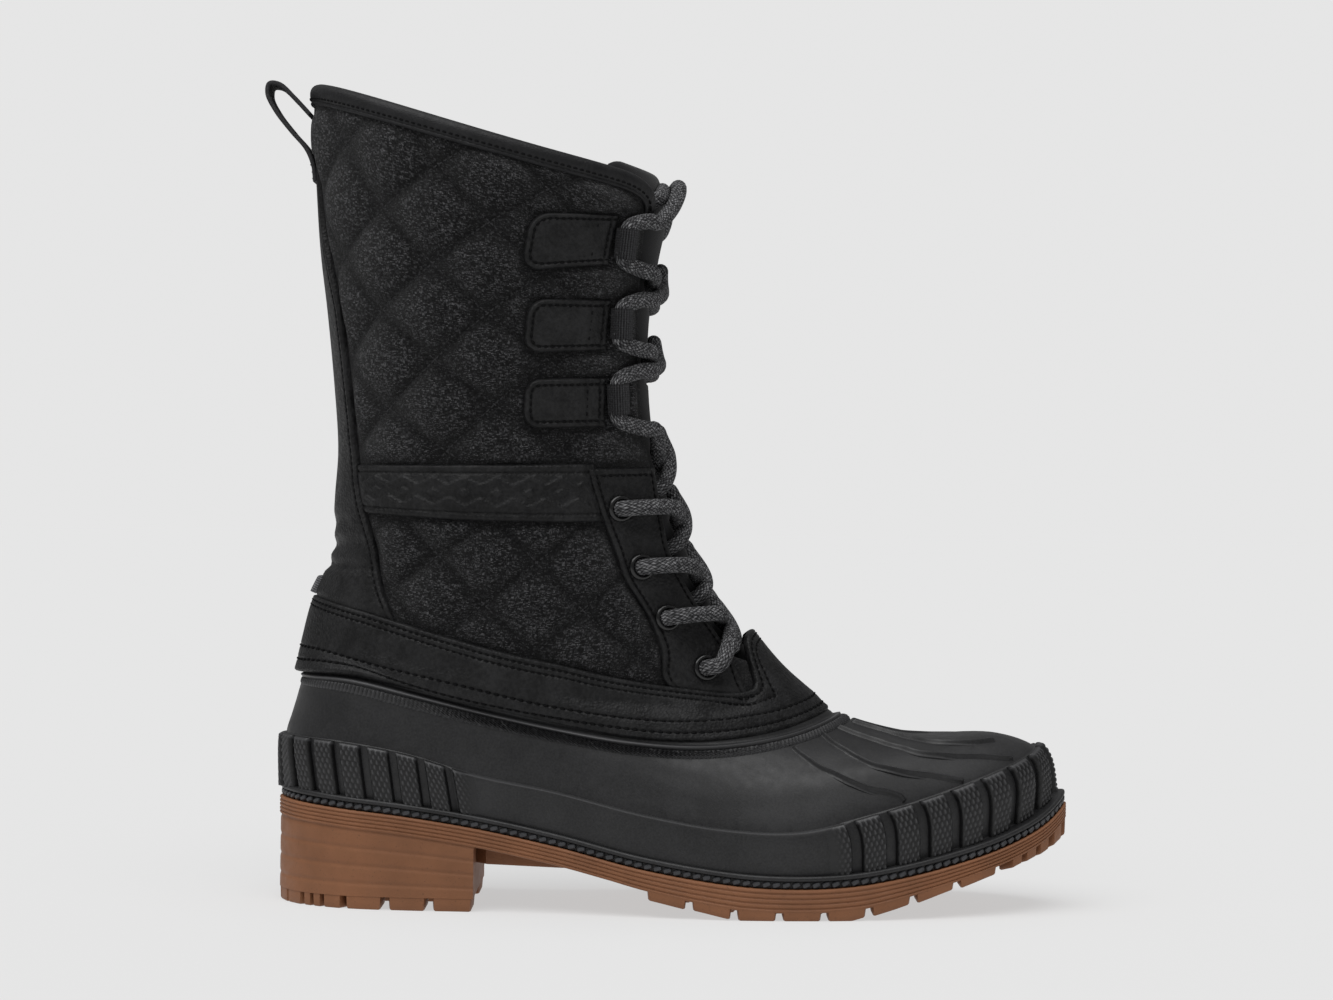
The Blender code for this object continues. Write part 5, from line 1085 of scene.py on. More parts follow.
@dataclass
class RubberFoot:
    """The moulded foot: foxing, dotted bumper blocks, vamp ridges, ribbed bead and the flange behind the leather."""

    last: Last
    finish: Material
    dotted: Material
    wall: float = 3.0
    columns: int = 560
    foxing: float = 1.2
    block: float = 2.4
    floor: float = 0.35
    block_bottom: float = 2.4
    # First groove, pitch, count and width, as distances from the front or the back
    toe: tuple[float, float, int, float] = (5.0, 12.6, 8, 3.6)
    heel: tuple[float, float, int, float] = (6.8, 10.2, 8, 2.6)
    fade: float = 8.0
    dots: tuple[float, float] = (1.9, 3.4)
    dot_height: float = 0.55
    # Slope and pitch of the bars at the very back
    slant: float = 0.8
    bar_pitch: float = 2.3
    cell: float = 0.33
    ridge_height: float = 1.4
    ridge_width: float = 0.8
    lip_level: float = 66.4
    lip: float = 1.75
    rib_pitch: float = 1.55
    rib_columns: int = 1690
    # Distance from the front and level along the vamp's ridges
    ridges: tuple[Table, ...] = (
        ((40.7, 62.0), (52.1, 52.6), (62.6, 43.4), (71.9, 34.1), (72.6, 29.2), (70.7, 26.8), (69.4, 24.4),
         (70.2, 21.9)),
        ((23.2, 63.6), (32.0, 57.0), (42.8, 47.7), (55.0, 37.0), (55.8, 31.7), (51.5, 27.3), (48.6, 24.4),
         (46.0, 21.9)),
        ((13.2, 63.8), (15.6, 60.4), (23.0, 51.6), (29.6, 44.8), (37.9, 36.4), (35.5, 31.2), (29.6, 27.3),
         (25.4, 24.4), (21.8, 22.4)),
        ((3.6, 63.0), (5.6, 56.5), (13.8, 48.2), (23.4, 38.7), (21.1, 33.6), (14.1, 30.7)))

    def rows(self) -> Array:
        """Levels of the outer rows, drawn closer at edges and at the bead."""
        stops = ((0.0, 1.6, 4), (1.6, 3.2, 6), (3.2, 18.8, 8), (18.8, 22.2, 14), (22.2, 60.0, 27),
                 (60.0, 71.0, 38), (71.0, self.last.rim, 4))
        return np.concatenate([np.linspace(a, b, n, endpoint=False) for a, b, n in stops] + [[self.last.rim]])

    def bumpers(self, turn: Array) -> Array:
        """1 along both bumpers, easing to 0 over the last block at either end."""
        zones, ways = [], self.last.distances(turn, self.last.bumper)
        for (first, pitch, count, width), near in zip((self.heel, self.toe), ways):
            end = first + (count - 1) * pitch + width / 2.0
            zones.append(1.0 - smooth_step(end - 0.6, end + 0.6, near))
        return np.maximum(*zones)

    def relief(self, turn: Array, level: Array) -> Array:
        """How far the rubber stands off the skin.

        The sum of the foxing's step with a thin edge, a sunk floor under the blocks, a lip over the bead
        and a mould seam at the back.

        Args:
            turn: Places round the foot.
            level: Places up it.

        Returns:
            Distances in millimetres.
        """
        last = self.last
        own_back, _ = last.distances(turn, level)
        zone, wide = self.bumpers(turn), last.stretch(turn, self.lip_level)
        up = smooth_step(self.block_bottom - 0.8, self.block_bottom + 0.2, level)
        up = up * (1.0 - smooth_step(last.bumper - 0.5, last.bumper + 0.3, level))
        away = self.foxing * (1.0 - smooth_step(last.bumper - 0.5, last.bumper + 0.5, level))
        away = away + up * zone * (self.floor - self.foxing)
        away = away + 0.45 * hump(level, last.bumper - 0.6, 0.5) * (1.0 - zone)
        away = away + (self.lip - 0.7 * np.abs(np.cos(math.pi * turn)) ** 8) * hump(level, self.lip_level, 0.72 * wide)
        away = away - 0.35 * hump(level, self.lip_level + 2.2 * wide, 0.9 * wide)
        return away + 0.35 * hump(own_back, 0.0, 0.6) * (1.0 - smooth_step(60.0, 66.0, level))

    def build(self) -> None:
        """The foot with its blocks, ridges and ribs: the skin plus a relief outside, and a plain wall inside."""
        last = self.last
        turns, rows = ring_turns(self.columns), self.rows()
        grid, levels = np.broadcast_arrays(turns[None, :], rows[:, None])
        outer = last.out(grid, levels, self.relief(grid, levels))
        outer[0, :, 2] = last.on_loop(last.rim_loop, turns)[:, 2] + last.feather_lift
        inside = np.array([last.rim, last.bead, last.vamp, last.shoulder, last.bumper, 0.0])
        inner = last.out(turns[None, :], inside[:, None], -self.wall)
        inner[-1, :, 2] = outer[0, :, 2]
        run = np.append(turns, 2.0) * float(last.girth(last.bumper, 0))
        ups = np.concatenate([rows, 2.0 * last.rim - inside + 3.0, [2.0 * last.rim + 6.0]])
        surface = Surface()
        wide = last.stretch(turns, self.lip_level)[None, :]
        # Painted highlight: the lip's top and the foxing's upper edge, which catch the light, take the paler crest
        # colour through the raised mark.
        wear_and_highlight = hump(levels, self.lip_level + 0.2 * wide, 0.5 * wide)
        wear_and_highlight = wear_and_highlight + 0.6 * hump(levels, last.bumper - 0.4, 0.4) * (1.0 - self.bumpers(grid))
        marks = np.concatenate([wear_and_highlight, np.zeros(inner.shape[:2])])
        surface.add_grid(np.concatenate([outer, inner]), flat_places(run[None, :], ups[:, None]), True, True, marks)
        hand_over(surface.build("rubber_foot", self.finish, mark="raised"), "black_rubber", "rubber_shell")
        self.pads()
        self.vamp_ridges()
        self.ribs()

    def pads(self) -> None:
        """The bumpers' blocks: patches with a rounded edge and raised dots, or slanted bars at the very back."""
        surface = Surface()
        for at_toe, (first, pitch, count, width) in ((True, self.toe), (False, self.heel)):
            gap, end = width / 2.0, first + (count - 1) * pitch + width / 2.0
            self.pad(surface, -first + gap, first - gap, at_toe, slant=0.0 if at_toe else self.slant)
            for side in Side:
                for number in range(count - 1):
                    low, high = first + number * pitch + gap, first + (number + 1) * pitch - gap
                    slant = 0.0 if at_toe or number else -self.slant
                    self.pad(surface, side.value * low, side.value * high, at_toe, slant=slant)
                self.pad(surface, side.value * end, side.value * (end + self.fade), at_toe, fade=True)
        hand_over(surface.build("bumper_blocks", self.dotted, 75.0, "raised"), "black_rubber")

    def pad(self, surface: Surface, start: float, end: float, at_toe: bool, fade: bool = False,
            slant: float = 0.0) -> None:
        """One block between two distances from the front or the back.

        Its height is a step with a quarter-round edge, plus a product of cosines for the dots, or a
        cosine of a slanted coordinate for the bars.

        Args:
            surface: The mesh that collects the blocks.
            start: Distance of one edge, negative on the lateral side.
            end: Distance of the other edge.
            at_toe: Whether distances are from the front.
            fade: Whether the block sinks into the foxing towards its end.
            slant: Slope of the bars, or 0 for dots.
        """
        last = self.last
        low, high = self.block_bottom, last.bumper + 0.1
        wide = abs(end - start)
        across = np.linspace(0.0, 1.0, int(wide / self.cell) + 2)[None, :]
        levels = np.linspace(low, high, int((high - low) / self.cell) + 2)[:, None]
        place = start + (end - start) * across + 0.0 * levels
        levels = levels + 0.0 * place
        turns = last.from_front(place, last.bumper) if at_toe else last.from_back(-place, last.bumper)
        beside = across * wide if fade else np.minimum(across, 1.0 - across) * wide
        edge = np.minimum(beside, np.minimum(levels - low + 2.0, (high - levels) * 0.8)) + 0.0 * levels
        if slant:
            dots = np.clip(np.cos(2.0 * math.pi * (levels + slant * np.abs(place)) / self.bar_pitch), 0.0, 1.0) ** 0.8
        else:
            across_dots, up_dots = (np.cos(2.0 * math.pi * v / step) for v, step in zip((place, levels), self.dots))
            dots = np.clip(across_dots * up_dots, 0.0, 1.0) ** 0.8
        sunk = smooth_step(0.1, 1.0, across) if fade else 0.0
        height = self.block * (1.0 - sunk) + (self.foxing + 0.02) * sunk
        away = 0.15 + (height - 0.15) * rounded(edge, 0.95, 0.3)
        dots = dots * smooth_step(0.45, 1.0, edge) * (1.0 - sunk)
        outer, inner = last.out(turns, levels, away + self.dot_height * dots), last.out(turns, levels, 0.05)
        # Painted highlight: the dots and the blocks' top edges take the paler crest colour through the raised mark, and
        # the sunk ends a little of it.
        marks = np.maximum(dots, 0.8 * hump(high - levels, 0.9, 0.5)) * (1.0 - sunk) + 0.17 * sunk
        surface.add_slab(outer, inner, flat_places(place, levels), marks=marks)

    def vamp_ridges(self) -> None:
        """The raised lines over the vamp: a bell-shaped section carried along each line of both sides."""
        last = self.last
        surface = Surface()
        for side in Side:
            for line in self.ridges:
                path = through(np.array(line), 150)
                turns = last.from_front(side.value * path[:, 0], path[:, 1])
                middle, up = even_spacing(last.skin(turns, path[:, 1]), 150), last.normal(turns, path[:, 1])
                beside = unit(np.cross(up, np.gradient(middle, axis=0)))
                across = np.linspace(-2.0, 2.0, 15)[:, None]
                run = np.linspace(0.0, np.linalg.norm(np.diff(middle, axis=0), axis=1).sum(), 150)
                taper = rounded(np.minimum(run, run[-1] - run), 1.5, 0.0)[None, :]
                away = self.ridge_height * hump(across, 0.0, self.ridge_width) * taper - 0.14
                sheet = middle[None] + beside[None] * across[..., None]
                outer, inner = sheet + up[None] * away[..., None], sheet - 0.8 * up[None]
                surface.add_slab(outer, inner, flat_places(run[None, :], across))
        hand_over(surface.build("vamp_ridges", self.finish, 60.0), "black_rubber")

    def ribs(self) -> None:
        """The bead's upright ribs: a rounded strip notched by a softened square wave along it."""
        last = self.last
        turns = np.arange(self.rib_columns) / self.rib_columns * 2.0
        wide = last.stretch(turns, self.lip_level)[None, :]
        middle = self.lip_level - 2.4 * wide
        level = middle + np.linspace(-1.8, 1.8, 7)[:, None] * wide
        grid = np.broadcast_to(turns[None, :], level.shape)
        back, _ = last.distances(grid, level)
        comb = smooth_step(-0.5, 0.5, np.cos(2.0 * math.pi * back / self.rib_pitch))
        fade = 0.5 + 0.5 * smooth_step(4.0, 90.0, back)
        crown = np.clip(1.0 - np.abs((level - middle) / (1.9 * wide)) ** 3, 0.02, 1.0)
        away = crown * (0.3 + 0.8 * comb * fade)
        # Painted light: the paler crest colour on the ribs' crests, and less of it in the notches between them, where
        # shade falls.
        marks = np.clip(1.0 - (1.0 - comb) * fade * crown, 0.0, 1.0) * 0.6
        outer, inner = last.out(grid, level, away), last.out(grid, level, -0.6)
        run = np.append(turns, 2.0) * 230.0
        surface = Surface()
        spots = flat_places(run[None, :], np.concatenate([level, level[:, :1]], axis=1))
        surface.add_slab(outer, inner, spots, ring=True, marks=marks)
        hand_over(surface.build("bead_ribs", self.dotted, 70.0, "raised"), "black_rubber")


@dataclass
class Welt:
    """The ring on the sole round the foot: a rounded lip over a row of slanted beads."""

    last: Last
    finish: Material
    bead: Material
    columns: int = 420
    pitch: float = 3.46
    inset: float = 0.5
    lift: float = 0.3
    height: float = 4.5
    clear: float = 1.3
    least_room: float = 1.4
    bead_size: tuple[float, float] = (2.9, 1.02)
    # Distance outside the edge, infinite where the ring meets the foot, and share of the height
    profile: Table = (
        (-math.inf, 0.0), (-1.6, 0.0), (-1.5, 0.1), (-1.5, 0.5), (-1.1, 0.56), (-0.35, 0.58), (-0.05, 0.66),
        (0.0, 0.78), (-0.12, 0.9), (-0.5, 0.98), (-1.0, 1.0), (-math.inf, 1.0))

    def build(self) -> None:
        """The ring, a profile of (out, rise) carried round the sole's edge, and its beads."""
        last = self.last
        turns = ring_turns(self.columns)
        edge = last.on_loop(last.rim_loop, turns)
        outward = sideways(ring_run(edge))
        foot = last.out(turns, 0.0, self.clear)
        room = np.maximum(np.einsum("ij,ij->i", (edge - foot) * np.array([1.0, 1.0, 0.0]), outward), self.least_room)
        rows = np.array(self.profile)
        across = np.where(np.isinf(rows[:, :1]), -room[None, :], rows[:, :1]) - self.inset
        rise = self.lift + rows[:, 1:2] * (self.height - self.lift)
        points = edge[None] + outward[None] * across[..., None] + UP * rise[..., None]
        run = run_length(edge)
        places = flat_places(np.append(run, run[-1] + 1.5)[None, :], np.arange(len(rows) + 1)[:, None] * 1.0)
        surface = Surface()
        surface.add_grid(points, places, wrap_rows=True, wrap_columns=True)
        hand_over(surface.build("welt_ring", self.finish), "black_rubber", "welt")
        self.beads()

    def beads(self) -> None:
        """Short slanted capsules at equal distances along the sole's edge."""
        last = self.last
        edge = last.on_loop(last.rim_loop, np.linspace(0.0, 2.0, 4001))
        count = int(np.linalg.norm(np.diff(edge, axis=0), axis=1).sum() / self.pitch)
        spots = even_spacing(edge, count + 1)[:-1]
        outward, along = sideways(ring_run(spots)), unit(ring_run(spots))
        upward = unit(np.cross(outward, along))
        upward = upward * np.sign(upward[:, 2:])
        at = spots - outward * (self.inset + 0.95) + UP * (self.lift + 1.15)
        surface = Surface()
        capsules(surface, at, unit(along + 0.4 * upward), outward, *self.bead_size, 0.0)
        hand_over(surface.build("welt_beads", self.bead), "black_rubber")


@dataclass
class Sole:
    """The gum sole: a grooved plate, an arch wedge, tread lugs and a softly stepped heel, with the felt insole."""

    last: Last
    finish: Material
    felt: Material
    halves: int = 210
    # Along and thickness of the plate
    thick: Table = ((0, 6.4), (120, 6.4), (142, 7.4), (165, 8.2), (208, 8.0), (226, 6.6), (250, 5.6), (282, 5.3))
    grooves: tuple[int, float, float, float] = (4, 1.2, 1.35, 0.42)
    # Start, pitch, root length, count and reach of the edge lugs
    lugs: tuple[float, float, float, int, float] = (132.0, 15.5, 13.5, 8, 15.0)
    chevron: float = 4.5
    # How far lugs reach into what carries them
    root: float = 0.6
    # Along and across of the arch wedge and of the heel's middle pad
    wedge: Table = ((71.0, -22.0), (112.0, -20.0), (112.0, 20.0), (71.0, 22.0))
    heel_pad: Table = ((22.0, -9.0), (64.0, -9.0), (64.0, 9.0), (22.0, 9.0))
    wedge_foot: float = 15.2
    # Reach inwards of toe teeth, heel teeth and heel lugs
    toe_reach: float = 8.0
    heel_reach: float = 9.0
    heel_lug_reach: float = 19.0
    breast: float = 71.5
    heel_foot: float = 4.5
    heel_step: float = 6.7
    heel_lugs: Table = ((26.8, 39.7), (42.0, 55.1), (57.4, 71.3))
    # Middle and width along the outline, from the back, of the lugs and teeth round the heel
    heel_teeth: Table = ((0.0, 8.6), (9.9, 8.6), (19.6, 8.8), (27.5, 3.1), (32.1, 3.1), (38.7, 7.0))
    toe_teeth: Table = ((0.0, 6.0), (11.0, 6.2), (20.4, 5.4), (27.8, 4.8), (34.8, 4.4))

    def edge_y(self, along: Array, side: Side) -> Array:
        """Where the outline lies across the boot."""
        half = self.last.rim_loop[0 if side is Side.LATERAL else 1]
        return np.interp(along, half[:, 0], half[:, 1])

    def bottom(self, along: Array) -> Array:
        """Height of the plate's underside."""
        top = np.interp(along, self.last.rim_loop[0][:, 0], self.last.rim_loop[0][:, 2])
        return top - read_table(self.thick, along, 1)

    def tread(self, along: Array) -> Array:
        """Height of the tread line."""
        return read_table(self.last.sole, along, 4)

    def plate(self, surface: Surface) -> None:
        """The plate: rows of (depth, inset) carried round the outline, closed across its top and bottom."""
        last, n = self.last, self.halves
        edge = last.on_loop(last.rim_loop, ring_turns(2 * n))
        outward = sideways(ring_run(edge))
        count, start, pitch, depth = self.grooves
        rows = [(0.0, 0.7), (0.12, 0.25), (0.45, 0.0)]
        for number in range(count):
            middle = start + number * pitch
            rows += [(middle + step, depth * share)
                     for step, share in ((-0.42, 0.0), (-0.2, 0.7), (0.0, 1.0), (0.2, 0.7), (0.42, 0.0))]
        rows += [(5.9, 0.0), (6.25, 0.2), (6.4, 0.7)]
        depth, inset = np.array(rows).T
        fall = (edge[:, 2] - self.bottom(edge[:, 0])) / self.thick[0][1]
        points = edge[None] - outward[None] * inset[:, None, None]
        points[..., 2] = edge[None, :, 2] - depth[:, None] * fall[None, :]
        length = run_length(edge)
        places = flat_places(np.append(length, length[-1] + 1.5)[None, :], depth[:, None])
        first = surface.add_grid(points, places, wrap_columns=True)
        i = np.arange(1, n - 1)
        rung = np.stack([i, i + 1, 2 * n - i - 1, 2 * n - i], axis=1)
        tips = np.array([(0, 1, 2 * n - 1), (n - 1, n, n + 1)])
        low = first + (len(rows) - 1) * 2 * n
        for faces in (rung, tips):
            surface.add_faces(faces[:, ::-1] + first)
            surface.add_faces(faces + low)

    def lug(self, surface: Surface, corners: Array, top: Array, foot: Array, draft: float = 1.1) -> None:
        """One lug: its plan with cut corners, walls drawn in along the boot towards a bevelled foot.

        Args:
            surface: The mesh that collects the lugs.
            corners: Plan of the lug at its root.
            top: Heights of its root at the corners.
            foot: Heights of its foot.
            draft: How far each end wall draws in.
        """
        values = np.column_stack([corners, top, foot])
        after = np.roll(values, -1, axis=0)
        plan = np.stack([values * 0.9 + after * 0.1, values * 0.1 + after * 0.9], axis=1).reshape(-1, 4)
        centre = plan.mean(axis=0)
        reach = np.ptp(plan[:, 0]) / 2.0
        rings = []
        for part, bevel in ((0.0, 0.0), (0.5, 0.0), (0.88, 0.0), (0.97, 0.25), (1.0, 0.6)):
            ring = plan.copy()
            ring[:, 0] = centre[0] + (plan[:, 0] - centre[0]) * (1.0 - min(draft * part / reach, 0.6))
            away = ring[:, :2] - centre[:2]
            ring[:, :2] = ring[:, :2] - unit(away) * bevel
            rings.append(np.column_stack([ring[:, :2], plan[:, 2] + (plan[:, 3] - plan[:, 2]) * part]))
        rings = np.stack(rings)
        surface.add_tube(rings, np.zeros((*rings.shape[:1], rings.shape[1] + 1, 2)))

    def edge_lug(self, surface: Surface, start: float, end: float, side: Side, reach: float, at_heel: bool) -> None:
        """A lug flush with the sole's side."""
        xs = np.linspace(start, end, 4)
        outer = self.edge_y(xs, side) - side.value * (0.55 if at_heel else 0.12)
        inner = outer - side.value * reach
        corners = np.concatenate([np.column_stack([xs, outer]), np.column_stack([xs, inner])[::-1]])
        self.lug(surface, corners, *self.heights(corners[:, 0], at_heel), draft=0.4)

    def heights(self, along: Array, at_heel: bool) -> tuple[Array, Array]:
        """Heights of lugs' roots and feet."""
        if at_heel:
            return np.full(len(along), self.heel_foot + self.root), np.zeros(len(along))
        return self.bottom(along) + self.root, np.minimum(self.tread(along), self.bottom(along) - 0.4)

    def tooth(self, surface: Surface, place: float, width: float, reach: float, at_heel: bool) -> None:
        """A lug square to the outline, at a distance along it from the back or from the tip."""
        lateral, medial = self.last.rim_loop
        ring = np.concatenate([lateral, medial[-2:0:-1], lateral[:1]])
        run = run_length(ring[:, :2])
        tip = 0.0 if at_heel else run[HALF_SAMPLES - 1]
        stops = np.mod(tip + place + np.linspace(-0.5, 0.5, 4) * width, run[-1])
        spots = read_along(ring[:, :2], run, stops)
        along = unit(spots[-1:] - spots[:1])
        inward = np.column_stack([-along[:, 1], along[:, 0]])
        near = spots + inward * (0.6 if at_heel else 0.2)
        far = np.stack([near[0], near[-1]]) + inward * reach
        corners = np.concatenate([near, far[::-1]])
        self.lug(surface, corners, *self.heights(corners[:, 0], at_heel), draft=0.25)

    def outsole(self) -> None:
        """The plate with its wedge and tread."""
        surface = Surface()
        self.plate(surface)
        start, pitch, length, count, reach = self.lugs
        for number in range(count):
            for side in Side:
                self.edge_lug(surface, start + number * pitch, start + number * pitch + length, side, reach, False)
        for number in range(count - 1):
            back, front = start + (number + 0.35) * pitch, start + (number + 0.95) * pitch
            low, high = (float(self.edge_y(np.array([back]), side)[0]) - side.value * (reach + 3.0) for side in Side)
            middle = (low + high) / 2.0
            corners = np.array([(back, low), (front, low), (front + self.chevron, middle), (front, high), (back, high),
                                (back + self.chevron, middle)])
            self.lug(surface, corners, *self.heights(corners[:, 0], False), draft=0.8)
        for place, width in self.toe_teeth:
            for sign in (-1.0, 1.0) if place else (1.0,):
                self.tooth(surface, sign * place, width, self.toe_reach, False)
        wedge = np.array(self.wedge)
        foot = np.where(wedge[:, 0] < wedge[:, 0].mean(), self.wedge_foot, self.bottom(wedge[:, 0]) - self.root)
        self.lug(surface, wedge, self.bottom(wedge[:, 0]) + self.root, foot, draft=0.0)
        hand_over(surface.build("gum_plate", self.finish, 38.0), "gum_rubber", "outsole")

    def heel(self) -> None:
        """The heel: soft grooves round its wall, a square breast, and its own lugs and teeth."""
        last = self.last
        ends = [np.interp(self.breast, half[:, 0], np.linspace(0.0, 1.0, HALF_SAMPLES)) for half in last.rim_loop]
        turns = np.linspace(-ends[1], ends[0], 190)
        edge = last.on_loop(last.rim_loop, turns)
        outward = sideways(np.gradient(edge, axis=0))
        top = self.bottom(edge[:, 0]) + 0.5
        part = np.linspace(0.0, 1.0, 60)[:, None]
        height = top[None, :] + (self.heel_foot - top[None, :]) * part
        depth = (top[None, :] - height) * (26.0 / (top[None, :] - self.heel_foot))
        inset = 0.4 + 0.32 * hump(np.mod(depth + 2.4, self.heel_step), self.heel_step / 2.0, 0.75)
        points = edge[None] - outward[None] * inset[..., None]
        points[..., 2] = height
        surface = Surface()
        length = run_length(edge)
        surface.add_tube(points, flat_places(np.append(length, length[-1] + 72.0)[None, :], height[:, :1] + 0.0 * part))
        for start, end in self.heel_lugs:
            for side in Side:
                self.edge_lug(surface, start, end, side, self.heel_lug_reach, True)
        for place, width in self.heel_teeth:
            for sign in (-1.0, 1.0) if place else (1.0,):
                self.tooth(surface, sign * place, width, self.heel_reach, True)
        pad = np.array(self.heel_pad)
        self.lug(surface, pad, *self.heights(pad[:, 0], True))
        hand_over(surface.build("gum_heel", self.finish, 38.0), "gum_rubber", "heel_block")

    def insole(self) -> None:
        """The felt insole: straight lines across between the foot's two walls, slightly dished, with a soft edge."""
        last = self.last
        turns = 0.5 - 0.5 * np.cos(np.linspace(0.16, math.pi - 0.16, 130))
        left, right = last.out(turns, 0.0, -4.4), last.out(2.0 - turns, 0.0, -4.4)
        across = np.linspace(0.0, 1.0, 40)[None, :, None]
        base = left[:, None] * (1.0 - across) + right[:, None] * across
        wide = np.linalg.norm(right - left, axis=1)[:, None]
        edge = np.minimum(across[..., 0], 1.0 - across[..., 0]) * wide
        rise = 0.9 + 3.6 * rounded(edge, 2.0, 0.3) - 0.5 * smooth_step(3.0, 22.0, edge)
        surface = Surface()
        surface.add_slab(base + UP * rise[..., None], base + UP * 0.8, flat_places(base[..., 0], base[..., 1]))
        hand_over(surface.build("felt_insole", self.felt), "felt", "insole")

    def build(self) -> None:
        """Plate, heel and insole."""
        self.outsole()
        self.heel()
        self.insole()


@dataclass
class Shaft:
    """The quilted upper and its fleece lining."""

    last: Last
    cloth: Material
    lining: Material
    stitching: Stitching
    columns: int = 262
    rows: int = 190
    puff: float = 3.3
    # Middle distance from the front, its shear with level, middle level, width and height of the diamonds
    upper_diamonds: tuple[float, ...] = (103.3, 0.14, 215.0, 39.0, 31.9)
    lower_diamonds: tuple[float, ...] = (92.2, -0.5, 129.5, 34.5, 31.0)
    # Levels between the two lattices and above the facings
    lattice_split: float = 153.0
    facing_top: float = 163.0
    # Width, depth and first level of the flaps' cut top corners
    corner: Triple = (8.0, 3.2, 255.0)

    def diamonds(self, front: Array, level: Array, sizes: tuple[float, ...]) -> Array:
        """Diamonds of a lattice, 1 in the middle and 0 on a seam: the product of cosines along its diagonals."""
        middle, shear, height, wide, tall = sizes
        x = (front - middle - shear * (level - height)) / wide
        y = (level - height) / tall
        return np.abs(np.cos(math.pi * (x + y)) * np.cos(math.pi * (x - y)))

    def open_share(self, turn: Array, level: Array) -> Array:
        """1 where the cloth is free, easing to 0 at the edges of what is sewn on it."""
        last = self.last
        back, front = last.distances(turn, level)
        stay = read_table(last.backstay, level, 1)
        share = smooth_step(0.0, 5.0, np.where(level < last.backstay[-1][0] + 2.0, back - stay, 5.0))
        facing = np.where(level < self.facing_top, read_table(last.eyestay, level, 2), last.slot_half(level) + 2.0)
        share = share * smooth_step(0.0, 5.0, front - facing)
        share = share * smooth_step(0.0, 6.0, level - last.band_top(turn))
        low, high = last.side_band
        share = share * smooth_step(0.0, 5.0, np.maximum(low - level, level - high))
        share = share * smooth_step(0.0, 6.0, last.collar - level)
        for back_level, front_level, rear, fore, half in last.tabs:
            part = np.clip((rear - front) / (rear - fore), 0.0, 1.0)
            beside = np.maximum(front - rear, fore - front)
            above = np.abs(level - back_level - (front_level - back_level) * part) - half
            share = share * smooth_step(0.0, 4.0, np.maximum(beside, above))
        return share

    def cut_corner(self, turns: Array, levels: Array) -> Array:
        """Levels of a grid, lowered by a parabola at the flaps' top corners."""
        wide, deep, start = self.corner
        rows = levels[:, None]
        _, front = self.last.distances(turns, rows)
        near = 1.0 - np.clip((front - self.last.slot_half(rows)) / wide, 0.0, 1.0)
        return rows - deep * near ** 2 * smooth_step(start, self.last.collar, rows)

    def build(self) -> None:
        """The upper and its lining, each a closed sheet from flap to flap, and the quilting seams."""
        last = self.last
        levels = np.linspace(last.rim + 1.5, last.collar, self.rows)
        turns = last.slot_turns(levels, np.linspace(-1.0, 1.0, self.columns), 0.5)
        grid = self.cut_corner(turns, levels)
        back, front = last.distances(turns, grid)
        puffed = np.where(grid < self.lattice_split, self.diamonds(front, grid, self.lower_diamonds),
                          self.diamonds(front, grid, self.upper_diamonds))
        share = self.open_share(turns, grid)
        edge = 1.0 - rounded(np.abs(front - np.maximum(last.slot_half(grid), 0.5)), 1.2, 0.0)
        away = share * (self.puff * puffed ** 0.62 - 0.25) - 0.8 * edge
        # Painted shade: the cloth's colour darkens where this mark is high, in the quilting valleys and where the cloth
        # runs in under the overlays.
        seam_shade = 1.0 - smooth_step(0.0, 0.45, puffed) * smooth_step(0.0, 0.3, share)
        side = np.where(fold(turns)[1], 1.0, -1.0)
        surface = Surface()
        surface.add_slab(last.out(turns, grid, away), last.out(turns, grid, -last.upper_wall),
                         flat_places(side * back, grid), marks=seam_shade)
        hand_over(surface.build("quilted_upper", self.cloth, 60.0, "seam_shade"), "quilted_fabric", "upper")
        levels = np.linspace(last.rim + 4.0, last.collar + 1.0, 72)
        turns = last.slot_turns(levels, np.linspace(-1.0, 1.0, 100), 0.9)
        grid = self.cut_corner(turns, levels)
        back, front = last.distances(turns, grid)
        surface = Surface()
        surface.add_slab(last.out(turns, grid, -last.upper_wall - 0.95), last.out(turns, grid, -last.upper_wall - 0.05),
                         flat_places(back, grid))
        hand_over(surface.build("fleece_lining", self.lining), "felt")
        self.quilting()

    def quilting(self) -> None:
        """Stitches along the straight seams between the diamonds, wherever the cloth is free."""
        last = self.last
        surface = Surface()
        for sizes, low, high in ((self.lower_diamonds, 100.0, 142.0), (self.upper_diamonds, 164.0, last.collar - 1.0)):
            middle, shear, height, wide, tall = sizes
            levels = np.linspace(low, high, 400)
            up = levels - height
            for slope, number in itertools.product((-1.0, 1.0), range(-7, 8)):
                front = middle + shear * up + wide * (number + 0.5 + slope * up / tall)
                inside = (front > 0.0) & (front < last.girth(levels, 0) - 1.0)
                for side in Side:
                    turns = last.from_front(side.value * np.where(inside, front, 40.0), levels)
                    free = np.flatnonzero(inside & (self.open_share(turns, levels) > 0.5))
                    for some in np.split(free, np.flatnonzero(np.diff(free) > 1) + 1):
                        if len(some) > 20:
                            at = turns[some], levels[some]
                            self.stitching.lay(surface, last.out(*at, -0.1), last.normal(*at), 0.9)
        hand_over(surface.build("quilting_seams", self.stitching.finish), "quilted_fabric")


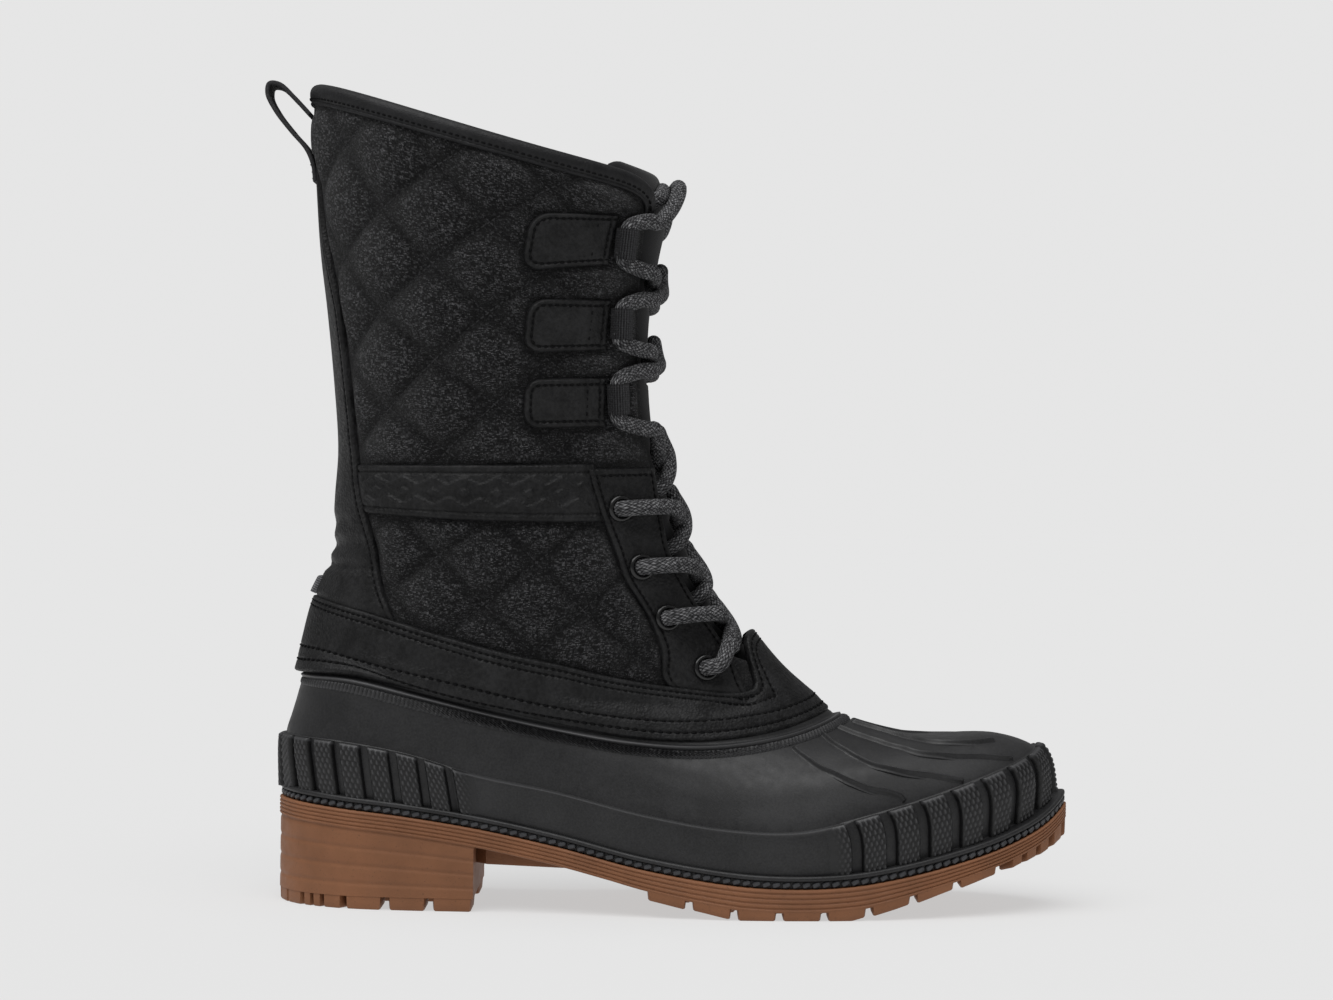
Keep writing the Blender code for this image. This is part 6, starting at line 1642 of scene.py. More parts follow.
@dataclass
class LeatherWork:
    """The leather overlays: band, eyestays, side bands, backstay and lace tabs, with their seams."""

    last: Last
    leather: Material
    stitching: Stitching
    edges: tuple[float, ...] = (0.0, 0.12, 0.35, 0.7, 1.1, 1.5, 1.9, 2.3, 2.7, 3.1, 3.5, 3.9, 4.3, 4.7, 5.1)
    # Turn and levels of the band's lower edge and of the two seams above it
    band_foot: Table = (
        (0.0, 67.5, 73.2, 78.5), (0.13, 69.5, 75.8, 82.4), (0.22, 72.0, 77.2, 84.6), (0.31, 73.6, 78.4, 85.6),
        (0.40, 73.0, 77.6, 84.6), (0.48, 71.4, 75.7, 81.9), (0.56, 70.0, 73.9, 78.9), (0.65, 69.5, 72.2, 76.0),
        (0.75, 69.46, 71.7, 74.8), (0.87, 69.46, 71.5, 74.4), (1.0, 69.46, 71.7, 74.8))
    # Insets of the seams: beside a front or plain edge, beside a rear edge, across a tab, and from the band's top
    inset: float = 2.2
    rear_inset: float = 2.4
    tab_inset: float = 7.0
    top_insets: tuple[float, float] = (2.0, 4.2)
    # Distance of the band's upper low seam, by which its rows are drawn out
    low_inset: float = 7.3
    band_flare: float = 1.4
    band_dip: float = 1.2
    tuck: float = 2.4
    groove: float = 0.42
    seam_width: float = 0.4

    def furrows(self, distance: Array, *insets: Values) -> Array:
        """Furrows at insets from an edge, each a bell, from 0 to 1."""
        return np.clip(sum(hump(distance, inset, self.seam_width) for inset in insets), 0.0, 1.0)

    def sheet(self, name: str, turns: Array, levels: Array, edge: Array, node: str, lift: Array,
              seam: Array, ring: bool = False) -> None:
        """A leather piece on the upper: thickness times a quarter-round edge, plus a relief, less its furrows.

        Args:
            name: The piece's name.
            turns: Places round the boot, rows by columns.
            levels: Places up it.
            edge: Distance from the nearest edge at each place.
            node: The CAD node that it stands for.
            lift: Relief on the outer face.
            seam: Furrows of the seams, from 0 to 1.
            ring: Whether it goes all round.
        """
        last = self.last
        away = last.overlay_clear + last.leather * rounded(edge, 0.9) + lift - self.groove * seam
        outer, inner = last.out(turns, levels, np.maximum(away, 0.35)), last.out(turns, levels, 0.1)
        back, _ = last.distances(turns, levels)
        spots = flat_places(back, levels)
        if ring:
            spots = np.concatenate([spots, spots[:, :1]], axis=1)
        surface = Surface()
        # The furrows also go out as the seam mark, which the leather paints as shade in them.
        surface.add_slab(outer, inner, spots, ring=ring, marks=seam)
        hand_over(surface.build(name, self.leather, 50.0, "seam"), "black_leather", node)

    def seam(self, name: str, lines: list[tuple[Array, ...]], size: float = 1.0) -> None:
        """Stitches of a size along lines of (turn, level and lift, if any) in the leather's furrows."""
        last = self.last
        surface = Surface()
        for turns, levels, *lift in lines:
            path = last.out(turns, levels, last.overlay_clear + last.leather - 0.22 + sum(lift))
            self.stitching.lay(surface, path, last.normal(turns, levels), size)
        hand_over(surface.build(name, self.stitching.finish), "black_leather")

    def creases(self, across: Array, levels: Array, lines: tuple[tuple[Table, float, float], ...]) -> Array:
        """Soft troughs with a lower ridge on either side, along lines of the flat (across, level) plane.

        Args:
            across: First coordinate of the places.
            levels: Their levels.
            lines: Each crease's line, depth and width.

        Returns:
            Heights, negative in a trough.
        """
        total = np.zeros(levels.shape)
        for line, depth, width in lines:
            near = line_distance(across, levels, line)
            total = total - depth * hump(near, 0.0, width) + 0.45 * depth * hump(near, 2.1 * width, width)
        return total

    def band(self) -> None:
        """The band round the top of the foot, flared at the back of its lower edge, with four seams."""
        last = self.last
        turns = ring_turns(480, 0.35)
        heel = np.abs(np.cos(math.pi * turns / 2.0)) ** 8
        forward = 1.0 - np.abs(1.0 - turns)
        fine = np.abs(forward[:, None] + np.linspace(-0.05, 0.05, 9))
        low, lower, upper = (read_table(self.band_foot, fine, k).mean(axis=1) for k in (1, 2, 3))
        spread = (upper - low) / self.low_inset
        high = self.smooth_top(turns)
        near = self.edges + (5.6, 6.1, 6.5, 6.9, 7.3, 7.7, 8.2)
        levels = inset_steps(low, high, near, 8, spread)
        from_low = (levels - low) / spread
        grid = np.broadcast_to(turns[None, :], levels.shape)
        slant = np.sqrt(1.0 + (np.gradient(high) / (np.gradient(turns) * 200.0)) ** 2)
        from_top = (high - levels) / slant
        edge = np.minimum(from_low, from_top)
        flare = self.band_lift(levels, low, high, heel)
        _, front = last.distances(grid, levels)
        folds = self.creases(front, levels, (
            (((27.0, 81.0), (36.0, 77.8), (48.0, 77.0)), 0.5, 1.6),
            (((22.0, 90.0), (27.0, 84.0), (31.0, 79.0)), 0.45, 1.5),
            (((58.0, 80.0), (72.0, 83.0), (90.0, 85.5)), 0.35, 2.2),
            (((120.0, 92.0), (140.0, 90.0), (158.0, 90.5)), 0.3, 2.4)))
        seam = self.furrows(from_low, (lower - low) / spread, self.low_inset)
        seam = np.maximum(seam, self.furrows(from_top, *self.top_insets))
        lift = flare + folds * smooth_step(0.0, 3.0, edge)
        self.sheet("ankle_band", grid, levels, edge, "leather_band", lift, seam, ring=True)
        lines = []
        for row in (lower, upper, *(high - inset * slant for inset in self.top_insets)):
            lift = self.band_lift(row, low, high, heel)
            lines.append((np.append(turns, 2.0 + turns[0]), np.append(row, row[0]), np.append(lift, lift[0])))
        self.seam("ankle_band_low_seams", lines[:2], 1.25)
        self.seam("ankle_band_top_seams", lines[2:])

    def band_lift(self, levels: Array, low: Array, high: Array, heel: Array) -> Array:
        """The band's flare behind the heel and the dip of its lower edge elsewhere, as heights off the skin."""
        flare = self.band_flare * (1.0 - (levels - low) / (high - low)) ** 3
        return flare * heel - self.band_dip * (1.0 - heel) * (1.0 - smooth_step(0.0, 6.5, levels - low))

    def smooth_top(self, turns: Array) -> Array:
        """The band's upper edge, with its corners eased by a running mean."""
        fine = np.linspace(-0.014, 0.014, 9)
        return self.last.band_top(turns[:, None] + fine[None, :]).mean(axis=1)

    def eyestay(self, side: Side) -> None:
        """A facing beside the lacing slot, tucked under the band, stitched along its free edges."""
        last = self.last
        first, top = (float(last.eyestay[k][0]) for k in (0, -1))
        part = inset_line(0.0, 24.0, self.edges, 12) / 24.0
        bottom = np.full(len(part), first)
        for _ in range(6):
            front, rear = (read_table(last.eyestay, bottom, k) for k in (1, 2))
            bottom = self.smooth_top(last.from_front(-(front + (rear - front) * part), bottom)) - self.tuck
        levels = inset_steps(bottom, np.full(len(part), top), self.edges, 44)
        front, rear = self.eyestay_edges(levels)
        distance = front + (rear - front) * part[None, :]
        edge = np.minimum(np.minimum(distance - front, rear - distance), top - levels)
        turns = last.from_front(side.value * distance, levels)
        tucked = smooth_step(self.tuck - 0.6, self.tuck + 2.4, levels - bottom[None, :]) - 1.0
        seam = np.maximum(self.furrows(distance - front, self.inset), self.furrows(rear - distance, self.rear_inset))
        seam = np.maximum(seam, self.furrows(top - levels, self.rear_inset))
        self.sheet(f"facing_{side.label}", turns, levels, edge, f"eyestay_{side.label}", tucked, seam)
        lines = []
        for column, inset in ((1, self.inset), (2, -self.rear_inset)):
            rows = np.linspace(float(bottom[0 if column == 1 else -1]) + self.tuck + 1.5, top - 1.6, 120)
            place = self.eyestay_edges(rows)[column - 1] + inset
            lines.append((last.from_front(side.value * place, rows), rows))
        rows = np.full(60, top - self.rear_inset)
        front, rear = self.eyestay_edges(rows)
        place = np.linspace(float(front[0]) + 3.6, float(rear[0]) - 3.8, 60)
        lines.append((last.from_front(side.value * place, rows), rows))
        self.seam(f"facing_{side.label}_seams", lines)

    def eyestay_edges(self, levels: Array) -> tuple[Array, Array]:
        """Front and rear edges of the facing, eased by a running mean."""
        fine = np.linspace(-4.0, 4.0, 9)
        return tuple(read_table(self.last.eyestay, levels[..., None] + fine, k).mean(axis=-1) for k in (1, 2))

    def side_band(self, side: Side) -> None:
        """The ankle band from backstay to facing, both ends tucked under, with a chevron-and-lozenge relief."""
        last = self.last
        low, high = last.side_band
        part = inset_line(0.0, 100.0, (0.0, 1.0, 2.0, 3.0, 4.0), 150) / 100.0
        levels = inset_steps(np.full(len(part), low), np.full(len(part), high), self.edges[:9], 30)
        start = self.backstay_half(levels) - self.tuck
        girth = last.girth(levels, 0 if side is Side.LATERAL else 1)
        end = girth - self.eyestay_edges(levels)[1] + self.tuck
        place = start + (end - start) * part[None, :]
        turns = place / girth
        turns = 2.0 - turns if side is Side.MEDIAL else turns
        beside = np.minimum(place - start, end - place)
        edge = np.minimum(levels - low, high - levels)
        pitch, middle = 11.0, (low + high) / 2.0
        x, y = (place - start.mean()) / pitch, (levels - middle) / 6.2
        tooth = np.abs(np.mod(x, 1.0) - 0.5) * 2.0
        chevron = hump(np.abs(y) - 0.35 - 0.45 * tooth, 0.0, 0.13)
        lozenge = smooth_step(0.1, 0.22, 0.42 - np.abs(y) - 0.55 * (1.0 - tooth))
        border = hump(np.abs(y), 1.1, 0.09)
        clear = smooth_step(self.tuck + 2.4, self.tuck + 4.0, beside)
        tucked = smooth_step(self.tuck - 0.6, self.tuck + 2.4, beside) - 1.0
        relief = 0.8 * np.clip(chevron + lozenge, 0.0, 1.0) * clear - 0.3 * border + tucked
        name, node = f"side_strap_{side.label}", f"side_band_{side.label}"
        self.sheet(name, turns, levels, edge, node, relief, 0.6 * border)

    def backstay(self) -> None:
        """The strip up the back, from under the band, with soft creases above the heel and a seam along each edge."""
        last = self.last
        part = inset_line(-1.0, 1.0, tuple(k / 20.0 for k in self.edges), 30)
        low, high = last.backstay[0][0], last.backstay[-1][0]
        levels = inset_steps(np.full(len(part), low), np.full(len(part), high), self.edges[:9], 96)
        half = self.backstay_half(levels)
        place = half * part[None, :]
        turns = last.from_back(place, levels)
        edge = np.minimum((half - np.abs(place)) * 0.92, high - levels)
        folds = self.creases(place, levels, (
            (((-30.0, 121.5), (-14.0, 118.5), (0.0, 117.8), (14.0, 118.5), (30.0, 121.5)), 0.8, 2.0),
            (((-24.0, 131.0), (-9.0, 127.6), (9.0, 127.6), (24.0, 131.0)), 0.55, 2.2),
            (((-16.0, 139.5), (0.0, 137.6), (16.0, 139.5)), 0.35, 2.4)))
        tucked = 1.2 * (smooth_step(103.4, 106.4, levels) - 1.0) - 1.0 * smooth_step(225.0, high, levels)
        lift = folds * smooth_step(0.0, 4.0, edge) + tucked
        seam = self.furrows(half - np.abs(place), self.inset) * smooth_step(0.0, 4.0, high - levels)
        self.sheet("back_strip", turns, levels, edge, "backstay", lift, seam)
        rows = np.linspace(106.5, 226.0, 220)
        place = self.backstay_half(rows) - self.inset
        self.seam("back_strip_seams", [(last.from_back(sign * place, rows), rows) for sign in (-1.0, 1.0)])

    def backstay_half(self, levels: Array) -> Array:
        """Half the strip's width, eased by a running mean."""
        fine = np.linspace(-3.0, 3.0, 7)
        return read_table(self.last.backstay, levels[..., None] + fine, 1).mean(axis=-1)

    def tab(self, side: Side, number: int) -> None:
        """A tab with rounded back corners, a raised rim, a seam round it and two across its front part."""
        last = self.last
        back_level, front_level, rear, fore, half = last.tabs[number - 1]
        length, corner = rear - fore, 0.62 * half
        along = inset_line(0.0, length, self.edges, 16)
        into = np.clip(corner - along, 0.0, corner)
        wide = half - corner + np.sqrt(corner ** 2 - into ** 2)
        offset = inset_steps(-wide, wide, self.edges, 6)
        levels = (back_level + (front_level - back_level) * along / length)[None, :] + offset
        distance = np.broadcast_to(rear - along, levels.shape)
        px, py = np.broadcast_arrays((corner - along)[None, :], np.abs(offset) - (half - corner))
        inside = corner - np.hypot(np.maximum(px, 0.0), np.maximum(py, 0.0)) - np.minimum(np.maximum(px, py), 0.0)
        ahead = (length - along)[None, :] + 0.0 * offset
        edge = np.minimum(inside, ahead)
        turns = last.from_front(side.value * distance, levels)
        relief = 0.2 * hump(inside, 0.9, 0.6) + 0.25 * smooth_step(4.6, 7.0, edge)
        across = (self.inset, self.tab_inset)
        seam = np.maximum(self.furrows(inside, self.inset), self.furrows(ahead, *across))
        name = f"tab_{side.label}_{number}"
        self.sheet(name, turns, levels, edge, f"lace_{name}", relief, seam)
        bend = np.linspace(0.0, math.pi / 2.0, 24)
        radius = corner - self.inset
        x = np.concatenate([[length - self.inset], corner - radius * np.sin(bend)])
        y = np.concatenate([[half - self.inset], half - corner + radius * np.cos(bend)])
        lines = [np.stack([np.concatenate([x, x[::-1]]), np.concatenate([y, -y[::-1]])], axis=1)]
        lines += [np.array([(length - inset, half - 3.4), (length - inset, 3.4 - half)]) for inset in across]
        self.seam(f"{name}_seam", [self.on_tab(side, number, line) for line in lines])

    def on_tab(self, side: Side, number: int, line: Array) -> tuple[Array, Array]:
        """A line of a tab's own (along, across) plane as turns and levels."""
        back_level, front_level, rear, fore, _ = self.last.tabs[number - 1]
        even = even_spacing(line, 160)
        rows = back_level + (front_level - back_level) * even[:, 0] / (rear - fore) + even[:, 1]
        return self.last.from_front(side.value * (rear - even[:, 0]), rows), rows

    def build(self) -> None:
        """Every overlay of both sides."""
        self.band()
        self.backstay()
        for side in Side:
            self.eyestay(side)
            self.side_band(side)
            for number in range(1, len(self.last.tabs) + 1):
                self.tab(side, number)


@dataclass
class Collar:
    """The rolled binding on the collar's edge and a little way down both flaps, with a piping and a seam."""

    last: Last
    finish: Material
    stitching: Stitching
    drop: float = 13.0
    stations: int = 300
    # Distances outside the skin and above the collar's edge
    section: Table = (
        (0.9, -0.6), (1.45, 1.6), (1.2, 4.0), (0.2, 5.5), (-1.6, 6.1), (-3.5, 5.4), (-4.5, 3.0), (-4.3, -0.6))

    def line(self) -> tuple[Array, Array]:
        """Turns and levels of the edge: up the medial flap, round the collar and down the lateral flap."""
        last = self.last
        top, edge = last.collar, float(last.slot_half(last.collar))
        corner = [(0.6, -self.drop), (0.6, -9.4), (1.5, -5.8), (3.8, -3.0), (7.4, -1.2), (12.0, -0.3), (18.0, 0.0)]
        girth = float(last.girth(top, 0))
        lateral = [(girth - edge - inset, top + rise) for inset, rise in corner][::-1]
        middle = [(float(x), top) for x in np.linspace(-110.0, 110.0, 45) if abs(x) < girth - edge - 22.0]
        medial = [(-x, level) for x, level in lateral[::-1]]
        flat = through(np.array(medial + middle + lateral), self.stations)
        return flat[:, 0] / girth, flat[:, 1]

    def build(self) -> None:
        """The binding, a smooth closed section carried along the edge, and its piping and seam."""
        last = self.last
        turns, levels = self.line()
        edge, normal = last.skin(turns, levels), last.normal(turns, levels)
        run = unit(np.gradient(edge, axis=0))
        upward = unit(np.cross(run, normal))
        upward = upward * np.sign(upward[len(upward) // 2, 2])
        back, _ = last.distances(turns, levels)
        scale = 0.92 - 0.06 * smooth_step(30.0, 112.0, back)
        end = np.minimum(np.arange(self.stations), np.arange(self.stations)[::-1])
        taper = np.interp(end, (0, 1, 2, 4, 8), (0.25, 0.5, 0.68, 0.86, 1.0))
        shape = through(np.array(self.section + self.section[:1], dtype=float), 27)[:-1]
        centre = shape.mean(axis=0)
        profile = centre + (shape - centre)[None] * taper[:, None, None]
        profile = profile * np.stack([np.ones(len(scale)), scale], axis=1)[:, None, :]
        rings = edge[:, None] + normal[:, None] * profile[..., :1] + upward[:, None] * profile[..., 1:]
        length = run_length(edge)
        surface = Surface()
        surface.add_tube(rings, flat_places(length[:, None], np.arange(27)[None, :] * 0.7))
        hand_over(surface.build("collar_roll", self.finish), "binding_leather", "collar_binding")
        angle = angles(10)
        path = edge + normal * 0.75 - upward * 0.9
        around = np.cos(angle)[None, :, None] * normal[:, None] + np.sin(angle)[None, :, None] * upward[:, None]
        surface = Surface()
        surface.add_tube(path[:, None] + 0.7 * around * taper[:, None, None],
                         flat_places(length[:, None], np.arange(11)[None, :] * 0.45))
        hand_over(surface.build("collar_piping", self.finish), "binding_leather")
        surface = Surface()
        self.stitching.lay(surface, edge + normal * 1.4 + upward * (0.9 * scale)[:, None], normal)
        hand_over(surface.build("collar_seam", self.stitching.finish), "binding_leather")


@dataclass
class Tongue:
    """The padded tongue behind the slot, pressed in by the lace and leaning back at its top."""

    last: Last
    finish: Material
    lace: Array
    lace_radius: float
    thick: float = 3.0
    clear: float = 1.2
    margin: float = 11.0
    top_margin: float = 6.5
    rise: float = 12.0
    root_half: float = 14.0
    lean: float = 7.0
    lean_from: float = 20.0
    root: float = 84.0
    tip_round: float = 13.0
    # Levels between which it widens towards the collar
    widening: tuple[float, float] = (232.0, 262.0)
    # Room under the lace, and how steeply the face rises beside it
    lace_room: float = 0.25
    press: float = 0.13
    # Level and depth of the hollow along the middle
    sink: Table = ((84, -0.8), (98, -0.6), (112, 0.4), (123, 0.8), (141, 0.8), (163, 0.6), (199, 0.2), (229, 0.2),
                   (262, 0.4), (286, 1.0))

    def half_width(self, level: Array) -> Array:
        """Half the tongue's width, wider at the collar and rounded off towards its tip by a circle."""
        wide = np.maximum(self.last.slot_half(level), self.root_half) + self.margin
        wide = wide + self.top_margin * smooth_step(*self.widening, level)
        top = self.last.collar + self.rise
        part = np.clip((level - top + self.tip_round) / self.tip_round, 0.0, 0.995)
        return wide - self.tip_round * (1.0 - np.sqrt(1.0 - part * part))

    def pressed(self, distance: Array, levels: Array) -> Array:
        """The height that the lace leaves free: a parabola across each strand, the lowest of them all."""
        across = distance.ravel()[:, None] - self.lace[None, :, 0]
        up = levels.ravel()[:, None] - self.lace[None, :, 1]
        free = self.lace[None, :, 2] - self.lace_radius - self.lace_room + self.press * (across ** 2 + up ** 2)
        return free.min(axis=1).reshape(distance.shape)

    def build(self) -> None:
        """The tongue: a face pressed in under the lace and its back, with a quarter-round edge."""
        last = self.last
        low, high = self.root, last.collar + self.rise
        part = np.linspace(-1.0, 1.0, 72)
        part = part + 0.2 * np.sin(math.pi * part) / math.pi
        levels = inset_steps(np.full(72, low), np.full(72, high), (0.0, 0.2, 0.6, 1.2, 2.0, 3.0), 120)
        half = self.half_width(levels)
        distance = half * part[None, :]
        turns = last.from_front(distance, np.minimum(levels, last.collar))
        lean = np.clip((levels - last.collar + self.lean_from) / (self.rise + self.lean_from), 0.0, 1.0)
        wide = np.maximum(last.slot_half(levels), self.root_half) + self.margin
        face = -(last.upper_wall + self.clear) - self.lean * lean ** 2
        face = face - read_table(self.sink, levels, 1) * (1.0 - (distance / wide) ** 2)
        face = np.minimum(face, self.pressed(distance, levels))
        edge = np.minimum(half - np.abs(distance), np.minimum(levels - low, high - levels))
        round_edge = rounded(edge, 2.2, 0.15)
        middle = face - self.thick / 2.0
        outer = last.out(turns, levels, middle + self.thick / 2.0 * round_edge)
        inner = last.out(turns, levels, middle - self.thick / 2.0 * round_edge)
        surface = Surface()
        surface.add_slab(outer, inner, flat_places(distance, levels))
        piece = hand_over(surface.build("padded_tongue", self.finish), "tongue_fabric", "tongue")


@dataclass
class Fittings:
    """Eyelets and webbing: lace loops, the pull loop at the back and the heel tag."""

    last: Last
    metal: Material
    webbing: Material
    ribbon: Material
    stitching: Stitching
    eyelet_lift: float = 0.9
    loop_half_length: float = 3.7
    loop_half_width: float = 5.2
    strap: float = 0.72
    loop_height: float = 3.6
    # Number and height of a lace loop's ribs, half-width and half-thickness of the pull loop's strap
    loop_ribs: tuple[float, float] = (24.0, 0.2)
    pull_size: tuple[float, float] = (8.0, 0.8)
    tag: Triple = (104.6, 112.2, 3.4)
    # Radius and height of the eyelet's rolled section
    eyelet: Table = ((4.7, 0.0), (4.72, 0.35), (4.5, 0.8), (4.05, 1.12), (3.55, 1.15), (3.12, 0.85), (2.92, 0.4),
                     (2.9, -0.6), (3.2, -0.7), (4.2, -0.1))
    # Along and height of the pull loop's path
    pull_path: Table = ((7.9, 279.4), (2.2, 285.4), (-3.0, 290.0), (-6.6, 290.2), (-7.2, 286.6), (-4.2, 280.6),
                        (1.5, 273.4), (6.9, 267.2), (9.4, 261.4), (10.2, 255.6))

    def eyelet_ring(self, side: Side, number: int) -> None:
        """A rolled eyelet: its section turned round the hole's axis."""
        last = self.last
        level, middle = last.eyelets_at[number - 1]
        point, forward, upward, normal = last.frame_at(side.value * middle, level)
        base = point + normal * (last.overlay_clear + last.leather + self.eyelet_lift - 0.35)
        angle = angles(48)
        around = np.cos(angle)[:, None] * forward + np.sin(angle)[:, None] * upward
        shape = through(np.array(self.eyelet + self.eyelet[:1]), 25)[:-1]
        points = base + shape[:, None, :1] * around[None] + shape[:, None, 1:] * normal
        places = flat_places(np.arange(49)[None, :] * 0.6, np.arange(25)[:, None] * 0.5)
        surface = Surface()
        surface.add_grid(points, places, True, True)
        hand_over(surface.build(f"eyelet_rim_{side.label}_{number}", self.metal), "black_metal",
                  f"eyelet_{side.label}_{number}")

    def lace_loop(self, side: Side, number: int) -> None:
        """A webbing loop: a stadium-shaped band, ribbed along the shaft."""
        last = self.last
        level, middle = last.loops_at[number - 1]
        point, forward, upward, normal = last.frame_at(side.value * middle, level)
        height = self.loop_height
        angle = angles(120)
        straight = self.loop_half_length - height
        rows = np.array([(0.0, -1.0), (0.0, -0.55), (0.0, 0.0), (0.0, 0.55), (0.0, 1.0), (0.28, 1.04), (0.85, 1.02),
                         (1.0, 0.97), (1.0, 0.5), (1.0, 0.0), (1.0, -0.5), (1.0, -0.97), (0.85, -1.02), (0.28, -1.04)])
        rib = self.loop_ribs[1] * np.cos(angle * self.loop_ribs[0])
        shells = []
        for share, place in rows:
            reach = height - self.strap * (1.0 - share) + rib * share
            x = straight * np.tanh(3.0 * np.cos(angle)) + reach * np.cos(angle)
            centre = point + normal * (height + 0.5) + upward * place * self.loop_half_width
            shells.append(centre + x[:, None] * forward + (reach * np.sin(angle))[:, None] * normal)
        places = flat_places(np.arange(121)[None, :] * 0.24, np.arange(len(rows) + 1)[:, None] * 1.6)
        surface = Surface()
        surface.add_grid(np.stack(shells), places, True, True)
        hand_over(surface.build(f"webbing_loop_{side.label}_{number}", self.webbing), "webbing",
                  f"lace_loop_{side.label}_{number}")

    def pull_loop(self) -> None:
        """The loop at the back of the collar: a flat rounded strap carried along its path, sewn down at its end."""
        points = np.array(self.pull_path, dtype=float)
        path = through(np.stack([points[:, 0], np.zeros(len(points)), points[:, 1]], axis=1), 150)
        run = unit(np.gradient(path, axis=0))
        across = np.array([0.0, 1.0, 0.0])
        rise = np.cross(run, across)
        half, thick = self.pull_size
        shape = np.array([(-1, -0.5), (-0.97, -0.95), (-0.9, -1), (-0.45, -1), (0, -1), (0.45, -1), (0.9, -1),
                          (0.97, -0.95), (1, -0.5)], dtype=float)
        shape = np.concatenate([shape, -shape])
        rings = path[:, None] + shape[None, :, :1] * half * across + shape[None, :, 1:] * thick * rise[:, None]
        places = flat_places(shape[:, 0][None, :] * half, np.arange(150)[:, None] * 0.6)
        places = np.concatenate([places, places[:, :1]], axis=1)
        surface = Surface()
        surface.add_tube(rings, places)
        hand_over(surface.build("pull_strap", self.webbing), "webbing", "pull_loop")
        surface = Surface()
        outer = np.sign(-rise[-4, 0]) * thick
        for place in (-4, -10, -17):
            row = path[place] + across * np.linspace(-6.6, 6.6, 30)[:, None] + rise[place] * outer
            self.stitching.lay(surface, row, np.broadcast_to(rise[place] * np.sign(outer), row.shape))
        hand_over(surface.build("pull_strap_seam", self.stitching.finish), "webbing")

    def heel_tag(self) -> None:
        """The small folded ribbon that stands up behind the band's edge, rounded along its fold."""
        last = self.last
        low, high, half = self.tag
        levels = inset_steps(np.full(24, low), np.full(24, high), (0.0, 0.1, 0.3, 0.6, 1.0, 1.5), 8)
        place = np.linspace(-half, half, 24)[None, :] + 0.0 * levels
        edge = np.minimum((half - np.abs(place)) * 2.0, high - levels)
        turns = last.from_back(place, levels)
        away = 2.2 + 1.9 * rounded(edge, 1.4, 0.1)
        surface = Surface()
        surface.add_slab(last.out(turns, levels, away), last.out(turns, levels, 2.0), flat_places(levels, place))
        hand_over(surface.build("folded_tag", self.ribbon), "webbing", "heel_tag")

    def build(self) -> None:
        """Every fitting of both sides."""
        for side in Side:
            for number in range(1, len(self.last.eyelets_at) + 1):
                self.eyelet_ring(side, number)
            for number in range(1, len(self.last.loops_at) + 1):
                self.lace_loop(side, number)
        self.pull_loop()
        self.heel_tag()


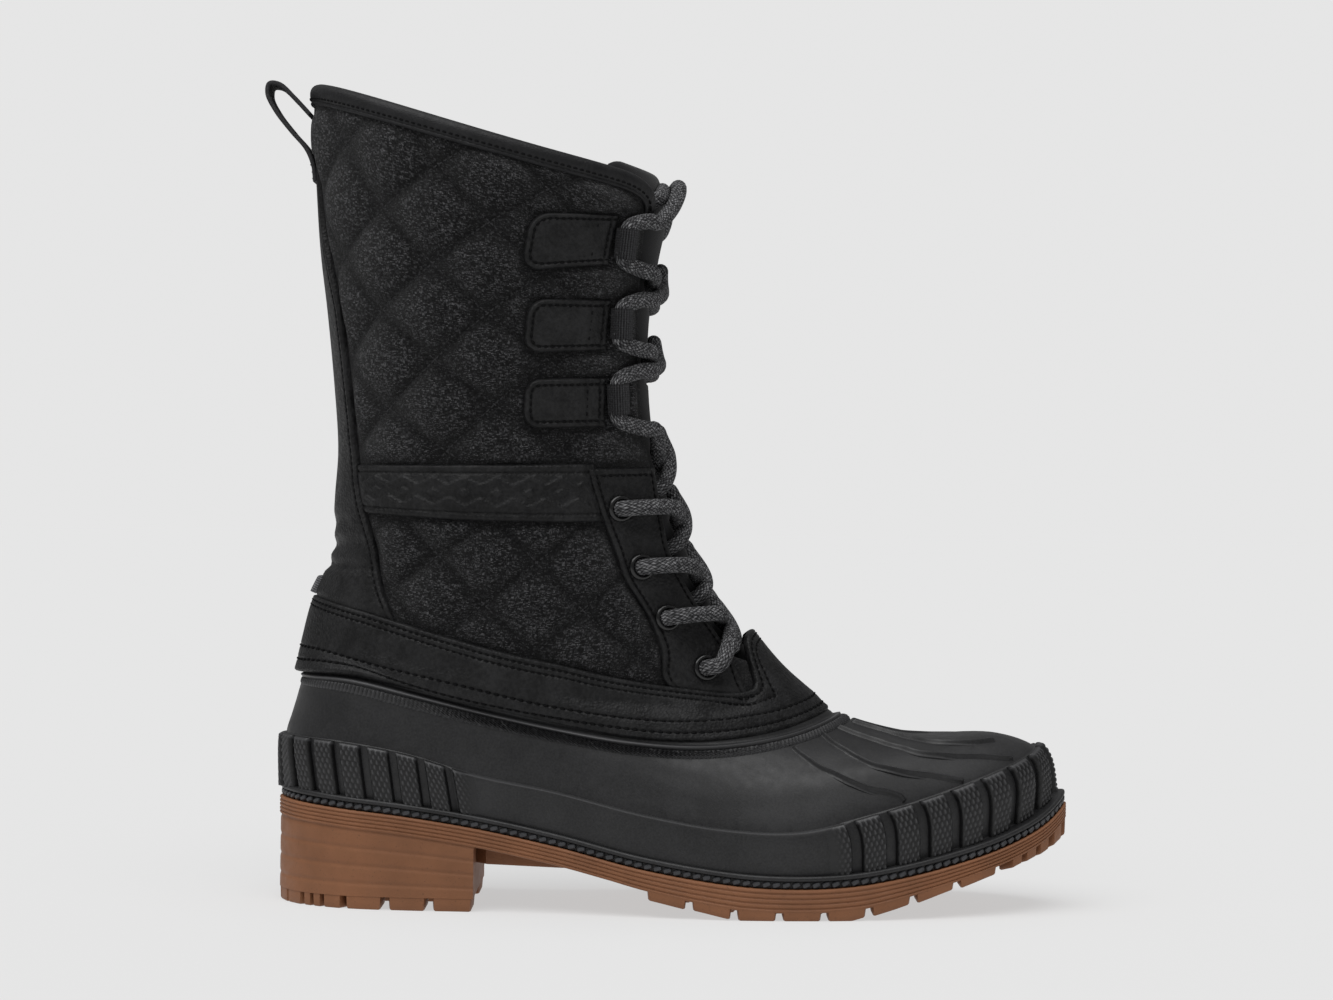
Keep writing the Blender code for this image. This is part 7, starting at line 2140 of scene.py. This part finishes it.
@dataclass
class Lacing:
    """The lace: one cord criss-crossed through loops and eyelets, held all the way."""

    last: Last
    finish: Material
    radius: float = 2.8
    split: float = 5.2
    stations: int = 1300
    sides: int = 16
    flap_pass: float = 2.0
    loop_out: float = 4.1
    # Level of each crossing and how far its upper strand lies outside the skin
    crossings: Table = ((281, -4.0), (229, -1.8), (199, -1.0), (164, -0.6), (145, -1.4), (126.5, -3.2), (112, -4.2))
    # The upper strand before its crossing: distance past the middle and rise
    lead: tuple[float, float] = (8.5, 8.5)
    # Number of each loop and how far above and below its middle the lace passes the flap
    loop_passes: tuple[tuple[int, float, float], ...] = ((1, 13.0, 10.5), (2, 10.5, 10.5), (3, 10.5, 10.5))
    bar: tuple[float, float] = (106.6, -4.2)
    bar_shoulders: Table = ((24.2, 97.0, 6.0), (14.0, 103.2, -0.2))

    def loop_side(self, number: int, above: float, below: float) -> list[Triple]:
        """Places down through a webbing loop: in over the flap, along the loop, out over the flap."""
        level, middle = self.last.loops_at[number - 1]
        places = []
        for height in (level + above, level - below):
            edge = float(self.last.slot_half(height))
            lip = [(edge - self.flap_pass, height, self.loop_out - 1.2),
                   (edge + self.flap_pass, height, self.loop_out - 0.5)]
            places += lip if height > level else [(middle, level - below * 0.62, self.loop_out)] + lip[::-1]
            if height > level:
                places += [(middle, level + above * 0.62, self.loop_out), (middle, level, self.loop_out)]
        return places

    def eyelet_side(self, number: int) -> list[Triple]:
        """Places in under the flap, up through an eyelet and back out over the flap's edge."""
        last = self.last
        level, middle = last.eyelets_at[number - 1]
        under = level + 7.0
        edge = float(last.slot_half(under))
        lip = float(read_table(last.eyestay, level, 1))
        over = last.overlay_clear + last.leather + 0.5 + self.radius
        top = over + 1.3
        inside = [(edge - 6.0, under, -2.6), (edge - 0.5, under - 1.0, -6.9), (edge + 4.5, level + 4.4, -7.0),
                  (middle - 0.4, level + 0.8, -5.0), (middle + 0.4, level, -0.6), (middle - 0.2, level, top - 2.4),
                  (middle - 3.4, level, top)]
        if number == len(last.eyelets_at):
            return inside
        return inside + [(lip + self.flap_pass, level - 0.4, top - 0.6), (lip - self.flap_pass, level - 0.8, over)]

    def half(self, first: int) -> list[Triple]:
        """Places of one half of the lace, from its hidden end at the collar to the middle of the bar.

        Args:
            first: The side of its first loop, -1 lateral or 1 medial.

        Returns:
            Distances from the front, levels and distances outside the skin.
        """
        edge = float(self.last.slot_half(268.0))
        places = [(-first * (edge + 5.0), 267.0, -7.2), (-first * (edge - 1.0), 268.0, -7.0),
                  (-first * (edge - 7.0), 270.0, -4.4)]
        here = first
        legs = [self.loop_side(number, above, below) for number, above, below in self.loop_passes]
        legs += [self.eyelet_side(number) for number in range(1, len(self.last.eyelets_at) + 1)]
        for number, ((level, out), leg) in enumerate(zip(self.crossings, legs)):
            # The strand that comes down from the medial side lies on top
            if here < 0 and number > 0:
                across, rise = self.lead
                places.append((across, level + rise, out - 0.4))
            places.append((0.0, level + 1.0 if here < 0 else level - 3.2, out if here < 0 else out - self.split))
            places += [(here * distance, height, away) for distance, height, away in leg]
            here = -here
        return places + [(-here * distance, level, away) for distance, level, away in self.bar_shoulders]

    def places(self) -> Array:
        """The lace's middle line on the skin: distance from the front, level and distance outside it."""
        down, up = self.half(-1), self.half(1)[::-1]
        return through(np.array(down + [(0.0, *self.bar)] + up), self.stations, 40)

    def path(self) -> Array:
        """The lace's middle line: one half down, over the bar, and the other half back up."""
        distance, level, away = self.places().T
        under = np.minimum(level, self.last.collar)
        return even_spacing(self.last.out(self.last.from_front(distance, under), level, away), self.stations)

    def build(self) -> None:
        """The cord: a ring carried along the path, its frame turned as little as possible."""
        path = self.path()
        run = unit(np.gradient(path, axis=0))
        guide = unit(path[0] - np.array([75.0, 0.0, path[0, 2]]))
        turned = [unit(np.cross(run[0], np.cross(guide, run[0])))]
        for along in run[1:]:
            turned.append(unit(turned[-1] - along * np.dot(turned[-1], along)))
        up = np.array(turned)
        beside = np.cross(run, up)
        angle = angles(self.sides)
        rings = path[:, None] + self.radius * (np.cos(angle)[None, :, None] * up[:, None]
                                               + np.sin(angle)[None, :, None] * beside[:, None])
        length = run_length(path)
        around = np.arange(self.sides + 1) / self.sides * 16.0 * 1.15
        surface = Surface()
        surface.add_tube(rings, flat_places(length[:, None], around[None, :]))
        nodes = [f"lace_crossing_{number}" for number in range(1, len(self.crossings) + 1)] + ["lace_bar"]
        hand_over(surface.build("lace", self.finish), "lace_cord", *nodes)


@dataclass
class Studio:
    """Pale floor, even surroundings, one soft high light and the camera at the photograph's angle."""

    pale: float = 0.79
    floor_tone: float = 0.25
    floor_glow: float = 0.53
    ambient: float = 0.25
    sun: float = 2.65
    sun_angle: float = 62.0
    sun_towards: Triple = (0.2, 0.32, -1.0)
    floor_reach: float = 12.0
    roll: float = 0.8
    lens: float = 86.7
    camera_at: Triple = (0.1008, -1.150, 0.1439)

    def build(self) -> None:
        """Set up floor, light and camera."""
        scene = bpy.context.scene
        scene.view_settings.view_transform = "Standard"
        world = bpy.data.worlds.new("studio")
        world.use_nodes = True
        nodes, links = world.node_tree.nodes, world.node_tree.links
        shown = nodes["Background"]
        shown.inputs[0].default_value = (self.pale, self.pale, self.pale, 1.0)
        lit = nodes.new("ShaderNodeBackground")
        lit.inputs[0].default_value = (self.ambient, self.ambient, self.ambient, 1.0)
        chosen, path = nodes.new("ShaderNodeMixShader"), nodes.new("ShaderNodeLightPath")
        links.new(path.outputs["Is Camera Ray"], chosen.inputs[0])
        links.new(lit.outputs[0], chosen.inputs[1])
        links.new(shown.outputs[0], chosen.inputs[2])
        links.new(chosen.outputs[0], nodes["World Output"].inputs[0])
        scene.world = world
        self.floor()
        self.light()
        self.camera()

    def floor(self) -> None:
        """A wide pale floor, plain but for a trace of tone, that glows a little so that shadows stay faint."""
        mesh = bpy.data.meshes.new("floor")
        reach = self.floor_reach
        corners = [(-reach, -reach, 0), (reach, -reach, 0), (reach, reach, 0), (-reach, reach, 0)]
        mesh.from_pydata(corners, [], [(0, 1, 2, 3)])
        floor = bpy.data.objects.new("floor", mesh)
        bpy.context.collection.objects.link(floor)
        mix = Recipe("pale_floor", 0.9, 0.0)
        tone = mix.noise(mix.place(), 3.0, 2.0)
        low, high = self.floor_tone, self.floor_tone + 0.002
        mix.set("Base Color", mix.mix(tone, (low, low, low), (high, high, high)))
        mix.set("Emission Color", (1.0, 1.0, 1.0, 1.0))
        mix.set("Emission Strength", self.floor_glow)
        mesh.materials.append(mix.made)

    def light(self) -> None:
        """A soft far light from high up."""
        lamp = bpy.data.lights.new("key", "SUN")
        lamp.energy, lamp.angle = self.sun, math.radians(self.sun_angle)
        made = bpy.data.objects.new("key", lamp)
        bpy.context.collection.objects.link(made)
        z = -unit(np.array(self.sun_towards))
        x = unit(np.cross(np.array([0.0, 1.0, 0.0]), z))
        y = np.cross(z, x)
        made.matrix_world = Matrix([[*row, 0.0] for row in np.stack([x, y, z], axis=1)] + [[0.0, 0.0, 0.0, 1.0]])

    def camera(self) -> None:
        """The photograph's camera: level, square to the lateral side, rolled a little."""
        lens = bpy.data.cameras.new("photo_camera")
        lens.lens, lens.sensor_width = self.lens, 36.0
        made = bpy.data.objects.new("photo_camera", lens)
        bpy.context.collection.objects.link(made)
        c, s = math.cos(math.radians(self.roll)), math.sin(math.radians(self.roll))
        right, up, back = (c, 0.0, s), (-s, 0.0, c), (0.0, -1.0, 0.0)
        rows = [[right[k], up[k], back[k], self.camera_at[k]] for k in range(3)]
        made.matrix_world = Matrix(rows + [[0.0, 0.0, 0.0, 1.0]])
        bpy.context.scene.camera = made


def main() -> None:
    """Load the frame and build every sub-assembly in order."""
    logging.basicConfig(level=logging.INFO, format="%(message)s")
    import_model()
    last, finishes = Last(), Finishes()
    Studio().build()
    stitching = Stitching(finishes.thread)
    RubberFoot(last, finishes.rubber, finishes.dotted).build()
    Welt(last, finishes.rubber, finishes.bead).build()
    Sole(last, finishes.gum, finishes.felt).build()
    Shaft(last, finishes.quilted, finishes.felt, Stitching(finishes.quilting)).build()
    LeatherWork(last, finishes.leather, stitching).build()
    Collar(last, finishes.binding, stitching).build()
    lacing = Lacing(last, finishes.lace)
    Tongue(last, finishes.tongue, lacing.places()[::2], lacing.radius).build()
    Fittings(last, finishes.metal, finishes.webbing, finishes.ribbon, stitching).build()
    lacing.build()


if __name__ == "__main__":
    main()
